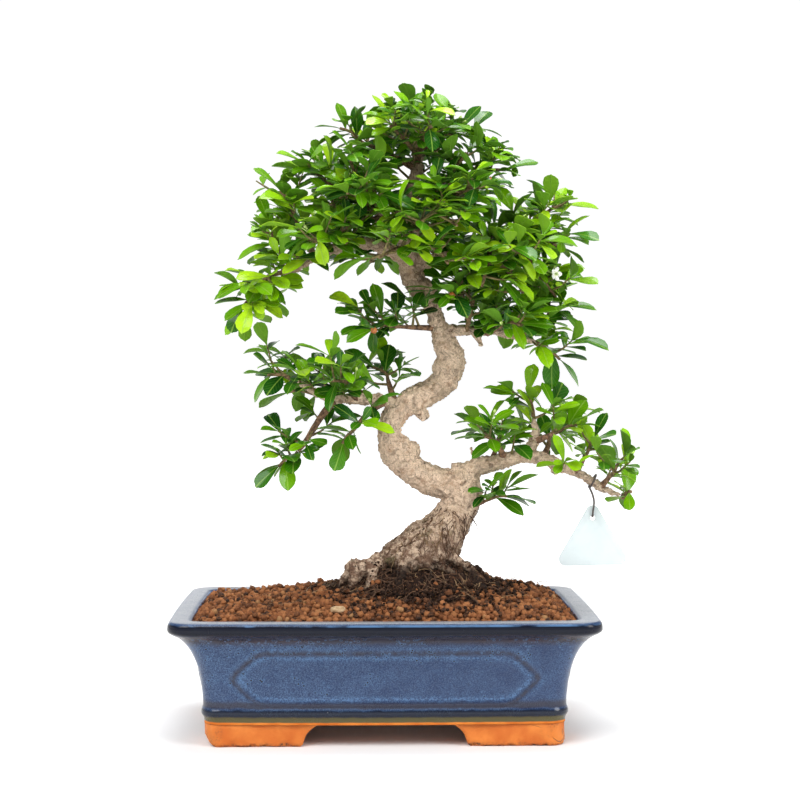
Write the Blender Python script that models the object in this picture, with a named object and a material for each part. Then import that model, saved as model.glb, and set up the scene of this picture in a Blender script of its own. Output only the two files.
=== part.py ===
"""A fukien tea bonsai with an S-shaped trunk, in a glazed rectangular pot with four feet.

The pot's plan centre is the origin that every piece is drawn round, in metres, with +Z up and
the front at -Y. An empty carries the whole and moves it so that the frame's origin lies under
the middle of the tree and pot together.
"""
import math
import random
from typing import NamedTuple

import bmesh
import bpy
from mathutils import Vector, noise
from mathutils.bvhtree import BVHTree

MM = 0.001
TOUCH = 0.3 * MM
FLAT_ANGLE = math.radians(0.05)
CUT_PAST = 2.0 * MM
HOLE_SIDES = 10

# The whole
CENTRE_SHIFT = -17.5 * MM

# Pot
RIM_LENGTH = 300.0 * MM
RIM_DEPTH = 205.0 * MM
SIDE_BOW = 3.0 * MM
END_BOW = 1.5 * MM
FOOT_CORNER = 12.0 * MM
CORNER_STEPS = 3
LONG_SIDE_STEPS = 4
SHORT_SIDE_STEPS = 2
FLOOR_UNDERSIDE = 15.5 * MM
FLOOR_TOP = 24.0 * MM
DRAIN_OFFSET = 60.0 * MM
DRAIN_RADIUS = 9.0 * MM

# Outer wall, bottom to top: inset from the rim's outline, height, corner radius, in mm
OUTER_WALL = (
    (23.4, 15.5, 12), (23.0, 19.8, 12), (21.2, 23.8, 12), (22.4, 27.6, 12),
    (20.7, 48.0, 12), (17.6, 60.0, 12), (13.2, 69.5, 12), (7.8, 76.2, 12),
    (1.6, 80.2, 14), (0.0, 82.8, 14), (0.0, 86.4, 14), (2.6, 89.0, 13),
)
# Inner wall, top to bottom, in the same terms
INNER_WALL = (
    (14.5, 88.6, 9), (16.0, 87.0, 8), (18.5, 78.0, 8), (27.0, 56.0, 8), (31.5, 24.0, 8),
)

# Raised frame on the walls: half widths at its top, middle and bottom, and their heights
FRAME_LEVELS = (66.4 * MM, 48.0 * MM, 30.0 * MM)
FRONT_FRAME = (87.5 * MM, 106.5 * MM, 88.0 * MM)
END_FRAME = (42.0 * MM, 60.0 * MM, 42.0 * MM)
BEAD_RADIUS = 2.1 * MM
BEAD_SINK = 0.6 * MM
BEAD_SIDES = 4

# Feet: leg lengths along each side and leg width, at each height
FOOT_LEVELS = ((0.0, 68.0, 40.0, 22.0), (8.5, 70.5, 42.5, 23.0), (13.0, 75.0, 47.0, 25.0),
               (17.0, 81.0, 52.0, 28.0))
FOOT_INSET = 23.3

# Soil and root ball
SOIL_EDGE = 85.0 * MM
SOIL_MOUND = 21.0 * MM
MOUND_REACH = 82.0 * MM
SOIL_GAP = 0.4 * MM
MOUND_STRETCH = 1.25
SOIL_LEVELS = (56.0 * MM, 78.0 * MM, SOIL_EDGE)
SOIL_RINGS = 5
GRAIN_RELIEF = 1.1 * MM
MESH_THICKNESS = 1.2 * MM
MESH_SIDE = 36.0 * MM
MESH_BAR = 4.0 * MM
BALL_CENTRE = Vector((27.0 * MM, 2.0 * MM, 0.0))
BALL_HALF_X = 53.0 * MM
BALL_HALF_Y = 43.0 * MM
BALL_BOTTOM = 42.0 * MM
BALL_EDGE = 103.0 * MM
BALL_RISE = 12.0 * MM
BALL_SHOULDER = 3.0 * MM
BALL_ROOM = 0.5 * MM
BALL_RELIEF = 1.6 * MM
BALL_RINGS = (0.04, 0.2, 0.45, 0.72, 1.0)
BALL_VERGE = 1.06

# Trunk
PLUG_CENTRE = Vector((20.0 * MM, 2.0 * MM, 0.0))
PLUG_RADIUS = 24.0 * MM
PLUG_ROOM = 3.8 * MM
PLUG_BOTTOM = 94.7 * MM
TRUNK_SIDES = 10
STEM_SIDES = 8
LIMB_SIDES = 5
SHOOT_SIDES = 3
THICK_LIMB = 3.2
TUBE_STEP = 12.0 * MM
LIMB_STEP = 24.0 * MM
LIMB_TAPER = 0.8
BARK_UNEVEN = 0.07
BARK_GRAIN = 90.0
ROOT_STEPS = 4
ROOT_START = 8.0 * MM
ROOT_HEIGHT = 121.0 * MM
ROOT_FALL_START = 26.0 * MM
ROOT_FALL = 12.0 * MM
ROOT_CLEAR = 0.7 * MM
ROOT_SWAY = 0.22
ROOT_WAVE = 4.2
ROOT_TAPER = 0.72
ROOT_SIDES = 4
STUB_SIDES = 5

# Leaves
BLADE = 0.7 * MM
LEAF_LENGTH = (18.0 * MM, 27.0 * MM)
LEAF_ASPECT = (0.46, 0.58)
LEAF_TRIES = 16
LEAVES_PER_SPRAY = 6
FIRST_LEAF = 0.16
TIP_SINK = 0.8 * MM
SIDE_SPREAD = (0.75, 1.25)
TIP_SPREAD = (0.15, 0.45)
TRY_TURN = (0.5, 1.3)
TRY_SHRINK = 0.35
GOLDEN_TURN = math.radians(137.5)
SKY_LEAN = 0.12
SKY_X = (-0.5, 0.5)
SKY_Y = (-0.75, 0.25)
GUARD_BLADE = 1.7 * MM
GUARD_GROW = 1.05
GUARD_START = 0.22
GUARD_SIDES = 6
GUARD_WIDEN = 1.2
WOOD_MARGIN = 0.9 * MM
TIE_MARGIN = 2.0 * MM
TWIG_TIP = 1.1 * MM
TWIG_SIDES = 3
TWIG_KNEE = 0.3
TWIG_BEND = 0.62
TWIG_RISE = 0.08
TWIG_TAPER = (1.0, 0.9, 0.8)
FOLIAGE_LOW = Vector((-127.0, -101.5, 150.0)) * MM
FOLIAGE_HIGH = Vector((182.0, 101.5, 466.0)) * MM
SEED = 41

# Flower
LOBE_REACH = 5.2 * MM
NOTCH_REACH = 2.6 * MM
LOBE_CUP = 1.2 * MM
PETAL_HALF = 0.5 * MM
FLOWER_FACE = Vector((0.2, -0.9, 0.5))
STALK_RUN = (3.0 * MM, 5.0 * MM)
STALK_LIFT = 2.0 * MM
STALK_RADII = (1.0 * MM, 0.7 * MM, 0.7 * MM)
STALK_SIDES = 5

# Pale stone chip: its place, its half sizes, and the level and reach of its three rings
STONE_PLACE = Vector((-32.0 * MM, -71.0 * MM, 0.0))
STONE_HALF = (6.2 * MM, 4.2 * MM)
STONE_RINGS = ((0.0, 0.72), (2.4 * MM, 1.0), (5.0 * MM, 0.62))
STONE_SIDES = 7
STONE_SWELL = (0.86, 1.1)
LOOK_FROM = 200.0 * MM

# Tag and tie
TAG_WIDTH = 50.0 * MM
TAG_HEIGHT = 43.5 * MM
TAG_THICKNESS = 0.8 * MM
TAG_CORNER = 5.0 * MM
TAG_TURN = math.radians(8.0)
TAG_CORNER_STEPS = 4
TAG_HOLE = 1.9 * MM
HOLE_FROM_TIP = 9.0 * MM
TIE_RADIUS = 0.7 * MM
TIE_TURNS = 10
TIE_ROOM = 1.0 * MM
TIE_FORWARD = 2.2 * MM
TIE_SIDES = 5
RING_SIDES = 4
KNOB_RADII = (0.9 * MM, 1.7 * MM, 1.0 * MM)
KNOB_SIDES = 6
TIE_PLACE = Vector((151.0, -13.7, 177.8)) * MM
TIE_HOOK = 153.4 * MM


class Limb(NamedTuple):
    """A limb of the tree: its route in mm, and its radius at the butt and the tip."""
    route: tuple
    butt: float
    tip: float


class Stub(NamedTuple):
    """A cut or broken stub: from inside the wood to its end, in mm, with its radii."""
    start: tuple
    end: tuple
    butt: float
    tip: float


# Lower trunk, from the plug in the root ball to the fork: x, y, z and radius in mm
LOWER_TRUNK = (
    (20, 2, 94.7, 24), (20, 2, 104, 24), (20.5, 2, 113.5, 24), (23, 2, 121.5, 29.5),
    (29, 2, 131, 27), (38, 2, 141, 22.5), (47, 2, 150, 18.5), (53.5, 2, 158, 15.5),
    (57, 1, 167, 13.8), (58, 0, 176, 13), (59, -1, 184, 10),
)

# Upper trunk, from inside the fork through both bends to the crown's tip
UPPER_TRUNK = (
    (60, 0, 176, 9), (48, -1, 175.5, 11.5), (33, -2, 179.5, 10.9), (19, -5, 188, 10.8),
    (7.5, -8, 198.5, 10.5), (4.5, -9, 208.5, 9.3), (4, -8, 217.5, 8.7), (8, -6, 227.5, 8.9),
    (18, -3, 236, 9.2), (31, 1, 242, 9.6), (42.3, 4, 249, 9.4), (48.5, 5, 259, 9.8),
    (49, 5, 269, 10.2), (44, 4, 279.5, 8.2), (40, 3, 291, 6.5), (36.8, 2, 302, 6.3),
    (32, 1, 313, 7.9), (24.5, 0, 322.5, 8.7), (19.5, 0, 333, 8.7), (18.5, 0, 348, 7.3),
    (13.5, -1, 366, 6), (17.5, -1, 387, 4.8), (24.5, 0, 409, 3.6), (23, 0, 438, 2),
)

LIMBS = {
    # Low limb on the right, with its side shoots
    "right_main": Limb(((54, 2, 182), (72, -3, 190), (84, -6, 193), (100, -9, 196.5),
                        (115, -11, 195), (126, -12, 191), (140, -13, 185), (157, -14, 174.5),
                        (171, -15, 168.5)), 7.5, 2.4),
    "right_end": Limb(((157, -14, 175), (163, -19, 183)), 2.0, 1.4),
    "right_mid": Limb(((139, -13, 186), (144, -16, 195)), 2.2, 1.4),
    "right_upper": Limb(((101, -9, 196), (108, -8, 206), (110, -6, 215), (109, -4, 225)), 4.2, 1.7),
    "right_upper_side": Limb(((108, -8, 207), (122, -13, 213)), 2.4, 1.4),
    "right_inner": Limb(((88, -7, 194), (83, -15, 204)), 2.4, 1.4),
    "right_back": Limb(((115, -11, 195), (120, 2, 203), (122, 13, 208)), 2.8, 1.5),
    "right_back_inner": Limb(((78, -5, 191), (82, 9, 200)), 2.4, 1.4),
    "right_low": Limb(((58, 0, 158), (73, -7, 164)), 2.4, 1.3),
    # Low limbs on the left
    "left_main": Limb(((12, -5, 231), (-2, -8, 238), (-20, -10, 238.5), (-41, -12, 239.5),
                       (-55, -13, 247), (-67, -14, 253)), 5.2, 1.8),
    "left_down": Limb(((-35, -11, 239), (-46, -13, 225), (-56, -14, 209), (-62, -15, 201)), 3, 1.6),
    "left_down_inner": Limb(((0, -8, 237), (-12, -17, 228), (-20, -21, 219)), 3, 1.5),
    "left_front": Limb(((-20, -10, 238.5), (-25, -22, 247)), 2.4, 1.4),
    "left_back": Limb(((-10, -9, 238), (-19, 8, 244), (-27, 20, 247)), 2.8, 1.5),
    "left_back_outer": Limb(((-42, -12, 240), (-48, 3, 241)), 2.4, 1.4),
    "left_rise": Limb(((8, -6, 234), (3, 6, 252)), 2.6, 1.4),
    # Thin twig between the pads
    "left_thin": Limb(((39, 3, 290), (20, -4, 290.5), (7, -8, 291)), 2.2, 1.3),
    # Lowest limbs of the crown, on the right
    "under_right": Limb(((43, 4, 289), (60, -4, 288), (80, -8, 286.5), (98, -11, 283),
                         (110, -12, 279)), 4, 1.7),
    "under_front": Limb(((75, -7, 287), (84, -25, 291)), 2.4, 1.4),
    "under_back": Limb(((60, -4, 288), (72, 16, 291), (80, 28, 293)), 2.8, 1.5),
    # Upper left limb, with the drooping tip
    "upper_left": Limb(((19, 0, 338), (-5, -4, 350), (-23, -6, 350.5), (-37, -7, 347),
                        (-52, -8, 341), (-63, -9, 333), (-73, -10, 330)), 5.2, 2.0),
    "left_tip_rise": Limb(((-65, -9, 332), (-75, -8, 345)), 2.4, 1.5),
    "left_tall": Limb(((-50, -8, 342), (-58, -12, 355), (-63, -14, 367)), 2.8, 1.5),
    "left_high_back": Limb(((-36, -7, 347), (-43, 10, 352), (-49, 22, 354)), 2.8, 1.5),
    "left_high_front": Limb(((-23, -6, 350.5), (-31, -22, 352), (-37, -34, 351)), 2.8, 1.5),
    # Upper right limb
    "upper_right": Limb(((20, 0, 337), (45, -3, 341), (66, -5, 346), (82, -6, 350),
                         (98, -7, 352)), 5.2, 2.0),
    "right_tip_rise": Limb(((88, -6, 350), (100, -13, 359), (106, -15, 364)), 2.6, 1.5),
    "right_high_front": Limb(((66, -5, 346), (76, -24, 345), (84, -36, 343)), 2.8, 1.5),
    "right_high_back": Limb(((58, -4, 344), (71, 16, 346), (80, 30, 346)), 2.8, 1.5),
    "right_droop": Limb(((80, -6, 349.5), (93, 4, 336), (100, 8, 328)), 2.6, 1.5),
    "flower_twig": Limb(((84, -6, 350), (104, -15, 339), (117, -20, 331)), 1.9, 1.2),
    # Ring of limbs through the crown
    "crown_left": Limb(((14, -1, 364), (-10, -5, 376), (-30, -8, 388)), 3.8, 1.6),
    "crown_left_front": Limb(((14, -1, 361), (0, -22, 370), (-10, -36, 375)), 3.4, 1.6),
    "crown_left_back": Limb(((15, 0, 359), (-4, 20, 370), (-15, 36, 376)), 3.4, 1.6),
    "crown_right_front": Limb(((14, -1, 367), (34, -20, 376), (46, -34, 381)), 3.4, 1.6),
    "crown_right_back": Limb(((14, -1, 365), (34, 20, 376), (47, 35, 382)), 3.4, 1.6),
    "crown_right": Limb(((17, -1, 384), (40, -4, 392), (58, -6, 398)), 3.2, 1.6),
    "crown_front": Limb(((18, 0, 340), (21, -24, 352), (23, -40, 358)), 3.4, 1.6),
    "crown_back": Limb(((18, 0, 342), (14, 24, 353), (11, 40, 359)), 3.4, 1.6),
    # Top of the crown
    "top_left": Limb(((24, 0, 405), (6, -4, 415), (-8, -5, 421)), 2.4, 1.4),
    "top_front": Limb(((24, 0, 409), (26, -18, 419), (28, -27, 424)), 2.4, 1.4),
    "top_back": Limb(((24, 0, 411), (22, 18, 421), (20, 27, 426)), 2.4, 1.4),
    "top_right": Limb(((24, 0, 419), (40, 2, 427), (50, 3, 432)), 2.2, 1.4),
}

STUBS = (
    Stub((22, -3, 235), (31, -2, 223.5), 6.5, 3.6),
    Stub((19, -5, 192), (18, -4, 203.5), 6.0, 3.4),
    Stub((54, 1, 180), (53, -3, 191), 2.8, 1.8),
    Stub((122, -12, 192), (124.5, -12, 183.5), 3.2, 2.0),
    Stub((68, -2, 188), (63, -6, 204), 2.2, 1.3),
    Stub((14, -1, 372), (8, -7, 380), 4.2, 2.8),
    Stub((66, -6, 287.5), (71, -9, 276.5), 3.0, 1.6),
    Stub((94, -7, 351), (92, -11, 343), 2.6, 1.5),
    Stub((27, 0, 318), (38, -5, 321), 5.0, 2.6),
    Stub((44, 4, 252), (52, -4, 248), 5.4, 3.0),
)

# Surface roots: compass angle, how far each runs from the trunk's axis, thickness, in degrees and mm
ROOTS = (
    (188, 64, 6.4), (160, 55, 5.4), (212, 58, 5.4), (244, 49, 4.6), (282, 47, 4.4),
    (318, 60, 4.8), (352, 72, 5.4), (34, 62, 4.8), (74, 49, 4.6), (118, 49, 5.0),
)

# Each leafy spray grows from the tip of the limb of that name to this end point, in mm
SPRAYS = {
    "right_main": (178, -22, 172), "right_end": (171, -26, 196), "right_mid": (152, -20, 211),
    "right_upper": (105, -4, 243), "right_upper_side": (139, -18, 220),
    "right_inner": (72, -26, 212), "right_back": (132, 32, 213), "right_back_inner": (86, 30, 209),
    "right_low": (89, -12, 168),
    "left_main": (-84, -16, 256), "left_down": (-76, -18, 190), "left_down_inner": (-30, -27, 207),
    "left_front": (-38, -40, 252), "left_back": (-42, 38, 251), "left_back_outer": (-70, 18, 243),
    "left_rise": (-9, 20, 262), "left_thin": (-12, -13, 291),
    "under_right": (127, -15, 267), "under_front": (97, -47, 291), "under_back": (98, 48, 293),
    "upper_left": (-102, -14, 305), "left_tip_rise": (-84, -6, 367), "left_tall": (-74, -20, 388),
    "left_high_back": (-66, 42, 360), "left_high_front": (-50, -56, 348),
    "upper_right": (126, -10, 349), "right_tip_rise": (128, -22, 378),
    "right_high_front": (103, -58, 338), "right_high_back": (102, 52, 345),
    "right_droop": (126, 14, 313),
    "crown_left": (-58, -12, 404), "crown_left_front": (-26, -64, 382),
    "crown_left_back": (-34, 64, 386), "crown_right_front": (66, -64, 386),
    "crown_right_back": (69, 62, 390), "crown_right": (88, -10, 404),
    "crown_front": (26, -70, 362), "crown_back": (8, 70, 366),
    "top_left": (-32, -8, 434), "top_front": (33, -50, 430), "top_back": (15, 50, 433),
    "top_right": (70, 5, 436), "upper_trunk": (21, -2, 450),
}

# Outline of a leaf, as shares of its length and its half width, round from its foot
LEAF_OUTLINE = ((0.0, 0.0), (0.52, 0.82), (0.82, 0.96), (1.00, 0.32), (0.96, -0.42),
                (0.66, -1.00))
LEAF_MIDDLE = (0.50, 0.0)
LEAF_FOLD = 0.16
LEAF_DROOP = 0.20


def mm(point):
    """The point given in millimetres, as a vector in metres."""
    return Vector(point) * MM


def clear_scene():
    """Remove what the start-up file holds."""
    for item in list(bpy.data.objects):
        bpy.data.objects.remove(item, do_unlink=True)


def finish_material(name, colour, roughness, metallic=0.0):
    """A plain finish for one piece."""
    material = bpy.data.materials.new(name)
    material.use_nodes = True
    shader = material.node_tree.nodes["Principled BSDF"]
    shader.inputs["Base Color"].default_value = (*colour, 1.0)
    shader.inputs["Roughness"].default_value = roughness
    shader.inputs["Metallic"].default_value = metallic
    return material


def add_object(name, bm, material=None):
    """Turn the bmesh into an object of flat triangles."""
    bmesh.ops.triangulate(bm, faces=bm.faces[:])
    mesh = bpy.data.meshes.new(name)
    bm.to_mesh(mesh)
    bm.free()
    piece = bpy.data.objects.new(name, mesh)
    bpy.context.collection.objects.link(piece)
    if material:
        mesh.materials.append(material)
    return piece


def keep_result(piece):
    """Apply every modifier of the piece to its mesh."""
    bpy.context.view_layer.update()
    evaluated = piece.evaluated_get(bpy.context.evaluated_depsgraph_get())
    mesh = bpy.data.meshes.new_from_object(evaluated)
    piece.modifiers.clear()
    piece.data = mesh


def join(piece, others, operation="UNION"):
    """Join the others to the piece, or cut them from it, and remove them."""
    group = bpy.data.collections.new("repeats")
    bpy.context.scene.collection.children.link(group)
    for other in others:
        group.objects.link(other)
    boolean = piece.modifiers.new("joined", "BOOLEAN")
    boolean.operation = operation
    boolean.solver = "EXACT"
    boolean.operand_type = "COLLECTION"
    boolean.collection = group
    keep_result(piece)
    for other in others:
        bpy.data.objects.remove(other, do_unlink=True)
    bpy.data.collections.remove(group)
    tidy_mesh(piece)


def tidy_mesh(piece):
    """Merge the flat faces that a join has split, and make them triangles again."""
    bm = bmesh.new()
    bm.from_mesh(piece.data)
    bmesh.ops.dissolve_limit(bm, angle_limit=FLAT_ANGLE, verts=bm.verts[:], edges=bm.edges[:])
    bmesh.ops.triangulate(bm, faces=bm.faces[:])
    bm.to_mesh(piece.data)
    bm.free()


def curve_through(points, step):
    """A smooth run through points that may carry a radius, about one step apart."""
    count = len(points)
    if count == 2:
        return [points[0], points[1]]
    result = []
    for i in range(count - 1):
        before = points[max(i - 1, 0)]
        start, end = points[i], points[i + 1]
        after = points[min(i + 2, count - 1)]
        span = (Vector(end[:3]) - Vector(start[:3])).length
        pieces = max(1, round(span / step))
        for k in range(pieces):
            t = k / pieces
            result.append(tuple(
                0.5 * (2 * b + (c - a) * t + (2 * a - 5 * b + 4 * c - d) * t * t
                       + (3 * b - a - 3 * c + d) * t ** 3)
                for a, b, c, d in zip(before, start, end, after)))
    result.append(tuple(points[-1]))
    return result


def add_tube(name, centres, radii, sides, material=None, uneven=0.0, closed=False, level=False):
    """A round bar along the centres, with its radius at each, and flat ends.

    Its rings lie square to the run, or level where it is a leaning foot.
    """
    bm = bmesh.new()
    count = len(centres)
    across = None
    rings = []
    for i, centre in enumerate(centres):
        if level:
            along = Vector((0, 0, 1))
        elif closed:
            along = (centres[(i + 1) % count] - centres[i - 1]).normalized()
        else:
            along = (centres[min(i + 1, count - 1)] - centres[max(i - 1, 0)]).normalized()
        if across is None:
            across = along.orthogonal()
        across = (across - along * across.dot(along)).normalized()
        aside = along.cross(across)
        ring = []
        for k in range(sides):
            turn = math.tau * k / sides
            out = across * math.cos(turn) + aside * math.sin(turn)
            swell = 1.0 + uneven * noise.noise((centre + out * radii[i]) * BARK_GRAIN)
            ring.append(bm.verts.new(centre + out * radii[i] * swell))
        rings.append(ring)
    for i in range(count if closed else count - 1):
        low, high = rings[i], rings[(i + 1) % count]
        for k in range(sides):
            nxt = (k + 1) % sides
            bm.faces.new((low[k], low[nxt], high[nxt], high[k]))
    if not closed:
        bm.faces.new(rings[0][::-1])
        bm.faces.new(rings[-1])
    return add_object(name, bm, material)


def rounded_plan(inset, height, corner):
    """One loop of the pot's plan, anticlockwise from the corner at +X +Y, in metres."""
    half_x = RIM_LENGTH / 2 - END_BOW - inset
    half_y = RIM_DEPTH / 2 - SIDE_BOW - inset
    flat = []
    corners = ((1, 1, 0), (-1, 1, 90), (-1, -1, 180), (1, -1, 270))
    for index, (sign_x, sign_y, start) in enumerate(corners):
        centre = Vector((sign_x * (half_x - corner), sign_y * (half_y - corner)))
        for step in range(CORNER_STEPS + 1):
            turn = math.radians(start + 90.0 * step / CORNER_STEPS)
            flat.append(centre + Vector((math.cos(turn), math.sin(turn))) * corner)
        sign_x2, sign_y2, start2 = corners[(index + 1) % 4]
        nxt = Vector((sign_x2 * (half_x - corner), sign_y2 * (half_y - corner)))
        turn = math.radians(start2)
        nxt += Vector((math.cos(turn), math.sin(turn))) * corner
        steps = LONG_SIDE_STEPS if index in (0, 2) else SHORT_SIDE_STEPS
        last = flat[-1]
        flat.extend(last.lerp(nxt, step / steps) for step in range(1, steps))
    return [Vector((*bowed(point, half_x, half_y), height)) for point in flat]


def bowed(point, half_x, half_y):
    """The plan point moved out by the slight bow that a drying pot takes."""
    share_x = 1.0 + END_BOW / half_x * (1.0 - (point.y / half_y) ** 2)
    share_y = 1.0 + SIDE_BOW / half_y * (1.0 - (point.x / half_x) ** 2)
    return Vector((point.x * share_x, point.y * share_y))


def wall_inset(height):
    """How far the outer wall stands in from the rim's outline at a height, in metres."""
    for (low_in, low, _), (high_in, high, _) in zip(OUTER_WALL, OUTER_WALL[1:]):
        if low * MM <= height <= high * MM:
            share = (height / MM - low) / (high - low)
            return (low_in + (high_in - low_in) * share) * MM
    return 0.0


def frame_bead(name, half_widths, on_front, sign):
    """The raised octagonal frame on one wall, as a round bead half sunk in the wall."""
    top, middle, bottom = half_widths
    high, mid, low = FRAME_LEVELS
    corners = ((-top, high), (0.0, high), (top, high), (middle, mid), (bottom, low), (0.0, low),
               (-bottom, low), (-middle, mid))
    path = []
    for across, height in corners:
        inset = wall_inset(height)
        half_x = RIM_LENGTH / 2 - END_BOW - inset
        half_y = RIM_DEPTH / 2 - SIDE_BOW - inset
        if on_front:
            place = bowed(Vector((across, sign * half_y)), half_x, half_y)
            place.y -= sign * BEAD_SINK
        else:
            place = bowed(Vector((sign * half_x, across)), half_x, half_y)
            place.x -= sign * BEAD_SINK
        path.append(Vector((place.x, place.y, height)))
    return add_tube(name, path, [BEAD_RADIUS] * len(path), BEAD_SIDES, closed=True)


def foot_outline(sign_x, sign_y, height, leg_x, leg_y, width):
    """The L-shaped plan of one foot at a height, anticlockwise."""
    half_x = RIM_LENGTH / 2 - END_BOW - FOOT_INSET * MM
    half_y = RIM_DEPTH / 2 - SIDE_BOW - FOOT_INSET * MM
    points = [Vector((half_x - leg_x, half_y - width)), Vector((half_x - width, half_y - width)),
              Vector((half_x - width, half_y - leg_y)), Vector((half_x, half_y - leg_y))]
    for step in range(CORNER_STEPS + 1):
        turn = math.radians(90.0 * step / CORNER_STEPS)
        points.append(Vector((half_x - FOOT_CORNER + FOOT_CORNER * math.cos(turn),
                              half_y - FOOT_CORNER + FOOT_CORNER * math.sin(turn))))
    points.append(Vector((half_x - leg_x, half_y)))
    loop = [Vector((sign_x * p.x, sign_y * p.y, height)) for p in points]
    return loop if sign_x * sign_y > 0 else loop[::-1]


def add_foot(sign_x, sign_y):
    """One corner foot with slanted, rounded inner ends, sunk a little in the floor."""
    loops = []
    for height, leg_x, leg_y, width in FOOT_LEVELS:
        loops.append(foot_outline(sign_x, sign_y, height * MM, leg_x * MM, leg_y * MM, width * MM))
    return loft("foot", loops)


def loft(name, loops, material=None):
    """A closed solid through loops of like count, each anticlockwise, from low to high."""
    bm = bmesh.new()
    rings = [[bm.verts.new(point) for point in loop] for loop in loops]
    for low, high in zip(rings, rings[1:]):
        for k in range(len(low)):
            nxt = (k + 1) % len(low)
            bm.faces.new((low[k], low[nxt], high[nxt], high[k]))
    bm.faces.new(rings[0][::-1])
    bm.faces.new(rings[-1])
    return add_object(name, bm, material)


def add_pot(material):
    """The fired body: walls, rim, frames, feet and drain holes in one piece."""
    walls = OUTER_WALL + INNER_WALL
    loops = [rounded_plan(inset * MM, height * MM, corner * MM) for inset, height, corner in walls]
    pot = loft("pot", loops, material)
    beads = [frame_bead("bead", FRONT_FRAME, True, -1), frame_bead("bead", FRONT_FRAME, True, 1),
             frame_bead("bead", END_FRAME, False, -1), frame_bead("bead", END_FRAME, False, 1)]
    feet = [add_foot(sign_x, sign_y) for sign_x in (-1, 1) for sign_y in (-1, 1)]
    join(pot, beads + feet)
    drains = []
    for sign in (-1, 1):
        low = Vector((sign * DRAIN_OFFSET, 0.0, FLOOR_UNDERSIDE - CUT_PAST))
        high = Vector((sign * DRAIN_OFFSET, 0.0, FLOOR_TOP + CUT_PAST))
        drains.append(add_tube("drain", [low, high], [DRAIN_RADIUS] * 2, HOLE_SIDES))
    join(pot, drains, "DIFFERENCE")
    return pot


def add_drain_mesh(name, sign, material):
    """The plastic screen over one drain hole: four square openings in a thin plate."""
    bars = MESH_SIDE / 2 - MESH_BAR
    cuts = (-MESH_SIDE / 2, -bars, -MESH_BAR / 2, MESH_BAR / 2, bars, MESH_SIDE / 2)
    bottom = FLOOR_TOP + TOUCH
    bm = bmesh.new()
    corner = {}
    for level in (0, 1):
        height = bottom + level * MESH_THICKNESS
        for i, x in enumerate(cuts):
            for j, y in enumerate(cuts):
                place = Vector((sign * DRAIN_OFFSET + x, y, height))
                corner[i, j, level] = bm.verts.new(place)

    def solid(i, j):
        inside = 0 <= i < 5 and 0 <= j < 5
        return inside and not (i in (1, 3) and j in (1, 3))

    for i in range(5):
        for j in range(5):
            if not solid(i, j):
                continue
            square = ((i, j), (i + 1, j), (i + 1, j + 1), (i, j + 1))
            bm.faces.new([corner[a, b, 1] for a, b in square])
            bm.faces.new([corner[a, b, 0] for a, b in square[::-1]])
            sides = (((i, j - 1), 0, 1), ((i + 1, j), 1, 2), ((i, j + 1), 2, 3), ((i - 1, j), 3, 0))
            for (ni, nj), first, second in sides:
                if not solid(ni, nj):
                    a, b = square[first], square[second]
                    bm.faces.new((corner[(*a, 0)], corner[(*b, 0)], corner[(*b, 1)],
                                  corner[(*a, 1)]))
    bmesh.ops.dissolve_limit(bm, angle_limit=0.01, verts=bm.verts[:], edges=bm.edges[:])
    return add_object(name, bm, material)


def soil_height(x, y):
    """The soil's smooth height: level at the walls and mounded round the tree."""
    away = math.hypot((x - BALL_CENTRE.x) / MOUND_STRETCH, y - BALL_CENTRE.y)
    return SOIL_EDGE + SOIL_MOUND * math.exp(-(away / MOUND_REACH) ** 2)


def ball_share(x, y):
    """How far out on the root ball's plan a point is: 1 at its edge."""
    return math.hypot((x - BALL_CENTRE.x) / BALL_HALF_X, (y - BALL_CENTRE.y) / BALL_HALF_Y)


def ground_height(x, y):
    """The height of what lies under a surface root: the root ball, or the soil beyond it."""
    share = ball_share(x, y)
    soil = soil_height(x, y) + GRAIN_RELIEF
    if share > BALL_VERGE:
        return soil
    return max(BALL_EDGE + BALL_RISE * (1.0 - min(share, 1.0) ** 4), soil)


def with_middles(loop):
    """The loop with a point added half way along each side."""
    result = []
    for k, point in enumerate(loop):
        result += [point, point.lerp(loop[(k + 1) % len(loop)], 0.5)]
    return result


def ball_loop(plan, margin):
    """Points on the root ball's outline, in the directions of a plan's own points."""
    loop = []
    for point in plan:
        turn = math.atan2(point.y - BALL_CENTRE.y, point.x - BALL_CENTRE.x)
        loop.append(Vector((BALL_CENTRE.x + (BALL_HALF_X + margin) * math.cos(turn),
                            BALL_CENTRE.y + (BALL_HALF_Y + margin) * math.sin(turn), 0.0)))
    return loop


def inner_loop(height, gap):
    """The plan of the pot's well at a height, drawn in by a gap."""
    for (high_in, high, c1), (low_in, low, c2) in zip(INNER_WALL, INNER_WALL[1:]):
        if low * MM <= height <= high * MM:
            share = (height / MM - low) / (high - low)
            inset = (low_in + (high_in - low_in) * share) * MM
            return rounded_plan(inset + gap, height, (c2 + (c1 - c2) * share) * MM)
    return []


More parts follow.
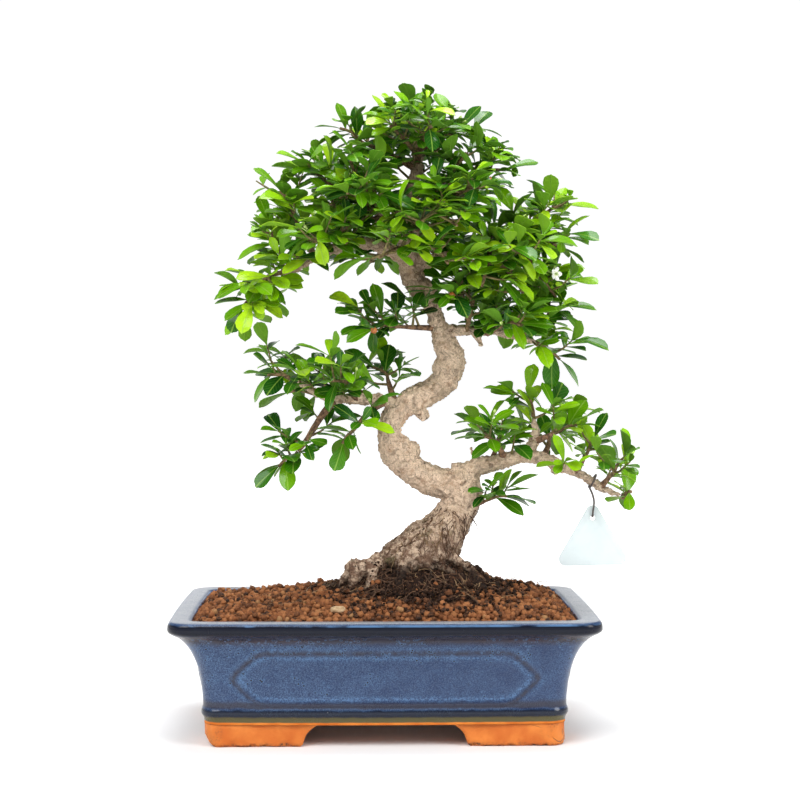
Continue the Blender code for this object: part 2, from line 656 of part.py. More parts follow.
def add_soil(material):
    """Granular soil that fills the pot round a plain hole for the root ball."""
    rng = random.Random(SEED)
    bottom = FLOOR_TOP + MESH_THICKNESS + 2 * TOUCH
    loops = [with_middles(inner_loop(level, SOIL_GAP)) for level in (bottom, *SOIL_LEVELS)]
    outer = loops[-1]
    hole = ball_loop(outer, BALL_ROOM)
    for ring in range(1, SOIL_RINGS + 1):
        share = ring / SOIL_RINGS
        loop = []
        for edge, inner in zip(outer, hole):
            place = edge.lerp(inner, share)
            relief = GRAIN_RELIEF * rng.uniform(-1, 1)
            fade = min(1.0, ring / 2)
            lift = soil_height(place.x, place.y) - SOIL_EDGE
            loop.append(Vector((place.x, place.y, SOIL_EDGE + lift * fade + relief)))
        loops.append(loop)
    loops.append([Vector((p.x, p.y, BALL_BOTTOM - TOUCH)) for p in hole])
    return loft("soil", loops, material)


def add_root_ball(material):
    """The peat block of the young tree, its domed top standing out of the soil."""
    rng = random.Random(SEED + 1)
    plan = inner_loop(SOIL_EDGE, SOIL_GAP)
    rim = ball_loop(plan, 0.0)
    hole = []
    for point in plan:
        turn = math.atan2(point.y - BALL_CENTRE.y, point.x - BALL_CENTRE.x)
        out = Vector((math.cos(turn), math.sin(turn), 0.0))
        hole.append(PLUG_CENTRE + out * (PLUG_RADIUS + PLUG_ROOM))
    loops = [[Vector((p.x, p.y, BALL_BOTTOM)) for p in rim],
             [Vector((p.x, p.y, BALL_EDGE - BALL_SHOULDER)) for p in rim]]
    for share in BALL_RINGS:
        loop = []
        for edge, inner in zip(rim, hole):
            place = edge.lerp(inner, share)
            height = BALL_EDGE + BALL_RISE * (1.0 - ball_share(place.x, place.y) ** 4)
            height -= BALL_RELIEF * rng.random()
            loop.append(Vector((place.x, place.y, height)))
        loops.append(loop)
    loops.append([Vector((p.x, p.y, PLUG_BOTTOM - TOUCH)) for p in hole])
    return loft("root_ball", loops, material)


def limb_points(limb):
    """The limb's smooth centres and radii, in metres."""
    count = len(limb.route)
    marked = []
    for i, point in enumerate(limb.route):
        share = i / (count - 1)
        radius = limb.butt + (limb.tip - limb.butt) * share ** LIMB_TAPER
        marked.append((*mm(point), radius * MM))
    run = curve_through(marked, LIMB_STEP)
    return [Vector(item[:3]) for item in run], [item[3] for item in run]


def trunk_points(rows):
    """The trunk's smooth centres and radii, in metres."""
    marked = [tuple(value * MM for value in row) for row in rows]
    run = curve_through(marked, TUBE_STEP)
    return [Vector(item[:3]) for item in run], [item[3] for item in run]


def root_run(angle, reach, thickness):
    """One surface root: out of the trunk's foot and down along the ground, tapering."""
    turn = math.radians(angle)
    centres, radii = [], []
    for i in range(ROOT_STEPS + 1):
        share = i / ROOT_STEPS
        out = ROOT_START + (reach * MM - ROOT_START) * share
        bend = turn + ROOT_SWAY * math.sin(ROOT_WAVE * share + angle)
        radius = thickness * MM * (1.0 - ROOT_TAPER * share)
        x = PLUG_CENTRE.x + out * math.cos(bend)
        y = PLUG_CENTRE.y + out * math.sin(bend)
        rest = ground_height(x, y) + radius + ROOT_CLEAR
        lift = min(1.0, max(0.0, 1.0 - (out - ROOT_FALL_START) / ROOT_FALL))
        centres.append(Vector((x, y, max(rest, rest + (ROOT_HEIGHT - rest) * lift))))
        radii.append(radius)
    return centres, radii


def add_trunk(material):
    """The grown wood in one piece: trunk, limbs, stubs and surface roots."""
    trunk = add_tube("trunk", *trunk_points(LOWER_TRUNK), TRUNK_SIDES, material, BARK_UNEVEN,
                     level=True)
    others = [add_tube("stem", *trunk_points(UPPER_TRUNK), STEM_SIDES, None, BARK_UNEVEN)]
    for limb in LIMBS.values():
        sides = LIMB_SIDES if limb.butt > THICK_LIMB else SHOOT_SIDES
        others.append(add_tube("limb", *limb_points(limb), sides))
    for stub in STUBS:
        ends = [mm(stub.start), mm(stub.end)]
        others.append(add_tube("stub", ends, [stub.butt * MM, stub.tip * MM], STUB_SIDES))
    for angle, reach, thickness in ROOTS:
        others.append(add_tube("root", *root_run(angle, reach, thickness), ROOT_SIDES))
    join(trunk, others)
    return trunk


class Leaf(NamedTuple):
    """One leaf: its foot, the way it points, its upper side and its size."""
    foot: Vector
    along: Vector
    up: Vector
    length: float
    width: float
    mirrored: bool


class Spray(NamedTuple):
    """A leafy spray: its twig's centres and radii, and its leaves."""
    name: str
    centres: list
    radii: list
    leaves: list


def leaf_point(leaf, share, side):
    """A point on the leaf's upper face, from shares of its length and half width."""
    across = leaf.along.cross(leaf.up)
    half = leaf.width / 2
    if leaf.mirrored:
        side = -side
    rise = LEAF_FOLD * abs(side) * half - LEAF_DROOP * leaf.length * max(share, 0.0) ** 2
    return leaf.foot + leaf.along * (leaf.length * share) + across * (half * side) + leaf.up * rise


def blade_mesh(leaf, thickness, grow=1.0, start=None):
    """The leaf as a thin closed solid: its points, and its faces as lists of point numbers."""
    outline = [(share * grow, side * grow) for share, side in LEAF_OUTLINE]
    if start is not None:
        outline[0] = (start, 0.0)
    tops = [leaf_point(leaf, share, side) for share, side in outline]
    tops.append(leaf_point(leaf, *LEAF_MIDDLE))
    drop = leaf.up * (thickness / 2)
    points = [p + drop for p in tops] + [p - drop for p in tops]
    count = len(outline)
    middle = count
    faces = []
    for k in range(count):
        nxt = (k + 1) % count
        faces.append((k, nxt, middle))
        faces.append((nxt + count + 1, k + count + 1, middle + count + 1))
        faces.append((k, k + count + 1, nxt + count + 1))
        faces.append((k, nxt + count + 1, nxt))
    return points, faces


def tube_guard(centres, radii):
    """An open tube round a run of wood, wider than it by the clearance."""
    points, faces = [], []
    for i, centre in enumerate(centres):
        along = (centres[min(i + 1, len(centres) - 1)] - centres[max(i - 1, 0)]).normalized()
        across = along.orthogonal().normalized()
        aside = along.cross(across)
        reach = (radii[i] + WOOD_MARGIN) * GUARD_WIDEN
        for k in range(GUARD_SIDES):
            turn = math.tau * k / GUARD_SIDES
            points.append(centre + (across * math.cos(turn) + aside * math.sin(turn)) * reach)
    for i in range(len(centres) - 1):
        low, high = GUARD_SIDES * i, GUARD_SIDES * (i + 1)
        for k in range(GUARD_SIDES):
            nxt = (k + 1) % GUARD_SIDES
            faces.append((low + k, low + nxt, high + nxt, high + k))
    return BVHTree.FromPolygons(points, faces)


def spray_twig(name):
    """The spray's main twig: from just off its limb's tip to its end, bowed upwards."""
    if name == "upper_trunk":
        centres, radii = trunk_points(UPPER_TRUNK)
    else:
        centres, radii = limb_points(LIMBS[name])
    tip, before = centres[-1], centres[-2]
    out = (tip - before).normalized()
    start = tip + out * TOUCH
    end = mm(SPRAYS[name])
    reach = (end - start).length
    knee = start + out * (reach * TWIG_KNEE)
    bend = start.lerp(end, TWIG_BEND) + Vector((0, 0, TWIG_RISE * reach))
    return [start, knee, bend, end], [radii[-1] * share for share in TWIG_TAPER] + [TWIG_TIP]


def point_on(centres, share):
    """The place a share of the way along a twig, and its direction there."""
    lengths = [(b - a).length for a, b in zip(centres, centres[1:])]
    left = share * sum(lengths)
    for (a, b), length in zip(zip(centres, centres[1:]), lengths):
        if left <= length:
            return a.lerp(b, left / length), (b - a).normalized()
        left -= length
    return centres[-1], (centres[-1] - centres[-2]).normalized()


def try_leaf(rng, foot, along, turn, spread, scale):
    """A leaf that leans off its twig by a spread, its upper side turned to the sky."""
    aside = along.cross(Vector((0, 0, 1)))
    aside = aside.normalized() if aside.length > 0.1 else along.orthogonal().normalized()
    over = aside.cross(along)
    out = aside * math.cos(turn) + over * math.sin(turn)
    way = along * math.cos(spread) + out * math.sin(spread) + Vector((0, 0, SKY_LEAN))
    way.normalize()
    sky = Vector((rng.uniform(*SKY_X), rng.uniform(*SKY_Y), 1.0))
    up = sky - way * sky.dot(way)
    if up.length < 0.2:
        up = way.orthogonal()
    length = rng.uniform(*LEAF_LENGTH) * scale
    width = length * rng.uniform(*LEAF_ASPECT)
    return Leaf(foot, way, up.normalized(), length, width, rng.random() < 0.5)


def fits(leaf):
    """Whether the leaf stays within the tree's outline box."""
    tip = leaf_point(leaf, 1.0, 0.0)
    return all(low <= value <= high for low, value, high in zip(FOLIAGE_LOW, tip, FOLIAGE_HIGH))


def grow_leaves(rng, centres, wood, leaves):
    """Leaves along a twig and at its tip, each clear of the wood and of the leaves before it."""
    grown = []
    turn = rng.uniform(0, math.tau)
    for i in range(LEAVES_PER_SPRAY):
        share = FIRST_LEAF + (1.0 - FIRST_LEAF) * i / (LEAVES_PER_SPRAY - 1)
        at_tip = i == LEAVES_PER_SPRAY - 1
        place, along = point_on(centres, share)
        foot = place - along * TIP_SINK if at_tip else place
        for attempt in range(LEAF_TRIES):
            scale = 1.0 - TRY_SHRINK * attempt / LEAF_TRIES
            spread = rng.uniform(*(TIP_SPREAD if at_tip else SIDE_SPREAD))
            leaf = try_leaf(rng, foot, along, turn, spread, scale)
            points, faces = blade_mesh(leaf, GUARD_BLADE, GUARD_GROW, GUARD_START)
            guard = BVHTree.FromPolygons(points, faces)
            middle = points[len(points) // 2 - 1]
            near = [tree for spot, tree in leaves if (spot - middle).length < 2 * LEAF_LENGTH[1]]
            if fits(leaf) and not any(guard.overlap(tree) for tree in wood + near):
                leaves.append((middle, guard))
                grown.append(leaf)
                break
            turn += rng.uniform(*TRY_TURN)
        turn += GOLDEN_TURN
    return grown


def plan_sprays():
    """Every spray's twig and leaves, from the seed and the clearances alone."""
    runs = [trunk_points(LOWER_TRUNK), trunk_points(UPPER_TRUNK)]
    runs += [limb_points(limb) for limb in LIMBS.values()]
    runs += [([mm(stub.start), mm(stub.end)], [stub.butt * MM, stub.tip * MM]) for stub in STUBS]
    runs.append(([TIE_PLACE, Vector((TIE_PLACE.x, TIE_PLACE.y, TIE_HOOK))], [TIE_MARGIN] * 2))
    twigs = {name: spray_twig(name) for name in SPRAYS}
    wood = [tube_guard(*run) for run in runs + list(twigs.values())]
    rng = random.Random(SEED + 2)
    leaves = []
    return [Spray(name, centres, radii, grow_leaves(rng, centres, wood, leaves))
            for name, (centres, radii) in twigs.items()]


def add_spray(spray, material):
    """One leafy spray fused in one body."""
    twig = add_tube("spray_" + spray.name, spray.centres, spray.radii, TWIG_SIDES, material)
    others = []
    for leaf in spray.leaves:
        points, faces = blade_mesh(leaf, BLADE)
        bm = bmesh.new()
        corners = [bm.verts.new(point) for point in points]
        for face in faces:
            bm.faces.new([corners[k] for k in face])
        bmesh.ops.recalc_face_normals(bm, faces=bm.faces[:])
        others.append(add_object("leaf", bm))
    join(twig, others)
    return twig


def add_flower(material):
    """The open flower: five blunt lobes on a short stalk, off the tip of its twig."""
    centres, _ = limb_points(LIMBS["flower_twig"])
    out = (centres[-1] - centres[-2]).normalized()
    start = centres[-1] + out * TOUCH
    face = (out + FLOWER_FACE).normalized()
    top = start + out * STALK_RUN[1] + face * STALK_LIFT
    stalk = add_tube("flower", [start, start + out * STALK_RUN[0], top], STALK_RADII, STALK_SIDES,
                     material)
    across = face.orthogonal().normalized()
    aside = face.cross(across)
    bm = bmesh.new()
    loops = []
    for level in (-PETAL_HALF, PETAL_HALF):
        loop = []
        for k in range(10):
            turn = math.tau * k / 10
            is_lobe = k % 2 == 0
            reach, cup = (LOBE_REACH, LOBE_CUP) if is_lobe else (NOTCH_REACH, 0.0)
            spot = (across * math.cos(turn) + aside * math.sin(turn)) * reach
            loop.append(bm.verts.new(top + spot + face * (level + cup)))
        loops.append(loop)
    centre_low = bm.verts.new(top - face * PETAL_HALF)
    centre_high = bm.verts.new(top + face * PETAL_HALF)
    low, high = loops
    for k in range(10):
        nxt = (k + 1) % 10
        bm.faces.new((low[nxt], low[k], centre_low))
        bm.faces.new((high[k], high[nxt], centre_high))
        bm.faces.new((low[k], low[nxt], high[nxt]))
        bm.faces.new((low[k], high[nxt], high[k]))
    join(stalk, [add_object("corolla", bm)])
    return stalk


def seat_height(ground, points):
    """The height at which a flat underside through the points just clears the ground piece."""
    corners = [vertex.co for vertex in ground.data.vertices]
    tree = BVHTree.FromPolygons(corners, [face.vertices for face in ground.data.polygons])
    down = Vector((0.0, 0.0, -1.0))
    return TOUCH + max(tree.ray_cast(Vector((p.x, p.y, LOOK_FROM)), down)[0].z for p in points)


def add_pale_stone(material, soil):
    """The light stone chip lying on the soil at the front."""
    rng = random.Random(SEED + 3)
    loops = []
    for level, reach in STONE_RINGS:
        loop = []
        for k in range(STONE_SIDES):
            turn = math.tau * k / STONE_SIDES
            swell = reach * rng.uniform(*STONE_SWELL)
            out = Vector((STONE_HALF[0] * math.cos(turn), STONE_HALF[1] * math.sin(turn), level))
            loop.append(STONE_PLACE + Vector((out.x * swell, out.y * swell, out.z)))
        loops.append(loop)
    seat = Vector((0.0, 0.0, seat_height(soil, loops[0])))
    return loft("pale_stone", [[point + seat for point in loop] for loop in loops], material)


def add_tag(material):
    """The hang tag: a thin triangle with round corners and a hole at its top."""
    hole_height = TIE_HOOK + TIE_RADIUS + TOUCH - TAG_HOLE
    apex = Vector((0.0, hole_height + HOLE_FROM_TIP - TAG_CORNER))
    base = hole_height + HOLE_FROM_TIP - TAG_HEIGHT + TAG_CORNER
    corners = ((Vector((TAG_WIDTH / 2 - TAG_CORNER, base)), -90), (apex, 30),
               (Vector((TAG_CORNER - TAG_WIDTH / 2, base)), 150))
    outline = []
    for centre, start in corners:
        for step in range(TAG_CORNER_STEPS + 1):
            turn = math.radians(start + 120.0 * step / TAG_CORNER_STEPS)
            outline.append(centre + Vector((math.cos(turn), math.sin(turn))) * TAG_CORNER)
    across = Vector((math.cos(TAG_TURN), math.sin(TAG_TURN), 0.0))
    through = Vector((math.sin(TAG_TURN), -math.cos(TAG_TURN), 0.0))
    middle = Vector((TIE_PLACE.x, TIE_PLACE.y, 0.0))
    loops = []
    for level in (-TAG_THICKNESS / 2, TAG_THICKNESS / 2):
        loops.append([middle + across * p.x + Vector((0, 0, p.y)) + through * level for p in outline])
    tag = loft("hang_tag", loops, material)
    centre = middle + Vector((0, 0, hole_height))
    ends = [centre - through * CUT_PAST, centre + through * CUT_PAST]
    cut = add_tube("hole", ends, [TAG_HOLE] * 2, HOLE_SIDES)
    join(tag, [cut], "DIFFERENCE")
    return tag


def add_tie(material):
    """The dark wire: a ring round the limb, a straight drop and a hook through the tag."""
    centres, radii = limb_points(LIMBS["right_main"])
    nearest = min(range(1, len(centres) - 1), key=lambda i: abs(centres[i].x - TIE_PLACE.x))
    along = (centres[nearest + 1] - centres[nearest - 1]).normalized()
    share = (TIE_PLACE.x - centres[nearest - 1].x) / (centres[nearest + 1].x - centres[nearest - 1].x)
    middle = centres[nearest - 1].lerp(centres[nearest + 1], share)
    down = (Vector((0, 0, -1)) + along * along.z).normalized()
    aside = along.cross(down)
    reach = radii[nearest - 1] + TIE_ROOM + TIE_RADIUS
    ring = []
    for k in range(TIE_TURNS):
        turn = math.tau * k / TIE_TURNS
        ring.append(middle + down * (reach * math.cos(turn)) + aside * (reach * math.sin(turn)))
    tie = add_tube("tag_tie", ring, [TIE_RADIUS] * TIE_TURNS, RING_SIDES, material, closed=True)
    low = middle + down * reach
    front = TIE_PLACE.y - TIE_FORWARD
    drop = [low, Vector((TIE_PLACE.x, front, low.z - 5 * MM)),
            Vector((TIE_PLACE.x, front, TIE_HOOK + 3.5 * MM)),
            Vector((TIE_PLACE.x, front + 0.7 * MM, TIE_HOOK + 0.6 * MM)),
            Vector((TIE_PLACE.x, TIE_PLACE.y, TIE_HOOK)),
            Vector((TIE_PLACE.x, TIE_PLACE.y + 2.6 * MM, TIE_HOOK))]
    wire = add_tube("wire", drop, [TIE_RADIUS] * len(drop), TIE_SIDES)
    knob = add_tube("knob", [drop[-1] + Vector((0, back * MM, 0)) for back in (-0.6, 0.4, 1.6)],
                    KNOB_RADII, KNOB_SIDES)
    join(tie, [wire, knob])
    return tie


def build_bonsai():
    """Build every piece and stand the whole on the frame's origin."""
    clear_scene()
    glaze = finish_material("glaze", (0.035, 0.075, 0.17), 0.25)
    clay = finish_material("soil", (0.21, 0.09, 0.045), 0.95)
    peat = finish_material("peat", (0.055, 0.03, 0.02), 0.98)
    bark = finish_material("bark", (0.45, 0.33, 0.22), 0.85)
    leaf = finish_material("leaf", (0.06, 0.22, 0.02), 0.35)
    petal = finish_material("petal", (0.9, 0.9, 0.86), 0.5)
    stone = finish_material("stone", (0.6, 0.47, 0.32), 0.85)
    card = finish_material("card", (0.92, 0.92, 0.92), 0.5)
    wire = finish_material("wire", (0.05, 0.045, 0.045), 0.45)
    screen = finish_material("screen", (0.03, 0.03, 0.03), 0.6)

    soil = add_soil(clay)
    pieces = [add_pot(glaze), soil, add_root_ball(peat), add_trunk(bark),
              add_drain_mesh("drain_mesh_left", -1, screen),
              add_drain_mesh("drain_mesh_right", 1, screen),
              add_pale_stone(stone, soil), add_flower(petal), add_tag(card), add_tie(wire)]
    pieces += [add_spray(spray, leaf) for spray in plan_sprays()]

    base = bpy.data.objects.new("bonsai", None)
    base.location = (CENTRE_SHIFT, 0.0, 0.0)
    bpy.context.collection.objects.link(base)
    for piece in pieces:
        piece.parent = base


build_bonsai()
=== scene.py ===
"""Dress the fukien tea bonsai: glazed pot, clay granules, peat, bark, leaves, flower and tag.

Every piece is drawn round the pot's plan centre, in metres, with +Z up and the front at -Y, and
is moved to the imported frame's own place at the end. The routes of the wood and the rule that
places the leaves are those of the solids, so each fine piece lies where its solid is.
"""
from __future__ import annotations

import itertools
import logging
import math
import random
from dataclasses import dataclass
from enum import Enum
from typing import NamedTuple, Sequence

import bpy
import numpy as np
from mathutils import Matrix, Vector, noise
from mathutils.bvhtree import BVHTree

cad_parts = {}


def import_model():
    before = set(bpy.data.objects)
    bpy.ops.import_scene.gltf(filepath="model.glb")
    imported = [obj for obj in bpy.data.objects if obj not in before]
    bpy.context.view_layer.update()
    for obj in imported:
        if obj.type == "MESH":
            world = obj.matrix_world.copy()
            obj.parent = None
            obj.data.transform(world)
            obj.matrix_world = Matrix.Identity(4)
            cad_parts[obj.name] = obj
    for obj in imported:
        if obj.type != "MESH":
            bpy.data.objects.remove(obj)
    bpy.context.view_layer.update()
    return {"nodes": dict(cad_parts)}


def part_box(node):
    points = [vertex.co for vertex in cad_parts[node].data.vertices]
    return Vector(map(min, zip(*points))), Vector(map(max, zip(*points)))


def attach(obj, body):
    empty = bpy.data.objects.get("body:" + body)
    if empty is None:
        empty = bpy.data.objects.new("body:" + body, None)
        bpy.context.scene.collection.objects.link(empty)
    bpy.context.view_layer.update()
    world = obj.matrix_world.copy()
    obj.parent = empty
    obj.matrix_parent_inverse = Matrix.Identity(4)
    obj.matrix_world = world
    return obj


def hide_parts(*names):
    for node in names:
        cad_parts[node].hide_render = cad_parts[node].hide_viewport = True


log = logging.getLogger("bonsai")

MM = 0.001
BODY = "root"
SEED = 41
GOLDEN_TURN = math.radians(137.5)
UP = Vector((0.0, 0.0, 1.0))

Colour = tuple[float, float, float]
Run = tuple[list[Vector], list[float]]


class Slot(Enum):
    """The record's material slots."""

    POT = "glazed_pot"
    SOIL = "soil"
    PEAT = "peat"
    BARK = "bark"
    LEAF = "leaf"
    PETAL = "petal"
    STONE = "pale_stone"
    TAG = "tag"
    WIRE = "wire"
    SCREEN = "screen"


# Shader maths

class Value:
    """A shader value that takes part in ordinary arithmetic, each step adding one node."""

    def __init__(self, bench: Bench, output: bpy.types.NodeSocket) -> None:
        """Wrap an output socket of the bench's tree."""
        self.bench = bench
        self.output = output

    def _maths(self, operation: str, other: Value | float, reflected: bool = False) -> Value:
        """Join this value and another in one Math node.

        Args:
            operation: the node's operation.
            other: the second value.
            reflected: whether the other one comes first.

        Returns:
            The result.
        """
        first, second = (other, self) if reflected else (self, other)
        node = self.bench.node("ShaderNodeMath", {"operation": operation}, {0: first, 1: second})
        return Value(self.bench, node.outputs[0])

    def __add__(self, other: Value | float) -> Value:
        """This plus another."""
        return self._maths("ADD", other)

    def __radd__(self, other: float) -> Value:
        """A number plus this."""
        return self._maths("ADD", other)

    def __sub__(self, other: Value | float) -> Value:
        """This minus another."""
        return self._maths("SUBTRACT", other)

    def __rsub__(self, other: float) -> Value:
        """A number minus this."""
        return self._maths("SUBTRACT", other, reflected=True)

    def __mul__(self, other: Value | float) -> Value:
        """This times another."""
        return self._maths("MULTIPLY", other)

    def __rmul__(self, other: float) -> Value:
        """A number times this."""
        return self._maths("MULTIPLY", other)

    def __abs__(self) -> Value:
        """The size of this, without its sign."""
        return self._maths("ABSOLUTE", 0.0)

    def top(self, other: Value | float) -> Value:
        """The larger of this and another."""
        return self._maths("MAXIMUM", other)

    def repeat(self) -> Value:
        """The part of this past its last whole number."""
        return self._maths("FRACT", 0.0)

    def rise(self, low: float, high: float) -> Value:
        """A smooth step from 0 at the low value to 1 at the high one.

        Args:
            low: where the step starts.
            high: where it ends.

        Returns:
            The step.
        """
        node = self.bench.node("ShaderNodeMapRange", {"interpolation_type": "SMOOTHSTEP"},
                               {"Value": self, "From Min": low, "From Max": high})
        return Value(self.bench, node.outputs["Result"])

    def fall(self, low: float, high: float) -> Value:
        """A smooth step from 1 at the low value to 0 at the high one."""
        return 1.0 - self.rise(low, high)

    def between(self, start: float, full: float, fade: float, end: float) -> Value:
        """A smooth rise from the first value to the second, and a fall from the third to the last."""
        return self.rise(start, full) * self.fall(fade, end)


class Bench:
    """The nodes of one material, round its Principled shader."""

    def __init__(self, name: str) -> None:
        """Start a new material.

        Args:
            name: the finish in plain words.
        """
        self.material = bpy.data.materials.new(name)
        self.material.use_nodes = True
        self.tree = self.material.node_tree
        self.shader = self.tree.nodes["Principled BSDF"]

    def node(self, kind: str, settings: dict | None = None,
             values: dict | None = None) -> bpy.types.Node:
        """Add a node.

        Args:
            kind: the node's type.
            settings: its own settings, and for a ramp its stops.
            values: numbers, colours, values or sockets for its inputs.

        Returns:
            The node.
        """
        node = self.tree.nodes.new(kind)
        for key, setting in (settings or {}).items():
            if key == "stops":
                self._set_stops(node.color_ramp, setting)
            else:
                setattr(node, key, setting)
        for key, value in (values or {}).items():
            self.feed(node.inputs[key], value)
        return node

    @staticmethod
    def _set_stops(ramp: bpy.types.ColorRamp, stops: Sequence[tuple[float, Colour]]) -> None:
        """Give a ramp its colours.

        Args:
            ramp: the node's ramp.
            stops: places from 0 to 1, each with its colour.
        """
        while len(ramp.elements) < len(stops):
            ramp.elements.new(1.0)
        for element, (place, colour) in zip(ramp.elements, stops):
            element.position = place
            element.color = (*colour, 1.0)

    def feed(self, socket: bpy.types.NodeSocket, value: object) -> None:
        """Link a value to an input, or set it there.

        Args:
            socket: the input.
            value: a value, a socket, a number or a colour.
        """
        if isinstance(value, Value):
            self.tree.links.new(value.output, socket)
        elif isinstance(value, bpy.types.NodeSocket):
            self.tree.links.new(value, socket)
        elif isinstance(value, tuple) and len(value) == 3 and socket.type == "RGBA":
            socket.default_value = (*value, 1.0)
        else:
            socket.default_value = value

    def dress(self, **values: object) -> bpy.types.Material:
        """Feed the shader's inputs, named with underscores for spaces, and give the material.

        Args:
            values: what each input gets.

        Returns:
            The material.
        """
        for key, value in values.items():
            self.feed(self.shader.inputs[key.replace("_", " ")], value)
        return self.material

    def place(self) -> bpy.types.NodeSocket:
        """Object coordinates, in metres."""
        return self.node("ShaderNodeTexCoord").outputs["Object"]

    def along(self, axis: str, place: bpy.types.NodeSocket | None = None) -> Value:
        """How far along an axis a point lies, in metres or in the units of another place."""
        node = self.node("ShaderNodeSeparateXYZ", {}, {"Vector": place or self.place()})
        return Value(self, node.outputs[axis])

    def mark(self, name: str) -> Value:
        """A number that the mesh carries at each point."""
        node = self.node("ShaderNodeAttribute", {"attribute_name": name})
        return Value(self, node.outputs["Fac"])

    def cloud(self, size: float, detail: float = 2.0, rough: float = 0.5) -> Value:
        """Soft noise whose lumps are about the size, in metres.

        Args:
            size: how large the lumps are.
            detail: how many finer layers lie on them.
            rough: how strong the finer layers are.

        Returns:
            The noise, about 0.5 at its mean.
        """
        node = self.node("ShaderNodeTexNoise", {}, {
            "Vector": self.place(), "Scale": 1.0 / size, "Detail": detail, "Roughness": rough})
        return Value(self, node.outputs[0])

    def cells(self, size: float, feature: str = "F1") -> Value:
        """How far a point lies from the middle, or the edge, of its cell of about the size.

        Args:
            size: how large the cells are, in metres.
            feature: which distance is meant.

        Returns:
            The distance, in cell sizes.
        """
        node = self.node("ShaderNodeTexVoronoi", {"feature": feature}, {
            "Vector": self.place(), "Scale": 1.0 / size})
        return Value(self, node.outputs["Distance"])

    def blend(self, share: Value | float, first: object, second: object) -> bpy.types.NodeSocket:
        """A colour between two, by a share from 0 to 1."""
        node = self.node("ShaderNodeMix", {"data_type": "RGBA"}, {0: share, 6: first, 7: second})
        return node.outputs[2]

    def ramp(self, share: Value, *stops: tuple[float, Colour]) -> bpy.types.NodeSocket:
        """A colour read off a row of stops."""
        return self.node("ShaderNodeValToRGB", {"stops": stops}, {"Fac": share}).outputs["Color"]

    def relief(self, height: Value, depth: float, strength: float = 1.0) -> bpy.types.NodeSocket:
        """A normal bent by a height, whose full range is a depth in metres.

        Args:
            height: the height, from 0 to 1.
            depth: its full range in metres.
            strength: how much of it counts.

        Returns:
            The normal.
        """
        node = self.node("ShaderNodeBump", {}, {
            "Strength": strength, "Distance": depth, "Height": height})
        return node.outputs["Normal"]


# Finishes

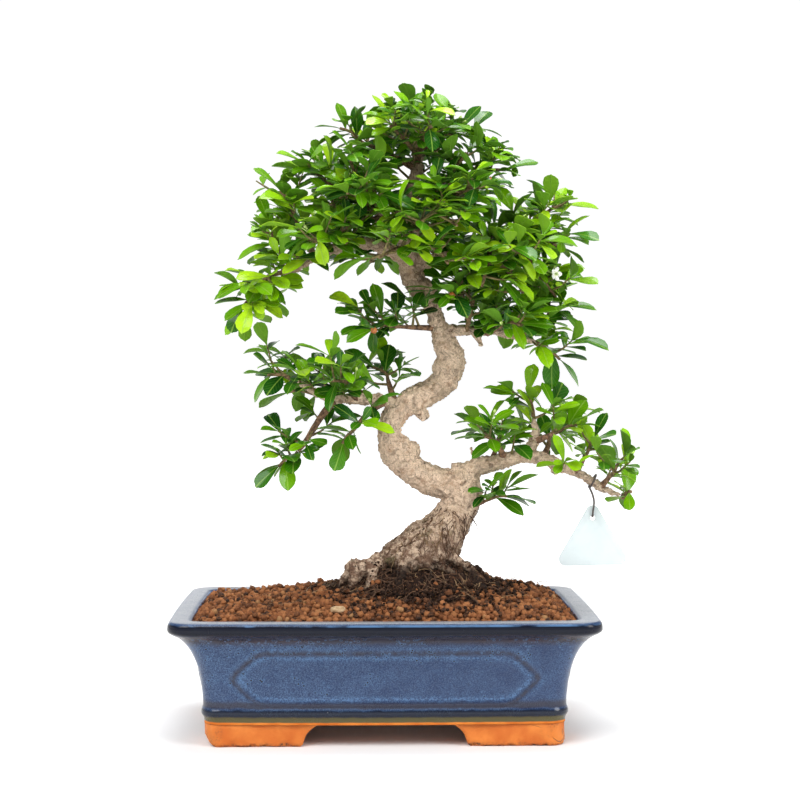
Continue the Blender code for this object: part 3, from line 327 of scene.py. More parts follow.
@dataclass(frozen=True)
class PotGlaze:
    """Mottled blue glaze over terracotta, brown where it runs thin, bare clay at its foot, with a painted
    highlight on the lip, painted sheen on the rim's top and painted shade on the underside.
    """

    deep: Colour = (0.014, 0.030, 0.085)
    light: Colour = (0.064, 0.121, 0.230)
    pool: Colour = (0.084, 0.175, 0.332)
    brown: Colour = (0.022, 0.017, 0.022)
    black: Colour = (0.003, 0.004, 0.010)
    olive: Colour = (0.095, 0.080, 0.026)
    flange_sheen: Colour = (0.370, 0.385, 0.410)
    clay: Colour = (0.520, 0.120, 0.014)
    chip: Colour = (0.60, 0.60, 0.58)
    bare: Colour = (0.640, 0.195, 0.030)
    hole: Colour = (0.004, 0.004, 0.007)
    underside_shade: tuple = (15.55 * MM, 15.9 * MM)
    glaze_edge: tuple = (17.0 * MM, 17.7 * MM)
    skirt: tuple = (20.2 * MM, 22.0 * MM)
    chipped: tuple = (21 * MM, 22 * MM, 25 * MM, 26 * MM)
    band: tuple = (25 * MM, 27 * MM)
    neck: tuple = (26 * MM, 28 * MM, 30 * MM, 33.5 * MM)
    pitted: tuple = (33 * MM, 37 * MM, 77 * MM, 79 * MM)
    pitted_most: tuple = (56 * MM, 66 * MM)
    pore_size: float = 3.1 * MM
    pore_hole: tuple = (0.17, 0.25)
    pore_ring: tuple = (0.20, 0.26, 0.32, 0.46)
    under_lip: tuple = (70 * MM, 77 * MM, 79 * MM, 81 * MM)
    lip_start: tuple = (78.6 * MM, 81 * MM)
    lip_end: tuple = (86.6 * MM, 88.2 * MM)
    glint: tuple = (86.2 * MM, 86.9 * MM, 87.5 * MM, 88.1 * MM)
    rim: tuple = (88.2 * MM, 88.8 * MM)

    def make(self) -> bpy.types.Material:
        """Build the material.

        Returns:
            The material.
        """
        b = Bench("pot_glaze")
        height = b.along("Z")
        speck = b.cloud(0.75 * MM, 3.0, 0.62).rise(0.42, 0.62)
        patch = b.cloud(14 * MM, 2.0).rise(0.32, 0.70)
        left = b.along("X").fall(-150 * MM, 60 * MM)
        body = b.blend(speck * (0.36 + 0.34 * patch + 0.3 * left), self.deep, self.light)
        pooled = b.mark("pool") * (0.12 + 0.58 * b.cloud(1.5 * MM, 2.0, 0.7).rise(0.42, 0.60))
        body = b.blend(pooled, body, self.pool)

        waver = (b.cloud(9 * MM, 2.0) - 0.5) * (2.4 * MM)
        level = height + waver
        crest = b.mark("crest") * (0.55 + 0.45 * b.cloud(4 * MM).rise(0.35, 0.6))
        under_lip = level.between(*self.under_lip)
        thin = (0.8 * crest).top(0.95 * under_lip).top(0.75 * level.between(*self.neck))
        body = b.blend(thin, body, self.brown)
        lip = level.rise(*self.lip_start) * height.fall(*self.lip_end)
        band = level.fall(*self.band)
        # painted highlight: a pale line along the lip's top edge, in the pool colour
        glint = height.between(*self.glint) * b.cloud(26 * MM, 3.0, 0.6).rise(0.40, 0.62)
        body = b.blend((0.98 * lip).top(0.88 * band), body, self.black)
        body = b.blend(0.8 * glint, body, self.pool)
        skirt = (height + 0.5 * waver).fall(*self.skirt)
        body = b.blend(0.9 * skirt, body, self.olive)

        # painted sheen: the rim's flat top is painted pale grey and speckled, standing in for its bright
        # reflection
        top = height.rise(*self.rim)
        body = b.blend(top * (0.55 + 0.4 * speck), body, self.flange_sheen)

        pore = b.cells(self.pore_size)
        upper = level.rise(*self.pitted_most)
        chosen = (b.cloud(17 * MM, 1.0) + 0.20 * upper + 0.08 * left).rise(0.64, 0.70)
        chosen = chosen * level.between(*self.pitted)
        hole = pore.fall(*self.pore_hole) * chosen
        ring = pore.between(*self.pore_ring) * chosen
        body = b.blend(0.40 * ring, body, self.pool)
        body = b.blend(hole, body, self.hole)

        chips = b.cells(7 * MM).fall(0.10, 0.15) * b.cloud(41 * MM, 1.0).rise(0.50, 0.56)
        body = b.blend(chips * height.between(*self.chipped), body, self.chip)

        edge = (height + 0.25 * waver).fall(*self.glaze_edge)
        inside = b.mark("inside")
        body = b.blend(edge, body, b.blend(b.cloud(13 * MM).rise(0.3, 0.7), self.bare, self.clay))
        # painted shade: the pot's underside is darkened towards brown
        body = b.blend(0.6 * height.fall(*self.underside_shade), body, self.brown)
        rough = 0.22 + 0.12 * patch + 0.10 * speck - 0.14 * lip - 0.12 * band
        rough = rough + edge * 0.6 + 0.1 * inside + 0.2 * top
        dents = b.cloud(2.2 * MM, 2.0) * 0.30 + b.cloud(11 * MM) - hole * 0.6
        coat = 0.4 * (1.0 - edge) * (1.0 - 0.7 * lip)
        return b.dress(Base_Color=body, Roughness=rough, Coat_Weight=coat,
                       Coat_Roughness=0.08, Specular_IOR_Level=0.16,
                       Normal=b.relief(dents, 0.5 * MM, 0.30))


@dataclass(frozen=True)
class Terracotta:
    """Bare orange clay with sooty, chipped edges and hairline cracks, and painted shade on the feet's inner
    faces under the pot.
    """

    clay: Colour = (0.52, 0.120, 0.014)
    pale: Colour = (0.68, 0.210, 0.034)
    soot_and_shade: Colour = (0.060, 0.028, 0.018)

    def make(self) -> bpy.types.Material:
        """Build the material.

        Returns:
            The material.
        """
        b = Bench("terracotta")
        mottle = b.cloud(19 * MM, 3.0, 0.5).rise(0.30, 0.72)
        colour = b.blend(mottle, self.clay, self.pale)
        grime = b.cloud(1.9 * MM, 4.0, 0.7).rise(0.46, 0.62)
        colour = b.blend(b.mark("edge") * (0.25 + 0.75 * grime), colour, self.soot_and_shade)
        # painted shade: the feet's inner faces, under the pot, are darkened
        colour = b.blend(0.6 * b.mark("inner"), colour, self.soot_and_shade)
        crack = b.cells(17 * MM, "DISTANCE_TO_EDGE").fall(0.002, 0.010)
        some = b.cloud(19 * MM, 1.0).rise(0.60, 0.66)
        colour = b.blend(0.8 * crack * some, colour, self.soot_and_shade)
        grain = 0.35 * b.cloud(0.8 * MM, 3.0, 0.6) + 2.4 * b.cloud(13 * MM, 2.0) - 0.8 * crack * some
        return b.dress(Base_Color=colour, Roughness=0.62 - 0.16 * mottle, Specular_IOR_Level=0.3,
                       Normal=b.relief(grain, 1.1 * MM, 0.6))


@dataclass(frozen=True)
class Granules:
    """Baked clay granules, mostly red-brown, some charcoal and some tan."""

    red: Colour = (0.195, 0.068, 0.025)
    rust: Colour = (0.320, 0.130, 0.050)
    brown: Colour = (0.075, 0.030, 0.015)
    char: Colour = (0.016, 0.013, 0.013)
    tan: Colour = (0.330, 0.190, 0.085)

    def make(self) -> bpy.types.Material:
        """Build the material.

        Returns:
            The material.
        """
        b = Bench("granules")
        tone = b.mark("tone")
        colour = b.ramp(tone, (0.0, self.char), (0.10, self.char), (0.14, self.brown),
                        (0.50, self.red), (0.88, self.rust), (0.97, self.rust), (1.0, self.tan))
        dust = b.cloud(1.1 * MM, 4.0, 0.7).rise(0.40, 0.66)
        colour = b.blend(0.45 * dust, colour, self.rust)
        crumb = b.cloud(0.7 * MM, 4.0, 0.65)
        return b.dress(Base_Color=colour, Roughness=0.95, Specular_IOR_Level=0.25,
                       Normal=b.relief(crumb, 0.5 * MM, 0.8))


@dataclass(frozen=True)
class Peat:
    """Dark crumbly peat."""

    dark: Colour = (0.008, 0.004, 0.003)
    brown: Colour = (0.045, 0.021, 0.012)
    fleck: Colour = (0.200, 0.085, 0.035)

    def make(self) -> bpy.types.Material:
        """Build the material.

        Returns:
            The material.
        """
        b = Bench("peat")
        lump = b.cloud(2.6 * MM, 5.0, 0.72).rise(0.38, 0.66)
        colour = b.blend(lump, self.dark, self.brown)
        fleck = b.cloud(1.2 * MM, 3.0, 0.6).rise(0.60, 0.68)
        colour = b.blend(0.8 * fleck, colour, self.fleck)
        crumb = b.cloud(1.6 * MM, 5.0, 0.7)
        return b.dress(Base_Color=colour, Roughness=0.97, Specular_IOR_Level=0.2,
                       Normal=b.relief(crumb, 1.2 * MM, 0.9))


@dataclass(frozen=True)
class Bark:
    """Pale tan bark with small dark pits, rough and earthy towards the foot, with painted shade darkening it
    inside the crown.
    """

    pale: Colour = (0.860, 0.665, 0.490)
    tan: Colour = (0.430, 0.280, 0.176)
    pit: Colour = (0.080, 0.042, 0.024)
    earth: Colour = (0.196, 0.112, 0.072)
    stain: Colour = (0.016, 0.008, 0.005)
    peaty: Colour = (0.070, 0.036, 0.020)
    rust: Colour = (0.430, 0.235, 0.125)
    moss: Colour = (0.085, 0.105, 0.028)
    soiled_up_to: tuple = (112 * MM, 127 * MM)
    crown_shade_from: tuple = (280 * MM, 315 * MM)
    knob: tuple = (-30 * MM, -16 * MM)
    pit_size: float = 2.6 * MM
    plate_size: float = 4.4 * MM

    def make(self) -> bpy.types.Material:
        """Build the material.

        Returns:
            The material.
        """
        b = Bench("bark")
        age = b.mark("age")
        mottle = b.cloud(9 * MM, 5.0, 0.72).rise(0.24, 0.52)
        colour = b.blend(mottle, self.tan, self.pale)
        colour = b.blend(0.5 * b.cloud(6 * MM, 3.0, 0.6).rise(0.54, 0.68), colour, self.rust)
        streak = b.cloud(1.4 * MM, 4.0, 0.7).rise(0.48, 0.60)
        colour = b.blend(0.50 * streak, colour, self.tan)
        # painted shade: the trunk is darkened towards tan above this height, inside the crown
        high = b.along("Z").rise(*self.crown_shade_from)
        colour = b.blend(0.55 * high, colour, self.tan)
        speck = b.cloud(0.9 * MM, 2.0, 0.6).rise(0.62, 0.70)
        colour = b.blend(0.6 * speck, colour, self.pit)
        pits = b.cells(self.pit_size).fall(0.08, 0.22) * b.cloud(8 * MM, 2.0).rise(0.47, 0.60)
        scar = b.mark("scar")
        colour = b.blend((0.75 * pits).top(0.85 * scar), colour, self.pit)
        worn = age * (0.26 + 0.70 * b.cloud(6 * MM, 5.0, 0.7).rise(0.41, 0.56))
        colour = b.blend(worn, colour, self.earth)
        green = age * b.cloud(12 * MM, 3.0, 0.6).rise(0.56, 0.68)
        colour = b.blend(0.62 * green, colour, self.moss)
        knob = b.along("X").fall(*self.knob)
        ragged = b.along("Z") + (b.cloud(7 * MM, 4.0, 0.7) - 0.5) * (26 * MM) + (14 * MM) * knob
        soiled = b.blend(b.cloud(2.2 * MM, 4.0, 0.7).rise(0.46, 0.66), self.stain, self.peaty)
        colour = b.blend(ragged.fall(*self.soiled_up_to), colour, soiled)
        plates = b.cells(self.plate_size, "DISTANCE_TO_EDGE")
        cracks = plates.fall(0.015, 0.11) * b.cloud(9 * MM, 3.0, 0.6).rise(0.46, 0.58)
        colour = b.blend(0.28 * cracks, colour, self.pit)
        grain = b.cloud(1.1 * MM, 5.0, 0.70) + 0.9 * b.cloud(3.2 * MM, 3.0) - 1.2 * pits
        grain = grain - 0.5 * cracks - 0.5 * speck
        return b.dress(Base_Color=colour, Roughness=0.9, Specular_IOR_Level=0.3,
                       Normal=b.relief(grain, 1.8 * MM, 1.0))


@dataclass(frozen=True)
class TwigBark:
    """Brown, rough twig bark with a green cast on the youngest wood."""

    brown: Colour = (0.270, 0.150, 0.085)
    dark: Colour = (0.070, 0.038, 0.022)
    green: Colour = (0.150, 0.230, 0.040)

    def make(self) -> bpy.types.Material:
        """Build the material.

        Returns:
            The material.
        """
        b = Bench("twig_bark")
        colour = b.blend(b.cloud(2.4 * MM, 4.0, 0.65).rise(0.36, 0.64), self.brown, self.dark)
        colour = b.blend(b.mark("young"), colour, self.green)
        return b.dress(Base_Color=colour, Roughness=0.82, Specular_IOR_Level=0.35,
                       Normal=b.relief(b.cloud(0.9 * MM, 3.0), 0.35 * MM, 0.7))


@dataclass(frozen=True)
class LeafSkin:
    """Glossy leaf skin, from dark old leaves to bright young ones, with a pale midrib."""

    old: Colour = (0.004, 0.048, 0.005)
    grown: Colour = (0.030, 0.145, 0.001)
    young: Colour = (0.175, 0.410, 0.001)
    fresh: Colour = (0.370, 0.620, 0.012)
    vein: Colour = (0.260, 0.420, 0.060)
    under: Colour = (0.120, 0.260, 0.025)

    def make(self) -> bpy.types.Material:
        """Build the material.

        Returns:
            The material.
        """
        b = Bench("leaf_skin")
        tone = b.mark("tone")
        colour = b.ramp(tone, (0.0, self.old), (0.36, self.grown), (0.74, self.young), (1.0, self.fresh))
        blade = b.node("ShaderNodeUVMap", {"uv_map": "blade"}).outputs["UV"]
        across = abs(b.along("X", blade) - 0.5)
        along = b.along("Y", blade)
        midrib = across.fall(0.012, 0.055)
        phase = (along * 7.0 - across * 5.0).repeat()
        side_vein = abs(phase - 0.5).fall(0.03, 0.16) * across.fall(0.30, 0.46)
        mottle = b.cloud(7 * MM, 2.0).rise(0.3, 0.7)
        colour = b.blend(0.25 * mottle, colour, self.grown)
        colour = b.blend((0.55 * midrib).top(0.12 * side_vein), colour, self.vein)
        colour = b.blend(0.75 * b.mark("under"), colour, self.under)
        rib = 0.0 - 0.5 * side_vein - 0.9 * midrib + 0.35 * b.cloud(1.6 * MM, 2.0)
        rough = 0.30 + 0.10 * mottle + 0.26 * b.mark("under")
        gloss = 0.62 - 0.5 * b.mark("under")
        return b.dress(Base_Color=colour, Roughness=rough, Specular_IOR_Level=0.06,
                       Coat_Weight=gloss, Coat_Roughness=0.13, Coat_IOR=1.36,
                       Normal=b.relief(rib, 0.35 * MM, 0.55))


@dataclass(frozen=True)
class Petal:
    """Soft white petal with a faint green heart."""

    white: Colour = (0.90, 0.90, 0.86)
    heart: Colour = (0.62, 0.68, 0.30)

    def make(self) -> bpy.types.Material:
        """Build the material.

        Returns:
            The material.
        """
        b = Bench("petal")
        colour = b.blend(b.mark("heart"), self.white, self.heart)
        return b.dress(Base_Color=colour, Roughness=0.5,
                       Normal=b.relief(b.cloud(0.9 * MM), 0.15 * MM, 0.4))


@dataclass(frozen=True)
class PlainMatter:
    """A finish of two near colours in soft patches, with a fine grain."""

    name: str
    first: Colour
    second: Colour
    patch: float
    grain: float
    depth: float
    roughness: float

    def make(self) -> bpy.types.Material:
        """Build the material.

        Returns:
            The material.
        """
        b = Bench(self.name)
        colour = b.blend(b.cloud(self.patch, 4.0, 0.6).rise(0.35, 0.65), self.first, self.second)
        rough = self.roughness + 0.08 * b.cloud(2.0 * self.patch)
        return b.dress(Base_Color=colour, Roughness=rough,
                       Normal=b.relief(b.cloud(self.grain, 3.0), self.depth, 0.5))


STONE_CHIP = PlainMatter("stone_chip", (0.60, 0.44, 0.26), (0.36, 0.23, 0.12), 3 * MM, 0.8 * MM,
                         0.5 * MM, 0.85)
TAG_CARD = PlainMatter("tag_card", (0.570, 0.635, 0.645), (0.540, 0.605, 0.615), 12 * MM, 0.5 * MM,
                       0.05 * MM, 0.42)
COATED_WIRE = PlainMatter("coated_wire", (0.045, 0.034, 0.032), (0.085, 0.065, 0.055), 2 * MM, 0.6 * MM,
                          0.1 * MM, 0.4)
BLACK_SCREEN = PlainMatter("black_screen", (0.018, 0.018, 0.019), (0.030, 0.030, 0.031), 5 * MM, 0.7 * MM,
                           0.1 * MM, 0.5)
PALE_ROOT = PlainMatter("pale_root", (0.36, 0.23, 0.12), (0.17, 0.10, 0.05), 3 * MM, 0.7 * MM,
                        0.2 * MM, 0.85)
DARK_ROOT = PlainMatter("dark_root", (0.130, 0.062, 0.030), (0.050, 0.025, 0.014), 3 * MM, 0.7 * MM,
                        0.2 * MM, 0.9)
BERRY_SKIN = PlainMatter("berry_skin", (0.52, 0.17, 0.035), (0.33, 0.09, 0.02), 1.5 * MM, 0.6 * MM,
                         0.08 * MM, 0.35)
BUD_SKIN = PlainMatter("bud_skin", (0.36, 0.52, 0.10), (0.50, 0.62, 0.22), 1.2 * MM, 0.5 * MM,
                       0.08 * MM, 0.45)


# Modelling helpers

def mm(point: Sequence[float]) -> Vector:
    """The point given in millimetres, as a vector in metres."""
    return Vector(point) * MM


def only(piece: bpy.types.Object) -> None:
    """Select this piece alone and make it active.

    Args:
        piece: the object to select.
    """
    bpy.ops.object.select_all(action="DESELECT")
    piece.select_set(True)
    bpy.context.view_layer.objects.active = piece


def apply_all(piece: bpy.types.Object) -> None:
    """Apply the piece's modifiers in order.

    Args:
        piece: the mesh object that has the modifiers.
    """
    only(piece)
    for modifier in list(piece.modifiers):
        bpy.ops.object.modifier_apply(modifier=modifier.name)


def join(target: bpy.types.Object, others: Sequence[bpy.types.Object]) -> None:
    """Join other meshes into the target's.

    Args:
        target: the mesh object that takes the others in.
        others: the ones that go into it.
    """
    only(target)
    for other in others:
        other.select_set(True)
    bpy.ops.object.join()


def new_mesh(name: str, points: Sequence, faces: Sequence,
             finishes: Sequence[bpy.types.Material] = ()) -> bpy.types.Object:
    """A mesh object in the scene.

    Args:
        name: the piece's name.
        points: its corners, in metres.
        faces: corner numbers of each face.
        finishes: its materials, in slot order.

    Returns:
        The object, shaded smooth.
    """
    mesh = bpy.data.meshes.new(name)
    mesh.from_pydata(points, [], faces)
    mesh.shade_smooth()
    for finish in finishes:
        mesh.materials.append(finish)
    piece = bpy.data.objects.new(name, mesh)
    bpy.context.scene.collection.objects.link(piece)
    return piece


def coat(piece: bpy.types.Object, finish: bpy.types.Material) -> None:
    """Give the piece this material alone."""
    piece.data.materials.clear()
    piece.data.materials.append(finish)


def label(piece: bpy.types.Object, name: str) -> None:
    """Name the piece and its mesh."""
    piece.name = piece.data.name = name


def settle(piece: bpy.types.Object) -> None:
    """Turn the piece's own place, turn and size into those of its points."""
    only(piece)
    bpy.ops.object.transform_apply(location=True, rotation=True, scale=True)


def surface(piece: bpy.types.Object) -> list[tuple[Vector, Vector]]:
    """Each point of the piece with its normal, read before any of them moves."""
    return [(vertex.co.copy(), vertex.normal.copy()) for vertex in piece.data.vertices]


def put_points(piece: bpy.types.Object, points: Sequence) -> None:
    """Move all points of the piece to new places."""
    piece.data.vertices.foreach_set("co", np.array(points, dtype=np.float32).ravel())
    piece.data.update()


def set_mark(piece: bpy.types.Object, name: str, values: Sequence[float] | float) -> None:
    """Give each point of the piece a number of its own, or all of them one, for the finish to read."""
    mark = piece.data.attributes.new(name, "FLOAT", "POINT")
    mark.data.foreach_set("value", np.resize(np.asarray(values, dtype=np.float32), len(mark.data)))


def curve_mesh(name: str, runs: Sequence[Run], sides: int,
               finish: bpy.types.Material | None = None) -> bpy.types.Object:
    """Round bars along runs of centres and radii, as one mesh with closed ends.

    Args:
        name: the piece's name.
        runs: the centres and radii of each bar.
        sides: 4, 6, 8, 10 or 12 sides round a bar.
        finish: the bars' material.

    Returns:
        The mesh object.
    """
    curve = bpy.data.curves.new(name, "CURVE")
    curve.dimensions = "3D"
    curve.bevel_depth = 1.0
    curve.bevel_resolution = sides // 2 - 2
    curve.use_fill_caps = True
    for centres, radii in runs:
        spline = curve.splines.new("POLY")
        spline.points.add(len(centres) - 1)
        for point, centre, radius in zip(spline.points, centres, radii):
            point.co = (*centre, 1.0)
            point.radius = radius
    piece = bpy.data.objects.new(name, curve)
    bpy.context.scene.collection.objects.link(piece)
    only(piece)
    bpy.ops.object.convert(target="MESH")
    piece = bpy.context.view_layer.objects.active
    piece.data.shade_smooth()
    if finish:
        coat(piece, finish)
    return piece


def curve_through(points: Sequence[tuple], step: float) -> list[tuple]:
    """A smooth run through points that may carry a radius, about one step apart.

    Args:
        points: rows of coordinates, each with a radius or without.
        step: about how far apart the run's points are.

    Returns:
        The run's rows.
    """
    count = len(points)
    if count == 2:
        return [points[0], points[1]]
    result = []
    for i in range(count - 1):
        before = points[max(i - 1, 0)]
        start, end = points[i], points[i + 1]
        after = points[min(i + 2, count - 1)]
        span = (Vector(end[:3]) - Vector(start[:3])).length
        pieces = max(1, round(span / step))
        for k in range(pieces):
            t = k / pieces
            result.append(tuple(
                0.5 * (2 * b + (c - a) * t + (2 * a - 5 * b + 4 * c - d) * t * t
                       + (3 * b - a - 3 * c + d) * t ** 3)
                for a, b, c, d in zip(before, start, end, after)))
    result.append(tuple(points[-1]))
    return result


def smooth_run(rows: Sequence[tuple], step: float) -> Run:
    """The centres and radii of a smooth run through rows that hold both, in metres."""
    run = curve_through(rows, step)
    return [Vector(row[:3]) for row in run], [row[3] for row in run]


def in_metres(rows: Sequence[tuple]) -> list[tuple]:
    """Rows of millimetres as rows of metres."""
    return [tuple(value * MM for value in row) for row in rows]


def loft(name: str, loops: Sequence, finishes: Sequence[bpy.types.Material] = ()) -> bpy.types.Object:
    """A closed skin over loops of as many points each.

    Args:
        name: the piece's name.
        loops: the loops in order, the first and the last one filled.
        finishes: its materials, in slot order.

    Returns:
        The mesh object.
    """
    count = len(loops[0])
    last = (len(loops) - 1) * count
    faces = [(low + k, low + (k + 1) % count, low + count + (k + 1) % count, low + count + k)
             for low in range(0, last, count) for k in range(count)]
    faces.append(tuple(range(count))[::-1])
    faces.append(tuple(range(last, last + count)))
    return new_mesh(name, np.concatenate([np.array(loop) for loop in loops]).tolist(), faces, finishes)


def fan(first: Vector, second: Vector, turn: float) -> Vector:
    """The direction that is turned from the first one towards the second."""
    return first * math.cos(turn) + second * math.sin(turn)


def voxels(piece: bpy.types.Object, name: str, size: float) -> None:
    """Ask for the piece to be meshed again in even faces of a size.

    Args:
        piece: the mesh object.
        name: the modifier's name.
        size: the size of the faces, in metres.
    """
    remesh = piece.modifiers.new(name, "REMESH")
    remesh.mode = "VOXEL"
    remesh.voxel_size = size
    remesh.use_smooth_shade = True


def cut_out(piece: bpy.types.Object, name: str, solver: str) -> None:
    """Ask for the active object, a bar, to be cut out of the piece.

    Args:
        piece: the mesh object that is cut.
        name: the modifier's name.
        solver: the way that the cut is worked out.
    """
    cut = piece.modifiers.new(name, "BOOLEAN")
    cut.operation = "DIFFERENCE"
    cut.solver = solver
    cut.object = bpy.context.object


def ease(value: float, low: float, high: float) -> float:
    """A smooth step of a number from 0 at the low value to 1 at the high one."""
    share = min(1.0, max(0.0, (value - low) / (high - low)))
    return share * share * (3.0 - 2.0 * share)


@dataclass
class Workshop:
    """Moves finished pieces to the pot's place in the frame and reports them."""

    shift: Vector

    def hand_over(self, piece: bpy.types.Object, slot: Slot | None, *nodes: str) -> None:
        """Put a piece in its place, on the one body.

        Args:
            piece: the finished piece, drawn round the pot's plan centre.
            slot: the record's slot for its finish; not used.
            nodes: the solids that it stands for.
        """
        piece.data.transform(Matrix.Translation(self.shift))
        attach(piece, BODY)
        if nodes:
            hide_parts(*nodes)
        log.info("%s: %d faces", piece.name, len(piece.data.polygons))


# Pot

@dataclass
class GlazedPot:
    """The fired pot: flared walls with a raised frame on each side, a thick lip and four feet."""

    length: float = 300.0 * MM
    depth: float = 205.0 * MM
    side_bow: float = 3.0 * MM
    end_bow: float = 1.5 * MM
    corner_cuts: int = 7
    side_cuts: int = 168
    end_cuts: int = 96
    row_step: float = 1.25 * MM
    outer_wall: tuple = ((23.4, 15.5, 12), (23.3, 17.6, 12), (22.8, 20.0, 12), (21.5, 22.6, 12),
                         (21.6, 25.2, 12), (22.5, 27.6, 12), (22.3, 35.0, 12), (20.7, 48.0, 12),
                         (17.6, 60.0, 12), (13.2, 69.5, 12), (7.8, 76.2, 12), (2.2, 79.9, 13.5),
                         (0.3, 81.8, 14), (0.0, 84.0, 14), (0.4, 86.6, 14), (1.6, 88.3, 13.5),
                         (4.2, 89.0, 12.5))
    inner_wall: tuple = ((12.5, 88.8, 10), (14.6, 88.3, 9), (15.9, 86.8, 8), (18.5, 78.0, 8),
                         (27.0, 56.0, 8), (31.5, 24.0, 8))
    frame_heights: tuple = (66.4, 48.0, 30.0)
    front_frame: tuple = (87.5, 106.5, 88.0)
    end_frame: tuple = (42.0, 60.0, 42.0)
    frame_round: float = 0.5
    frame_top: float = 76 * MM
    bead_height: float = 1.4 * MM
    bead_width: float = 1.7
    hollow_gap: float = 3.4
    hollow_widths: tuple = (1.7, 1.6)
    inner_step: float = 4 * MM
    drain_offset: float = 60.0 * MM
    drain_radius: float = 9.0 * MM
    floor_underside: float = 15.5 * MM
    floor_top: float = 24.0 * MM
    foot_levels: tuple = ((0.0, 68.0, 40.0, 22.0), (8.5, 70.5, 42.5, 23.0), (13.0, 75.0, 47.0, 25.0),
                          (17.0, 81.0, 52.0, 28.0))
    foot_inset: float = 23.3 * MM
    foot_corner: float = 12.0 * MM
    foot_cuts: int = 6
    foot_step: float = 4 * MM
    foot_edge: float = 1.1 * MM
    foot_voxel: float = 1.4 * MM
    broken_corner: float = 8.0 * MM
    worn_corner: float = 2.4 * MM
    chip_reach: tuple = (2.2 * MM, 2.6 * MM)
    chip_depth: float = 6.0
    soot_height: float = 1.9 * MM
    soot_corner: float = 13 * MM

    def halves(self, inset: float) -> tuple[float, float]:
        """Half the pot's length and depth at its corners, less an inset."""
        return self.length / 2 - self.end_bow - inset, self.depth / 2 - self.side_bow - inset

    def plan(self, inset: float, corner: float) -> np.ndarray:
        """One loop of the plan, anticlockwise from the corner at +X +Y.

        Args:
            inset: how far it stands in from the rim's outline.
            corner: its corner radius.

        Returns:
            The loop's points, one row each.
        """
        half_x, half_y = self.halves(inset)
        corners = ((1, 1, 0), (-1, 1, 90), (-1, -1, 180), (1, -1, 270))
        points = []
        for index, (sign_x, sign_y, start) in enumerate(corners):
            centre = np.array((sign_x * (half_x - corner), sign_y * (half_y - corner)))
            turns = np.radians(start + np.linspace(0.0, 90.0, self.corner_cuts + 1))
            points.extend(centre + corner * np.stack((np.cos(turns), np.sin(turns)), axis=1))
            next_x, next_y, turn = corners[(index + 1) % 4]
            turn = math.radians(turn)
            end = np.array((next_x * (half_x - corner) + corner * math.cos(turn),
                            next_y * (half_y - corner) + corner * math.sin(turn)))
            cuts = self.side_cuts if index in (0, 2) else self.end_cuts
            last = points[-1]
            points.extend(last + (end - last) * step / cuts for step in range(1, cuts))
        loop = np.array(points)
        share_x = 1.0 + self.end_bow / half_x * (1.0 - (loop[:, 1] / half_y) ** 2)
        share_y = 1.0 + self.side_bow / half_y * (1.0 - (loop[:, 0] / half_x) ** 2)
        return loop * np.stack((share_x, share_y), axis=1)

    def frame_distance(self, across: np.ndarray, height: float, widths: tuple) -> np.ndarray:
        """How far outside a raised frame's middle line the points lie, in mm.

        Args:
            across: distances from the wall's middle, in mm.
            height: the points' height, in mm.
            widths: the frame's half widths at its top, middle and bottom.

        Returns:
            The distances, below 0 inside the frame.
        """
        top, middle, bottom = widths
        high, mid, low = self.frame_heights
        out = np.abs(across)
        upper = math.hypot(high - mid, middle - top)
        lower = math.hypot(mid - low, middle - bottom)
        sides = np.stack((
            np.full_like(out, height - high), np.full_like(out, low - height),
            ((out - top) * (high - mid) + (height - high) * (middle - top)) / upper,
            ((out - middle) * (mid - low) - (height - mid) * (middle - bottom)) / lower))
        return np.log(np.exp(sides * self.frame_round).sum(axis=0)) / self.frame_round

    def walls(self, glaze: bpy.types.Material) -> bpy.types.Object:
        """The pot's body as one closed wall, its frames raised in its own surface.

        Args:
            glaze: the pot's material.

        Returns:
            The pot's body.
        """
        outer = curve_through(in_metres(self.outer_wall), self.row_step)
        inner = curve_through(in_metres(self.inner_wall), self.inner_step)
        points, crest, pool, inside = [], [], [], []
        for index, (inset, height, corner) in enumerate(outer + inner):
            loop = self.plan(inset, corner)
            is_outer = index < len(outer)
            bead = np.zeros(len(loop))
            hollow = np.zeros(len(loop))
            if is_outer and height < self.frame_top:
                steep = np.abs(loop[:, 1]) > self.depth / 2 - inset - self.side_bow - 1.5 * MM
                front = self.frame_distance(loop[:, 0] / MM, height / MM, self.front_frame)
                ends = self.frame_distance(loop[:, 1] / MM, height / MM, self.end_frame)
                away = np.where(steep, front, ends)
                bead = np.exp(-(away / self.bead_width) ** 2)
                within, beyond = self.hollow_widths
                hollow = (np.exp(-((away + self.hollow_gap) / within) ** 2)
                          + 0.4 * np.exp(-((away - self.hollow_gap) / beyond) ** 2))
                outward = np.where(steep[:, None], np.sign(loop) * (0, 1), np.sign(loop) * (1, 0))
                loop = loop + outward * (bead * self.bead_height)[:, None]
            points.append(np.column_stack((loop, np.full(len(loop), height))))
            crest.append(bead)
            pool.append(hollow)
            inside.append(np.full(len(loop), 0.0 if is_outer else 1.0))
        pot = loft("glazed_pot", points, [glaze])
        set_mark(pot, "crest", np.concatenate(crest))
        set_mark(pot, "pool", np.concatenate(pool))
        set_mark(pot, "inside", np.concatenate(inside))
        self.drill(pot)
        return pot

    def drill(self, pot: bpy.types.Object) -> None:
        """Cut the two drain holes through the floor.

        Args:
            pot: the pot's body.
        """
        for sign in (-1, 1):
            bpy.ops.mesh.primitive_cylinder_add(
                vertices=32, radius=self.drain_radius, depth=4 * (self.floor_top - self.floor_underside),
                location=(sign * self.drain_offset, 0.0, (self.floor_top + self.floor_underside) / 2))
            cutter = bpy.context.object
            cut_out(pot, "drain", "MANIFOLD")
            apply_all(pot)
            bpy.data.objects.remove(cutter, do_unlink=True)

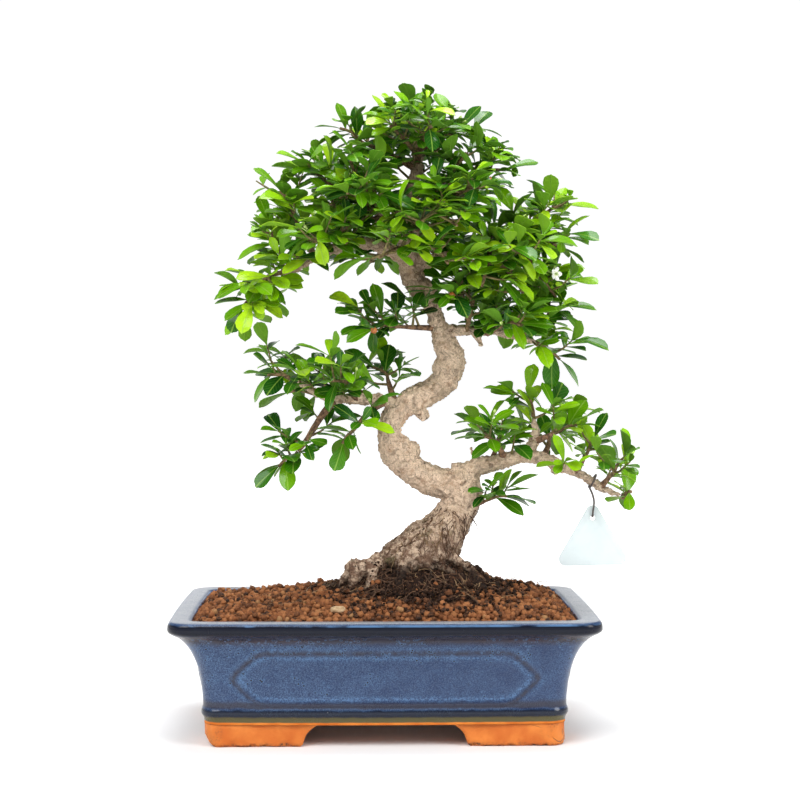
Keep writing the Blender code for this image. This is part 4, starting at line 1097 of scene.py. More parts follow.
    def foot_outline(self, leg_x: float, leg_y: float, width: float) -> list[Vector]:
        """The L-shaped plan of the foot at +X +Y, anticlockwise, at one level.

        Args:
            leg_x: how far the foot runs along X.
            leg_y: how far it runs along Y.
            width: how wide its legs are.

        Returns:
            The plan's points.
        """
        half_x, half_y = self.halves(self.foot_inset)
        points = [Vector((half_x - leg_x, half_y - width)), Vector((half_x - width, half_y - width)),
                  Vector((half_x - width, half_y - leg_y)), Vector((half_x, half_y - leg_y))]
        for step in range(self.foot_cuts + 1):
            turn = math.radians(90.0 * step / self.foot_cuts)
            points.append(Vector((half_x - self.foot_corner * (1 - math.cos(turn)),
                                  half_y - self.foot_corner * (1 - math.sin(turn)))))
        points.append(Vector((half_x - leg_x, half_y)))
        return points

    def foot(self) -> bpy.types.Object:
        """One foot, drawn at +X +Y: an L with slanted inner ends and worn edges.

        Returns:
            The foot.
        """
        foot = loft("foot", [[(p.x, p.y, height) for p in self.foot_outline(leg_x, leg_y, width)]
                             for height, leg_x, leg_y, width
                             in curve_through(in_metres(self.foot_levels), self.foot_step)])
        bevel = foot.modifiers.new("worn edges", "BEVEL")
        bevel.width = self.foot_edge
        bevel.segments = 2
        bevel.angle_limit = math.radians(40)
        apply_all(foot)
        bpy.ops.object.mode_set(mode="EDIT")
        bpy.ops.mesh.select_all(action="SELECT")
        bpy.ops.mesh.quads_convert_to_tris()
        bpy.ops.mesh.tris_convert_to_quads()
        bpy.ops.mesh.subdivide(number_cuts=2)
        bpy.ops.object.mode_set(mode="OBJECT")
        voxels(foot, "even faces", self.foot_voxel)
        apply_all(foot)
        return foot

    def feet(self, clay: bpy.types.Material) -> bpy.types.Object:
        """The four feet as one piece, each a mirrored copy with its own chips.

        Args:
            clay: the feet's material.

        Returns:
            The feet.
        """
        first = self.foot()
        copies = []
        for sign_x, sign_y in ((1, 1), (-1, 1), (-1, -1), (1, -1)):
            copy = first.copy()
            copy.data = first.data.copy()
            bpy.context.scene.collection.objects.link(copy)
            copy.data.transform(Matrix.Diagonal((sign_x, sign_y, 1.0, 1.0)))
            if sign_x * sign_y < 0:
                copy.data.flip_normals()
            copies.append(copy)
        bpy.data.objects.remove(first, do_unlink=True)
        join(copies[0], copies[1:])
        feet = copies[0]
        label(feet, "pot_feet")
        coat(feet, clay)
        self.chip(feet)
        return feet

    def chip(self, feet: bpy.types.Object) -> None:
        """Chip the feet's lower edges, mark how near an edge each point is, and mark how far in it lies,
        which gives the painted shade of the feet's inner faces.

        Args:
            feet: the four feet.
        """
        outer_x, outer_y = self.halves(self.foot_inset)
        edges, moved = [], []
        for place, normal in surface(feet):
            side = min(outer_x - abs(place.x), outer_y - abs(place.y))
            low = place.z
            aside, above = self.chip_reach
            near = math.exp(-(max(side, 0.0) / aside) ** 2) * math.exp(-(low / above) ** 2)
            grain = noise.noise(place * 170.0)
            cut = near * max(0.0, grain) * self.chip_depth * MM if low > 0.15 * MM else 0.0
            cut += 0.5 * MM * noise.noise(place * 55.0)
            bevel = self.broken_corner if place.x < 0 > place.y else self.worn_corner
            cut += max(0.0, 0.7 * (bevel - (outer_x - abs(place.x)) - low + 1.5 * MM * grain))
            spot = place - normal * cut
            moved.append((spot.x, spot.y, max(0.0, spot.z)))
            corner = math.exp(-((outer_x - abs(place.x)) ** 2 + (outer_y - abs(place.y)) ** 2)
                              / self.soot_corner ** 2)
            rim = max(math.exp(-(low / self.soot_height) ** 2), 0.7 * corner * ease(grain, -0.1, 0.3))
            edges.append(min(1.0, rim + 0.9 * ease(near * grain, 0.08, 0.3)))
        put_points(feet, moved)
        set_mark(feet, "edge", edges)
        # how far in from the outer faces each point lies; the finish darkens these inner faces as painted
        # shade
        set_mark(feet, "inner", [ease(min(outer_x - abs(x), outer_y - abs(y)), 6 * MM, 20 * MM)
                                 for x, y, _ in moved])

    def well_plan(self, height: float, gap: float) -> np.ndarray:
        """The plan of the inside of the pot at a height, drawn in by a gap.

        Args:
            height: how high over the table.
            gap: how far off the wall.

        Returns:
            The plan's points, one row each.
        """
        insets, heights, corners = zip(*in_metres(self.inner_wall)[::-1])
        inset = np.interp(height, heights, insets)
        corner = np.interp(height, heights, corners)
        return self.plan(inset + gap, corner)


# Ground

@dataclass
class Ground:
    """The soil's mound and the peat block, as heights over the plan."""

    soil_edge: float = 85.0 * MM
    soil_mound: float = 21.0 * MM
    mound_reach: float = 82.0 * MM
    stretch: float = 1.25
    relief: float = 1.1 * MM
    rim_level: float = 84.5 * MM
    bank_width: float = 17.0 * MM
    ball_x: float = 27.0 * MM
    ball_y: float = 2.0 * MM
    ball_half_x: float = 53.0 * MM
    ball_half_y: float = 43.0 * MM
    ball_edge: float = 103.0 * MM
    ball_rise: float = 12.0 * MM
    verge: float = 1.06
    spill_front: float = 1.32

    def soil(self, x: float, y: float) -> float:
        """The soil's smooth height."""
        away = math.hypot((x - self.ball_x) / self.stretch, y - self.ball_y)
        return self.soil_edge + self.soil_mound * math.exp(-(away / self.mound_reach) ** 2)

    def bank(self, x: float, y: float, gap: float) -> float:
        """The soil's height where it slopes down to the pot's wall, a gap away."""
        return self.rim_level + (self.soil(x, y) - self.rim_level) * ease(gap, -3 * MM, self.bank_width)

    def share(self, x: float, y: float) -> float:
        """How far out on the peat block's plan a point is: 1 at its edge."""
        return math.hypot((x - self.ball_x) / self.ball_half_x, (y - self.ball_y) / self.ball_half_y)

    def spill(self, x: float, y: float) -> float:
        """How far out in the peat's spill over the soil a point is, which runs wider at the front."""
        ahead = self.spill_front if y < self.ball_y else 1.0
        return self.share(x, self.ball_y + (y - self.ball_y) / ahead)

    def peat(self, x: float, y: float) -> float:
        """The peat block's smooth height."""
        return self.ball_edge + self.ball_rise * (1.0 - min(self.share(x, y), 1.0) ** 4)

    def top(self, x: float, y: float) -> float:
        """The height of what lies under a surface root."""
        soil = self.soil(x, y) + self.relief
        return soil if self.share(x, y) > self.verge else max(self.peat(x, y), soil)


def lump_shapes(count: int, keep: float) -> list[tuple[np.ndarray, np.ndarray]]:
    """A few lumps about one metre across.

    Args:
        count: how many different lumps to make.
        keep: the share of a fine lump's faces to keep.

    Returns:
        Each lump as its points and triangles.
    """
    result = []
    for index in range(count):
        bpy.ops.mesh.primitive_ico_sphere_add(subdivisions=2, radius=0.5)
        lump = bpy.context.object
        for vertex in lump.data.vertices:
            offset = Vector((index * 7.1, 0.0, 0.0))
            swell = 1.0 + 0.34 * noise.noise(vertex.co * 2.6 + offset)
            swell += 0.30 * noise.noise(vertex.co * 6.0 + offset)
            vertex.co *= swell
        fewer = lump.modifiers.new("fewer faces", "DECIMATE")
        fewer.ratio = keep
        apply_all(lump)
        points = np.array([tuple(v.co) for v in lump.data.vertices])
        faces = np.array([tuple(p.vertices) for p in lump.data.polygons])
        result.append((points, faces))
        bpy.data.objects.remove(lump, do_unlink=True)
    return result


class Heap:
    """Many turned copies of a few lumps, gathered for one mesh."""

    def __init__(self, shapes: list[tuple[np.ndarray, np.ndarray]]) -> None:
        """Start with no copies of these lumps.

        Args:
            shapes: the points and triangles of each lump.
        """
        self.shapes = shapes
        self.points: list[np.ndarray] = []
        self.faces: list[np.ndarray] = []
        self.total = 0

    def drop(self, rng: random.Random, place: tuple[float, float, float], size: float,
             spans: Sequence[tuple[float, float]] = ()) -> int:
        """Put a lump down, turned any way.

        Args:
            rng: the random draws.
            place: where its middle lies.
            size: how many times its own size it is made.
            spans: the least and most that each of its axes is stretched.

        Returns:
            How many points the lump has.
        """
        shape, triangles = self.shapes[rng.randrange(len(self.shapes))]
        axis = Vector((rng.gauss(0, 1), rng.gauss(0, 1), rng.gauss(0, 1))).normalized()
        turn = np.array(Matrix.Rotation(rng.uniform(0, math.tau), 3, axis))
        stretch = np.array([rng.uniform(*span) for span in spans] or 1.0)
        self.points.append((shape * stretch * size) @ turn.T + place)
        self.faces.append(triangles + self.total)
        self.total += len(shape)
        return len(shape)

    def mesh(self, name: str, finish: bpy.types.Material) -> bpy.types.Object:
        """All the copies as one mesh."""
        return new_mesh(name, np.concatenate(self.points).tolist(), np.concatenate(self.faces).tolist(),
                        [finish])


@dataclass
class GranuleBed:
    """The soil: a closed bed of fines with baked clay granules lying on and in it."""

    ground: Ground
    pot: GlazedPot
    wall_inset: float = 15.6 * MM
    pitch: float = 3.75 * MM
    row_share: float = 0.87
    jitter: float = 0.32
    sizes: tuple = (2.9, 4.9)
    big_share: float = 0.12
    big_scale: float = 1.25
    peat_edge: float = 0.99
    spill_edge: float = 1.25
    spill_bare: float = 0.66
    stretches: tuple = ((0.95, 1.15), (0.88, 1.05), (0.8, 0.98))
    edge_room: float = 0.42
    peat_bare: float = 0.8
    peat_fade: tuple = (0.80, 1.04)
    spill_back: float = 5 * MM
    spill_dark: float = 0.6
    spill_fade: tuple = (0.95, 1.4)
    loose_share: float = 0.22
    loose_room: float = 3 * MM
    loose_size: float = 0.85
    bed_levels: tuple = (25.8 * MM, 56.0 * MM, 78.0 * MM)
    bed_rings: int = 14
    hole_bottom: float = 41.7 * MM
    shapes: int = 9
    keep: float = 0.5
    crumb_count: int = 2700
    crumb_out: tuple = (0.30, 0.58, 1.2)
    crumb_sizes: tuple = (1.0, 3.6, 2.8)
    crumb_lifts: tuple = (2.9 * MM, 0.8 * MM)
    crumb_on_wood: float = 0.7
    crumb_ceiling: float = 121.0 * MM
    crumb_keep: float = 0.32
    stone_x: float = -32.0 * MM
    stone_y: float = -71.0 * MM
    stone_room: float = 10.0 * MM

    def spots(self, rng: random.Random) -> list[tuple[float, float, float, float]]:
        """Where the granules lie: x, y, height and size.

        Args:
            rng: the random draws.

        Returns:
            One row for each granule.
        """
        ground, jitter = self.ground, self.jitter
        half_x, half_y = self.pot.halves(self.wall_inset)
        found = []
        rows = int(2 * (half_y + self.pot.side_bow) / (self.pitch * self.row_share)) + 2
        columns = int(2 * (half_x + self.pot.end_bow) / self.pitch) + 2
        for j, i in itertools.product(range(rows), range(columns)):
            x = (i + 0.5 * (j % 2) - columns / 2 + rng.uniform(-jitter, jitter)) * self.pitch
            y = ((j - rows / 2) * self.row_share + rng.uniform(-jitter, jitter)) * self.pitch
            size = rng.uniform(*self.sizes) * MM
            size *= self.big_scale if rng.random() < self.big_share else 1.0
            layer = rng.random()
            edge_x = half_x + self.pot.end_bow * (1.0 - (y / half_y) ** 2) - self.edge_room * size
            edge_y = half_y + self.pot.side_bow * (1.0 - (x / half_x) ** 2) - self.edge_room * size
            if abs(x) > edge_x or abs(y) > edge_y:
                continue
            on_peat = ground.share(x, y) < self.peat_edge
            if on_peat and rng.random() > self.peat_bare * ease(ground.share(x, y), *self.peat_fade):
                continue
            in_spill = ground.spill(x, y) < self.spill_edge and y < self.spill_back
            if in_spill and rng.random() < self.spill_bare:
                continue
            gap = min(edge_x - abs(x), edge_y - abs(y))
            base = ground.peat(x, y) if on_peat else ground.bank(x, y, gap)
            found.append((x, y, base + (0.12 + 0.30 * rng.random()) * size, size))
            if layer < self.loose_share and gap > self.loose_room:
                found.append((x + rng.uniform(-1, 1) * MM, y + rng.uniform(-1, 1) * MM,
                              base + (0.75 + 0.2 * rng.random()) * size, size * self.loose_size))
        return found

    def granules(self, finish: bpy.types.Material) -> bpy.types.Object:
        """All granules as one mesh, each a turned and stretched copy of a shape.

        Args:
            finish: the granules' material.

        Returns:
            The granules.
        """
        rng = random.Random(SEED + 10)
        heap = Heap(lump_shapes(self.shapes, self.keep))
        tones = []
        for x, y, z, size in self.spots(rng):
            count = heap.drop(rng, (x, y, z), size, self.stretches)
            tone = rng.random()
            if rng.random() < self.spill_dark:
                tone *= 0.12 + 0.88 * ease(self.ground.spill(x, y), *self.spill_fade)
            tones.extend([tone] * count)
        piece = heap.mesh("clay_granules", finish)
        set_mark(piece, "tone", tones)
        return piece

    def crumbs(self, wood: BVHTree, finish: bpy.types.Material) -> bpy.types.Object:
        """Crumbs of peat over the peat block, the roots on it and the granules round it.

        Args:
            wood: the old wood's surface, still drawn round the pot's plan centre.
            finish: the peat's material.

        Returns:
            The crumbs as one mesh.
        """
        rng = random.Random(SEED + 11)
        ground = self.ground
        heap = Heap(lump_shapes(self.shapes, self.crumb_keep))
        nearest, spread, widest = self.crumb_out
        least, most, most_outside = self.crumb_sizes
        soil_lift, peat_lift = self.crumb_lifts
        for _ in range(self.crumb_count):
            turn = rng.uniform(0, math.tau)
            out = nearest + min(widest, spread * abs(rng.gauss(0.0, 1.0)))
            x = ground.ball_x + ground.ball_half_x * out * math.cos(turn)
            y = ground.ball_y + ground.ball_half_y * out * math.sin(turn)
            if y < ground.ball_y:
                y += (y - ground.ball_y) * (ground.spill_front - 1.0)
            if math.hypot(x - self.stone_x, y - self.stone_y) < self.stone_room:
                continue
            size = rng.uniform(least, most if out < 1.0 else most_outside) * MM
            on_soil = ground.share(x, y) > 1.0
            lift = (0.1 + 0.5 * rng.random()) * size + (soil_lift if on_soil else peat_lift)
            top = ground.top(x, y)
            hit, normal, _, _ = wood.ray_cast(Vector((x, y, self.crumb_ceiling)), -UP)
            if hit and normal.z > 0.1 and hit.z > top:
                lift = hit.z - top + ground.relief - 0.1 * size
                size *= self.crumb_on_wood
            heap.drop(rng, (x, y, top - ground.relief + lift), size)
        return heap.mesh("peat_crumbs", finish)

    def bed(self, finish: bpy.types.Material) -> bpy.types.Object:
        """The closed body of fines under the granules, with a plain hole for the peat.

        Args:
            finish: the fines' material.

        Returns:
            The bed.
        """
        ground = self.ground
        levels = (*self.bed_levels, ground.soil_edge)
        plans = [self.pot.well_plan(level, 0.4 * MM)[::4] for level in levels]
        loops = [np.column_stack((plan, np.full(len(plan), level))) for plan, level in zip(plans, levels)]
        outer = loops[-1]
        turns = np.arctan2(outer[:, 1] - ground.ball_y, outer[:, 0] - ground.ball_x)
        hole = np.column_stack((ground.ball_x + (ground.ball_half_x + 0.5 * MM) * np.cos(turns),
                                ground.ball_y + (ground.ball_half_y + 0.5 * MM) * np.sin(turns)))
        for ring in range(1, self.bed_rings + 1):
            share = ring / self.bed_rings
            plan = outer[:, :2] * (1 - share) + hole * share
            gaps = np.linalg.norm(outer[:, :2] - plan, axis=1)
            heights = [ground.bank(x, y, gap) - 0.5 * MM + 1.2 * MM * noise.noise(Vector((x, y, 0)) * 260)
                       for (x, y), gap in zip(plan, gaps)]
            loops.append(np.column_stack((plan, heights)))
        loops.append(np.column_stack((hole, np.full(len(hole), self.hole_bottom))))
        bed = loft("soil_fines", loops, [finish])
        set_mark(bed, "tone", [0.22 * ease(ground.share(v.co.x, v.co.y), 1.1, 1.6)
                               for v in bed.data.vertices])
        return bed


@dataclass
class PeatMound:
    """The dark peat block with its rough domed top."""

    ground: Ground
    bottom: float = 42.0 * MM
    brim: float = 99.0 * MM
    rings: int = 64
    sides: int = 240
    lumps: float = 3.6 * MM
    plug_x: float = 20.0 * MM
    plug_y: float = 2.0 * MM
    plug_room: float = 24.6 * MM
    plug_bottom: float = 94.4 * MM

    def build(self, finish: bpy.types.Material) -> bpy.types.Object:
        """The mound as one closed mesh with a plain hole for the trunk's foot.

        Args:
            finish: the peat's material.

        Returns:
            The mound.
        """
        ground = self.ground
        turns = [math.tau * k / self.sides for k in range(self.sides)]
        outer = [(ground.ball_x + ground.ball_half_x * math.cos(t),
                  ground.ball_y + ground.ball_half_y * math.sin(t)) for t in turns]
        inner = [(self.plug_x + self.plug_room * math.cos(t),
                  self.plug_y + self.plug_room * math.sin(t)) for t in turns]
        loops = [[(x, y, level) for x, y in outer] for level in (self.bottom, self.brim)]
        for ring in range(self.rings + 1):
            share = ring / self.rings
            loop = []
            for start, end in zip(outer, inner):
                place = Vector((*start, 0.0)).lerp(Vector((*end, 0.0)), share)
                lump = noise.fractal(place * 110.0, 0.7, 2.1, 4) + 0.25
                edge_fade = min(1.0, 0.3 + 6.0 * share)
                height = ground.peat(place.x, place.y) + self.lumps * lump * edge_fade
                loop.append((place.x, place.y, height))
            loops.append(loop)
        loops.append([(x, y, self.plug_bottom) for x, y in inner])
        return loft("peat_mound", loops, [finish])


# Wood

class Limb(NamedTuple):
    """A limb of the tree: its route in mm, and its radius at the butt and the tip."""

    route: tuple
    butt: float
    tip: float


class Stub(NamedTuple):
    """A cut or broken stub: from inside the wood to its end, in mm, with its radii."""

    start: tuple
    end: tuple
    butt: float
    tip: float


@dataclass
class TreeRoutes:
    """Where the wood of the tree runs, by the same rule as its solids."""

    tube_step: float = 12.0 * MM
    limb_step: float = 24.0 * MM
    limb_taper: float = 0.8
    lower_trunk: tuple = (
        (20, 2, 94.7, 24), (20, 2, 104, 24), (20.5, 2, 113.5, 24), (23, 2, 121.5, 29.5),
        (29, 2, 131, 27), (38, 2, 141, 22.5), (47, 2, 150, 18.5), (53.5, 2, 158, 15.5),
        (57, 1, 167, 13.8), (58, 0, 176, 13), (59, -1, 184, 10))
    upper_trunk: tuple = (
        (60, 0, 176, 9), (48, -1, 175.5, 11.5), (33, -2, 179.5, 10.9), (19, -5, 188, 10.8),
        (7.5, -8, 198.5, 10.5), (4.5, -9, 208.5, 9.3), (4, -8, 217.5, 8.7), (8, -6, 227.5, 8.9),
        (18, -3, 236, 9.2), (31, 1, 242, 9.6), (42.3, 4, 249, 9.4), (48.5, 5, 259, 9.8),
        (49, 5, 269, 10.2), (44, 4, 279.5, 8.2), (40, 3, 291, 6.5), (36.8, 2, 302, 6.3),
        (32, 1, 313, 7.9), (24.5, 0, 322.5, 8.7), (19.5, 0, 333, 8.7), (18.5, 0, 348, 7.3),
        (13.5, -1, 366, 6), (17.5, -1, 387, 4.8), (24.5, 0, 409, 3.6), (23, 0, 438, 2))

    @staticmethod
    def limbs() -> dict[str, Limb]:
        """Every limb by name.

        Returns:
            The limbs by their names.
        """
        return {
            "right_main": Limb(((54, 2, 182), (72, -3, 190), (84, -6, 193), (100, -9, 196.5),
                                (115, -11, 195), (126, -12, 191), (140, -13, 185), (157, -14, 174.5),
                                (171, -15, 168.5)), 7.5, 2.4),
            "right_end": Limb(((157, -14, 175), (163, -19, 183)), 2.0, 1.4),
            "right_mid": Limb(((139, -13, 186), (144, -16, 195)), 2.2, 1.4),
            "right_upper": Limb(((101, -9, 196), (108, -8, 206), (110, -6, 215), (109, -4, 225)), 4.2, 1.7),
            "right_upper_side": Limb(((108, -8, 207), (122, -13, 213)), 2.4, 1.4),
            "right_inner": Limb(((88, -7, 194), (83, -15, 204)), 2.4, 1.4),
            "right_back": Limb(((115, -11, 195), (120, 2, 203), (122, 13, 208)), 2.8, 1.5),
            "right_back_inner": Limb(((78, -5, 191), (82, 9, 200)), 2.4, 1.4),
            "right_low": Limb(((58, 0, 158), (73, -7, 164)), 2.4, 1.3),
            "left_main": Limb(((12, -5, 231), (-2, -8, 238), (-20, -10, 238.5), (-41, -12, 239.5),
                               (-55, -13, 247), (-67, -14, 253)), 5.2, 1.8),
            "left_down": Limb(((-35, -11, 239), (-46, -13, 225), (-56, -14, 209), (-62, -15, 201)), 3, 1.6),
            "left_down_inner": Limb(((0, -8, 237), (-12, -17, 228), (-20, -21, 219)), 3, 1.5),
            "left_front": Limb(((-20, -10, 238.5), (-25, -22, 247)), 2.4, 1.4),
            "left_back": Limb(((-10, -9, 238), (-19, 8, 244), (-27, 20, 247)), 2.8, 1.5),
            "left_back_outer": Limb(((-42, -12, 240), (-48, 3, 241)), 2.4, 1.4),
            "left_rise": Limb(((8, -6, 234), (3, 6, 252)), 2.6, 1.4),
            "left_thin": Limb(((39, 3, 290), (20, -4, 290.5), (7, -8, 291)), 2.2, 1.3),
            "under_right": Limb(((43, 4, 289), (60, -4, 288), (80, -8, 286.5), (98, -11, 283),
                                 (110, -12, 279)), 4, 1.7),
            "under_front": Limb(((75, -7, 287), (84, -25, 291)), 2.4, 1.4),
            "under_back": Limb(((60, -4, 288), (72, 16, 291), (80, 28, 293)), 2.8, 1.5),
            "upper_left": Limb(((19, 0, 338), (-5, -4, 350), (-23, -6, 350.5), (-37, -7, 347),
                                (-52, -8, 341), (-63, -9, 333), (-73, -10, 330)), 5.2, 2.0),
            "left_tip_rise": Limb(((-65, -9, 332), (-75, -8, 345)), 2.4, 1.5),
            "left_tall": Limb(((-50, -8, 342), (-58, -12, 355), (-63, -14, 367)), 2.8, 1.5),
            "left_high_back": Limb(((-36, -7, 347), (-43, 10, 352), (-49, 22, 354)), 2.8, 1.5),
            "left_high_front": Limb(((-23, -6, 350.5), (-31, -22, 352), (-37, -34, 351)), 2.8, 1.5),
            "upper_right": Limb(((20, 0, 337), (45, -3, 341), (66, -5, 346), (82, -6, 350),
                                 (98, -7, 352)), 5.2, 2.0),
            "right_tip_rise": Limb(((88, -6, 350), (100, -13, 359), (106, -15, 364)), 2.6, 1.5),
            "right_high_front": Limb(((66, -5, 346), (76, -24, 345), (84, -36, 343)), 2.8, 1.5),
            "right_high_back": Limb(((58, -4, 344), (71, 16, 346), (80, 30, 346)), 2.8, 1.5),
            "right_droop": Limb(((80, -6, 349.5), (93, 4, 336), (100, 8, 328)), 2.6, 1.5),
            "flower_twig": Limb(((84, -6, 350), (104, -15, 339), (117, -20, 331)), 1.9, 1.2),
            "crown_left": Limb(((14, -1, 364), (-10, -5, 376), (-30, -8, 388)), 3.8, 1.6),
            "crown_left_front": Limb(((14, -1, 361), (0, -22, 370), (-10, -36, 375)), 3.4, 1.6),
            "crown_left_back": Limb(((15, 0, 359), (-4, 20, 370), (-15, 36, 376)), 3.4, 1.6),
            "crown_right_front": Limb(((14, -1, 367), (34, -20, 376), (46, -34, 381)), 3.4, 1.6),
            "crown_right_back": Limb(((14, -1, 365), (34, 20, 376), (47, 35, 382)), 3.4, 1.6),
            "crown_right": Limb(((17, -1, 384), (40, -4, 392), (58, -6, 398)), 3.2, 1.6),
            "crown_front": Limb(((18, 0, 340), (21, -24, 352), (23, -40, 358)), 3.4, 1.6),
            "crown_back": Limb(((18, 0, 342), (14, 24, 353), (11, 40, 359)), 3.4, 1.6),
            "top_left": Limb(((24, 0, 405), (6, -4, 415), (-8, -5, 421)), 2.4, 1.4),
            "top_front": Limb(((24, 0, 409), (26, -18, 419), (28, -27, 424)), 2.4, 1.4),
            "top_back": Limb(((24, 0, 411), (22, 18, 421), (20, 27, 426)), 2.4, 1.4),
            "top_right": Limb(((24, 0, 419), (40, 2, 427), (50, 3, 432)), 2.2, 1.4),
        }

    @staticmethod
    def stubs() -> tuple[Stub, ...]:
        """Every cut stub.

        Returns:
            The stubs.
        """
        return (
            Stub((22, -3, 235), (31, -2, 223.5), 6.5, 3.6), Stub((19, -5, 192), (18, -4, 203.5), 6.0, 3.4),
            Stub((54, 1, 180), (53, -3, 191), 2.8, 1.8),
            Stub((122, -12, 192), (124.5, -12, 183.5), 3.2, 2.0),
            Stub((68, -2, 188), (63, -6, 204), 2.2, 1.3), Stub((14, -1, 372), (8, -7, 380), 4.2, 2.8),
            Stub((66, -6, 287.5), (71, -9, 276.5), 3.0, 1.6), Stub((94, -7, 351), (92, -11, 343), 2.6, 1.5),
            Stub((27, 0, 318), (38, -5, 321), 5.0, 2.6), Stub((44, 4, 252), (52, -4, 248), 5.4, 3.0))

    @staticmethod
    def sprays() -> dict[str, tuple[float, float, float]]:
        """The end point of each leafy spray, in mm, by the limb that it grows from.

        Returns:
            The end points by the limbs' names.
        """
        return {
            "right_main": (178, -22, 172), "right_end": (171, -26, 196), "right_mid": (152, -20, 211),
            "right_upper": (105, -4, 243), "right_upper_side": (139, -18, 220),
            "right_inner": (72, -26, 212), "right_back": (132, 32, 213), "right_back_inner": (86, 30, 209),
            "right_low": (89, -12, 168),
            "left_main": (-84, -16, 256), "left_down": (-76, -18, 190), "left_down_inner": (-30, -27, 207),
            "left_front": (-38, -40, 252), "left_back": (-42, 38, 251), "left_back_outer": (-70, 18, 243),
            "left_rise": (-9, 20, 262), "left_thin": (-12, -13, 291),
            "under_right": (127, -15, 267), "under_front": (97, -47, 291), "under_back": (98, 48, 293),
            "upper_left": (-102, -14, 305), "left_tip_rise": (-84, -6, 367), "left_tall": (-74, -20, 388),
            "left_high_back": (-66, 42, 360), "left_high_front": (-50, -56, 348),
            "upper_right": (126, -10, 349), "right_tip_rise": (128, -22, 378),
            "right_high_front": (103, -58, 338), "right_high_back": (102, 52, 345),
            "right_droop": (126, 14, 313),
            "crown_left": (-58, -12, 404), "crown_left_front": (-26, -64, 382),
            "crown_left_back": (-34, 64, 386), "crown_right_front": (66, -64, 386),
            "crown_right_back": (69, 62, 390), "crown_right": (88, -10, 404),
            "crown_front": (26, -70, 362), "crown_back": (8, 70, 366),
            "top_left": (-32, -8, 434), "top_front": (33, -50, 430), "top_back": (15, 50, 433),
            "top_right": (70, 5, 436), "upper_trunk": (21, -2, 450),
        }

    def limb_run(self, limb: Limb, step: float | None = None) -> Run:
        """A limb's smooth centres and radii, in metres.

        Args:
            limb: the limb.
            step: how far apart the centres are, in metres.

        Returns:
            The centres and radii.
        """
        count = len(limb.route)
        marked = []
        for i, point in enumerate(limb.route):
            radius = limb.butt + (limb.tip - limb.butt) * (i / (count - 1)) ** self.limb_taper
            marked.append((*mm(point), radius * MM))
        return smooth_run(marked, step or self.limb_step)

    def trunk_run(self, rows: tuple, step: float | None = None) -> Run:
        """The trunk's smooth centres and radii, in metres."""
        return smooth_run(in_metres(rows), step or self.tube_step)


@dataclass
class SurfaceRoots:
    """The thick roots that come out of the trunk's foot and run down over the ground."""

    ground: Ground
    centre_x: float = 20.0 * MM
    centre_y: float = 2.0 * MM
    start: float = 8.0 * MM
    height: float = 121.0 * MM
    fall_start: float = 26.0 * MM
    fall: float = 12.0 * MM
    clear: float = 0.7 * MM
    sway: float = 0.22
    wave: float = 4.2
    taper: float = 0.72
    roots: tuple = ((188, 64, 6.4), (160, 55, 5.4), (212, 58, 5.4), (244, 49, 4.6), (282, 47, 4.4),
                    (318, 60, 4.8), (352, 72, 5.4), (34, 62, 4.8), (74, 49, 4.6), (118, 49, 5.0))

    def run(self, angle: float, reach: float, thickness: float, steps: int) -> Run:
        """One root's centres and radii.

        Args:
            angle: its compass angle in degrees, as in the solids.
            reach: how far it runs from the trunk's axis, in mm.
            thickness: its radius at the trunk, in mm.
            steps: how many stretches it is drawn in.

        Returns:
            The root's centres and radii, in metres.
        """
        turn = math.radians(angle)
        centres, radii = [], []
        for i in range(steps + 1):
            share = i / steps
            out = self.start + (reach * MM - self.start) * share
            bend = turn + self.sway * math.sin(self.wave * share + angle)
            radius = thickness * MM * (1.0 - self.taper * share)
            x = self.centre_x + out * math.cos(bend)
            y = self.centre_y + out * math.sin(bend)
            rest = self.ground.top(x, y) + 0.55 * radius + self.clear
            lift = min(1.0, max(0.0, 1.0 - (out - self.fall_start) / self.fall))
            centres.append(Vector((x, y, max(rest, rest + (self.height - rest) * lift))))
            radii.append(radius)
        return centres, radii


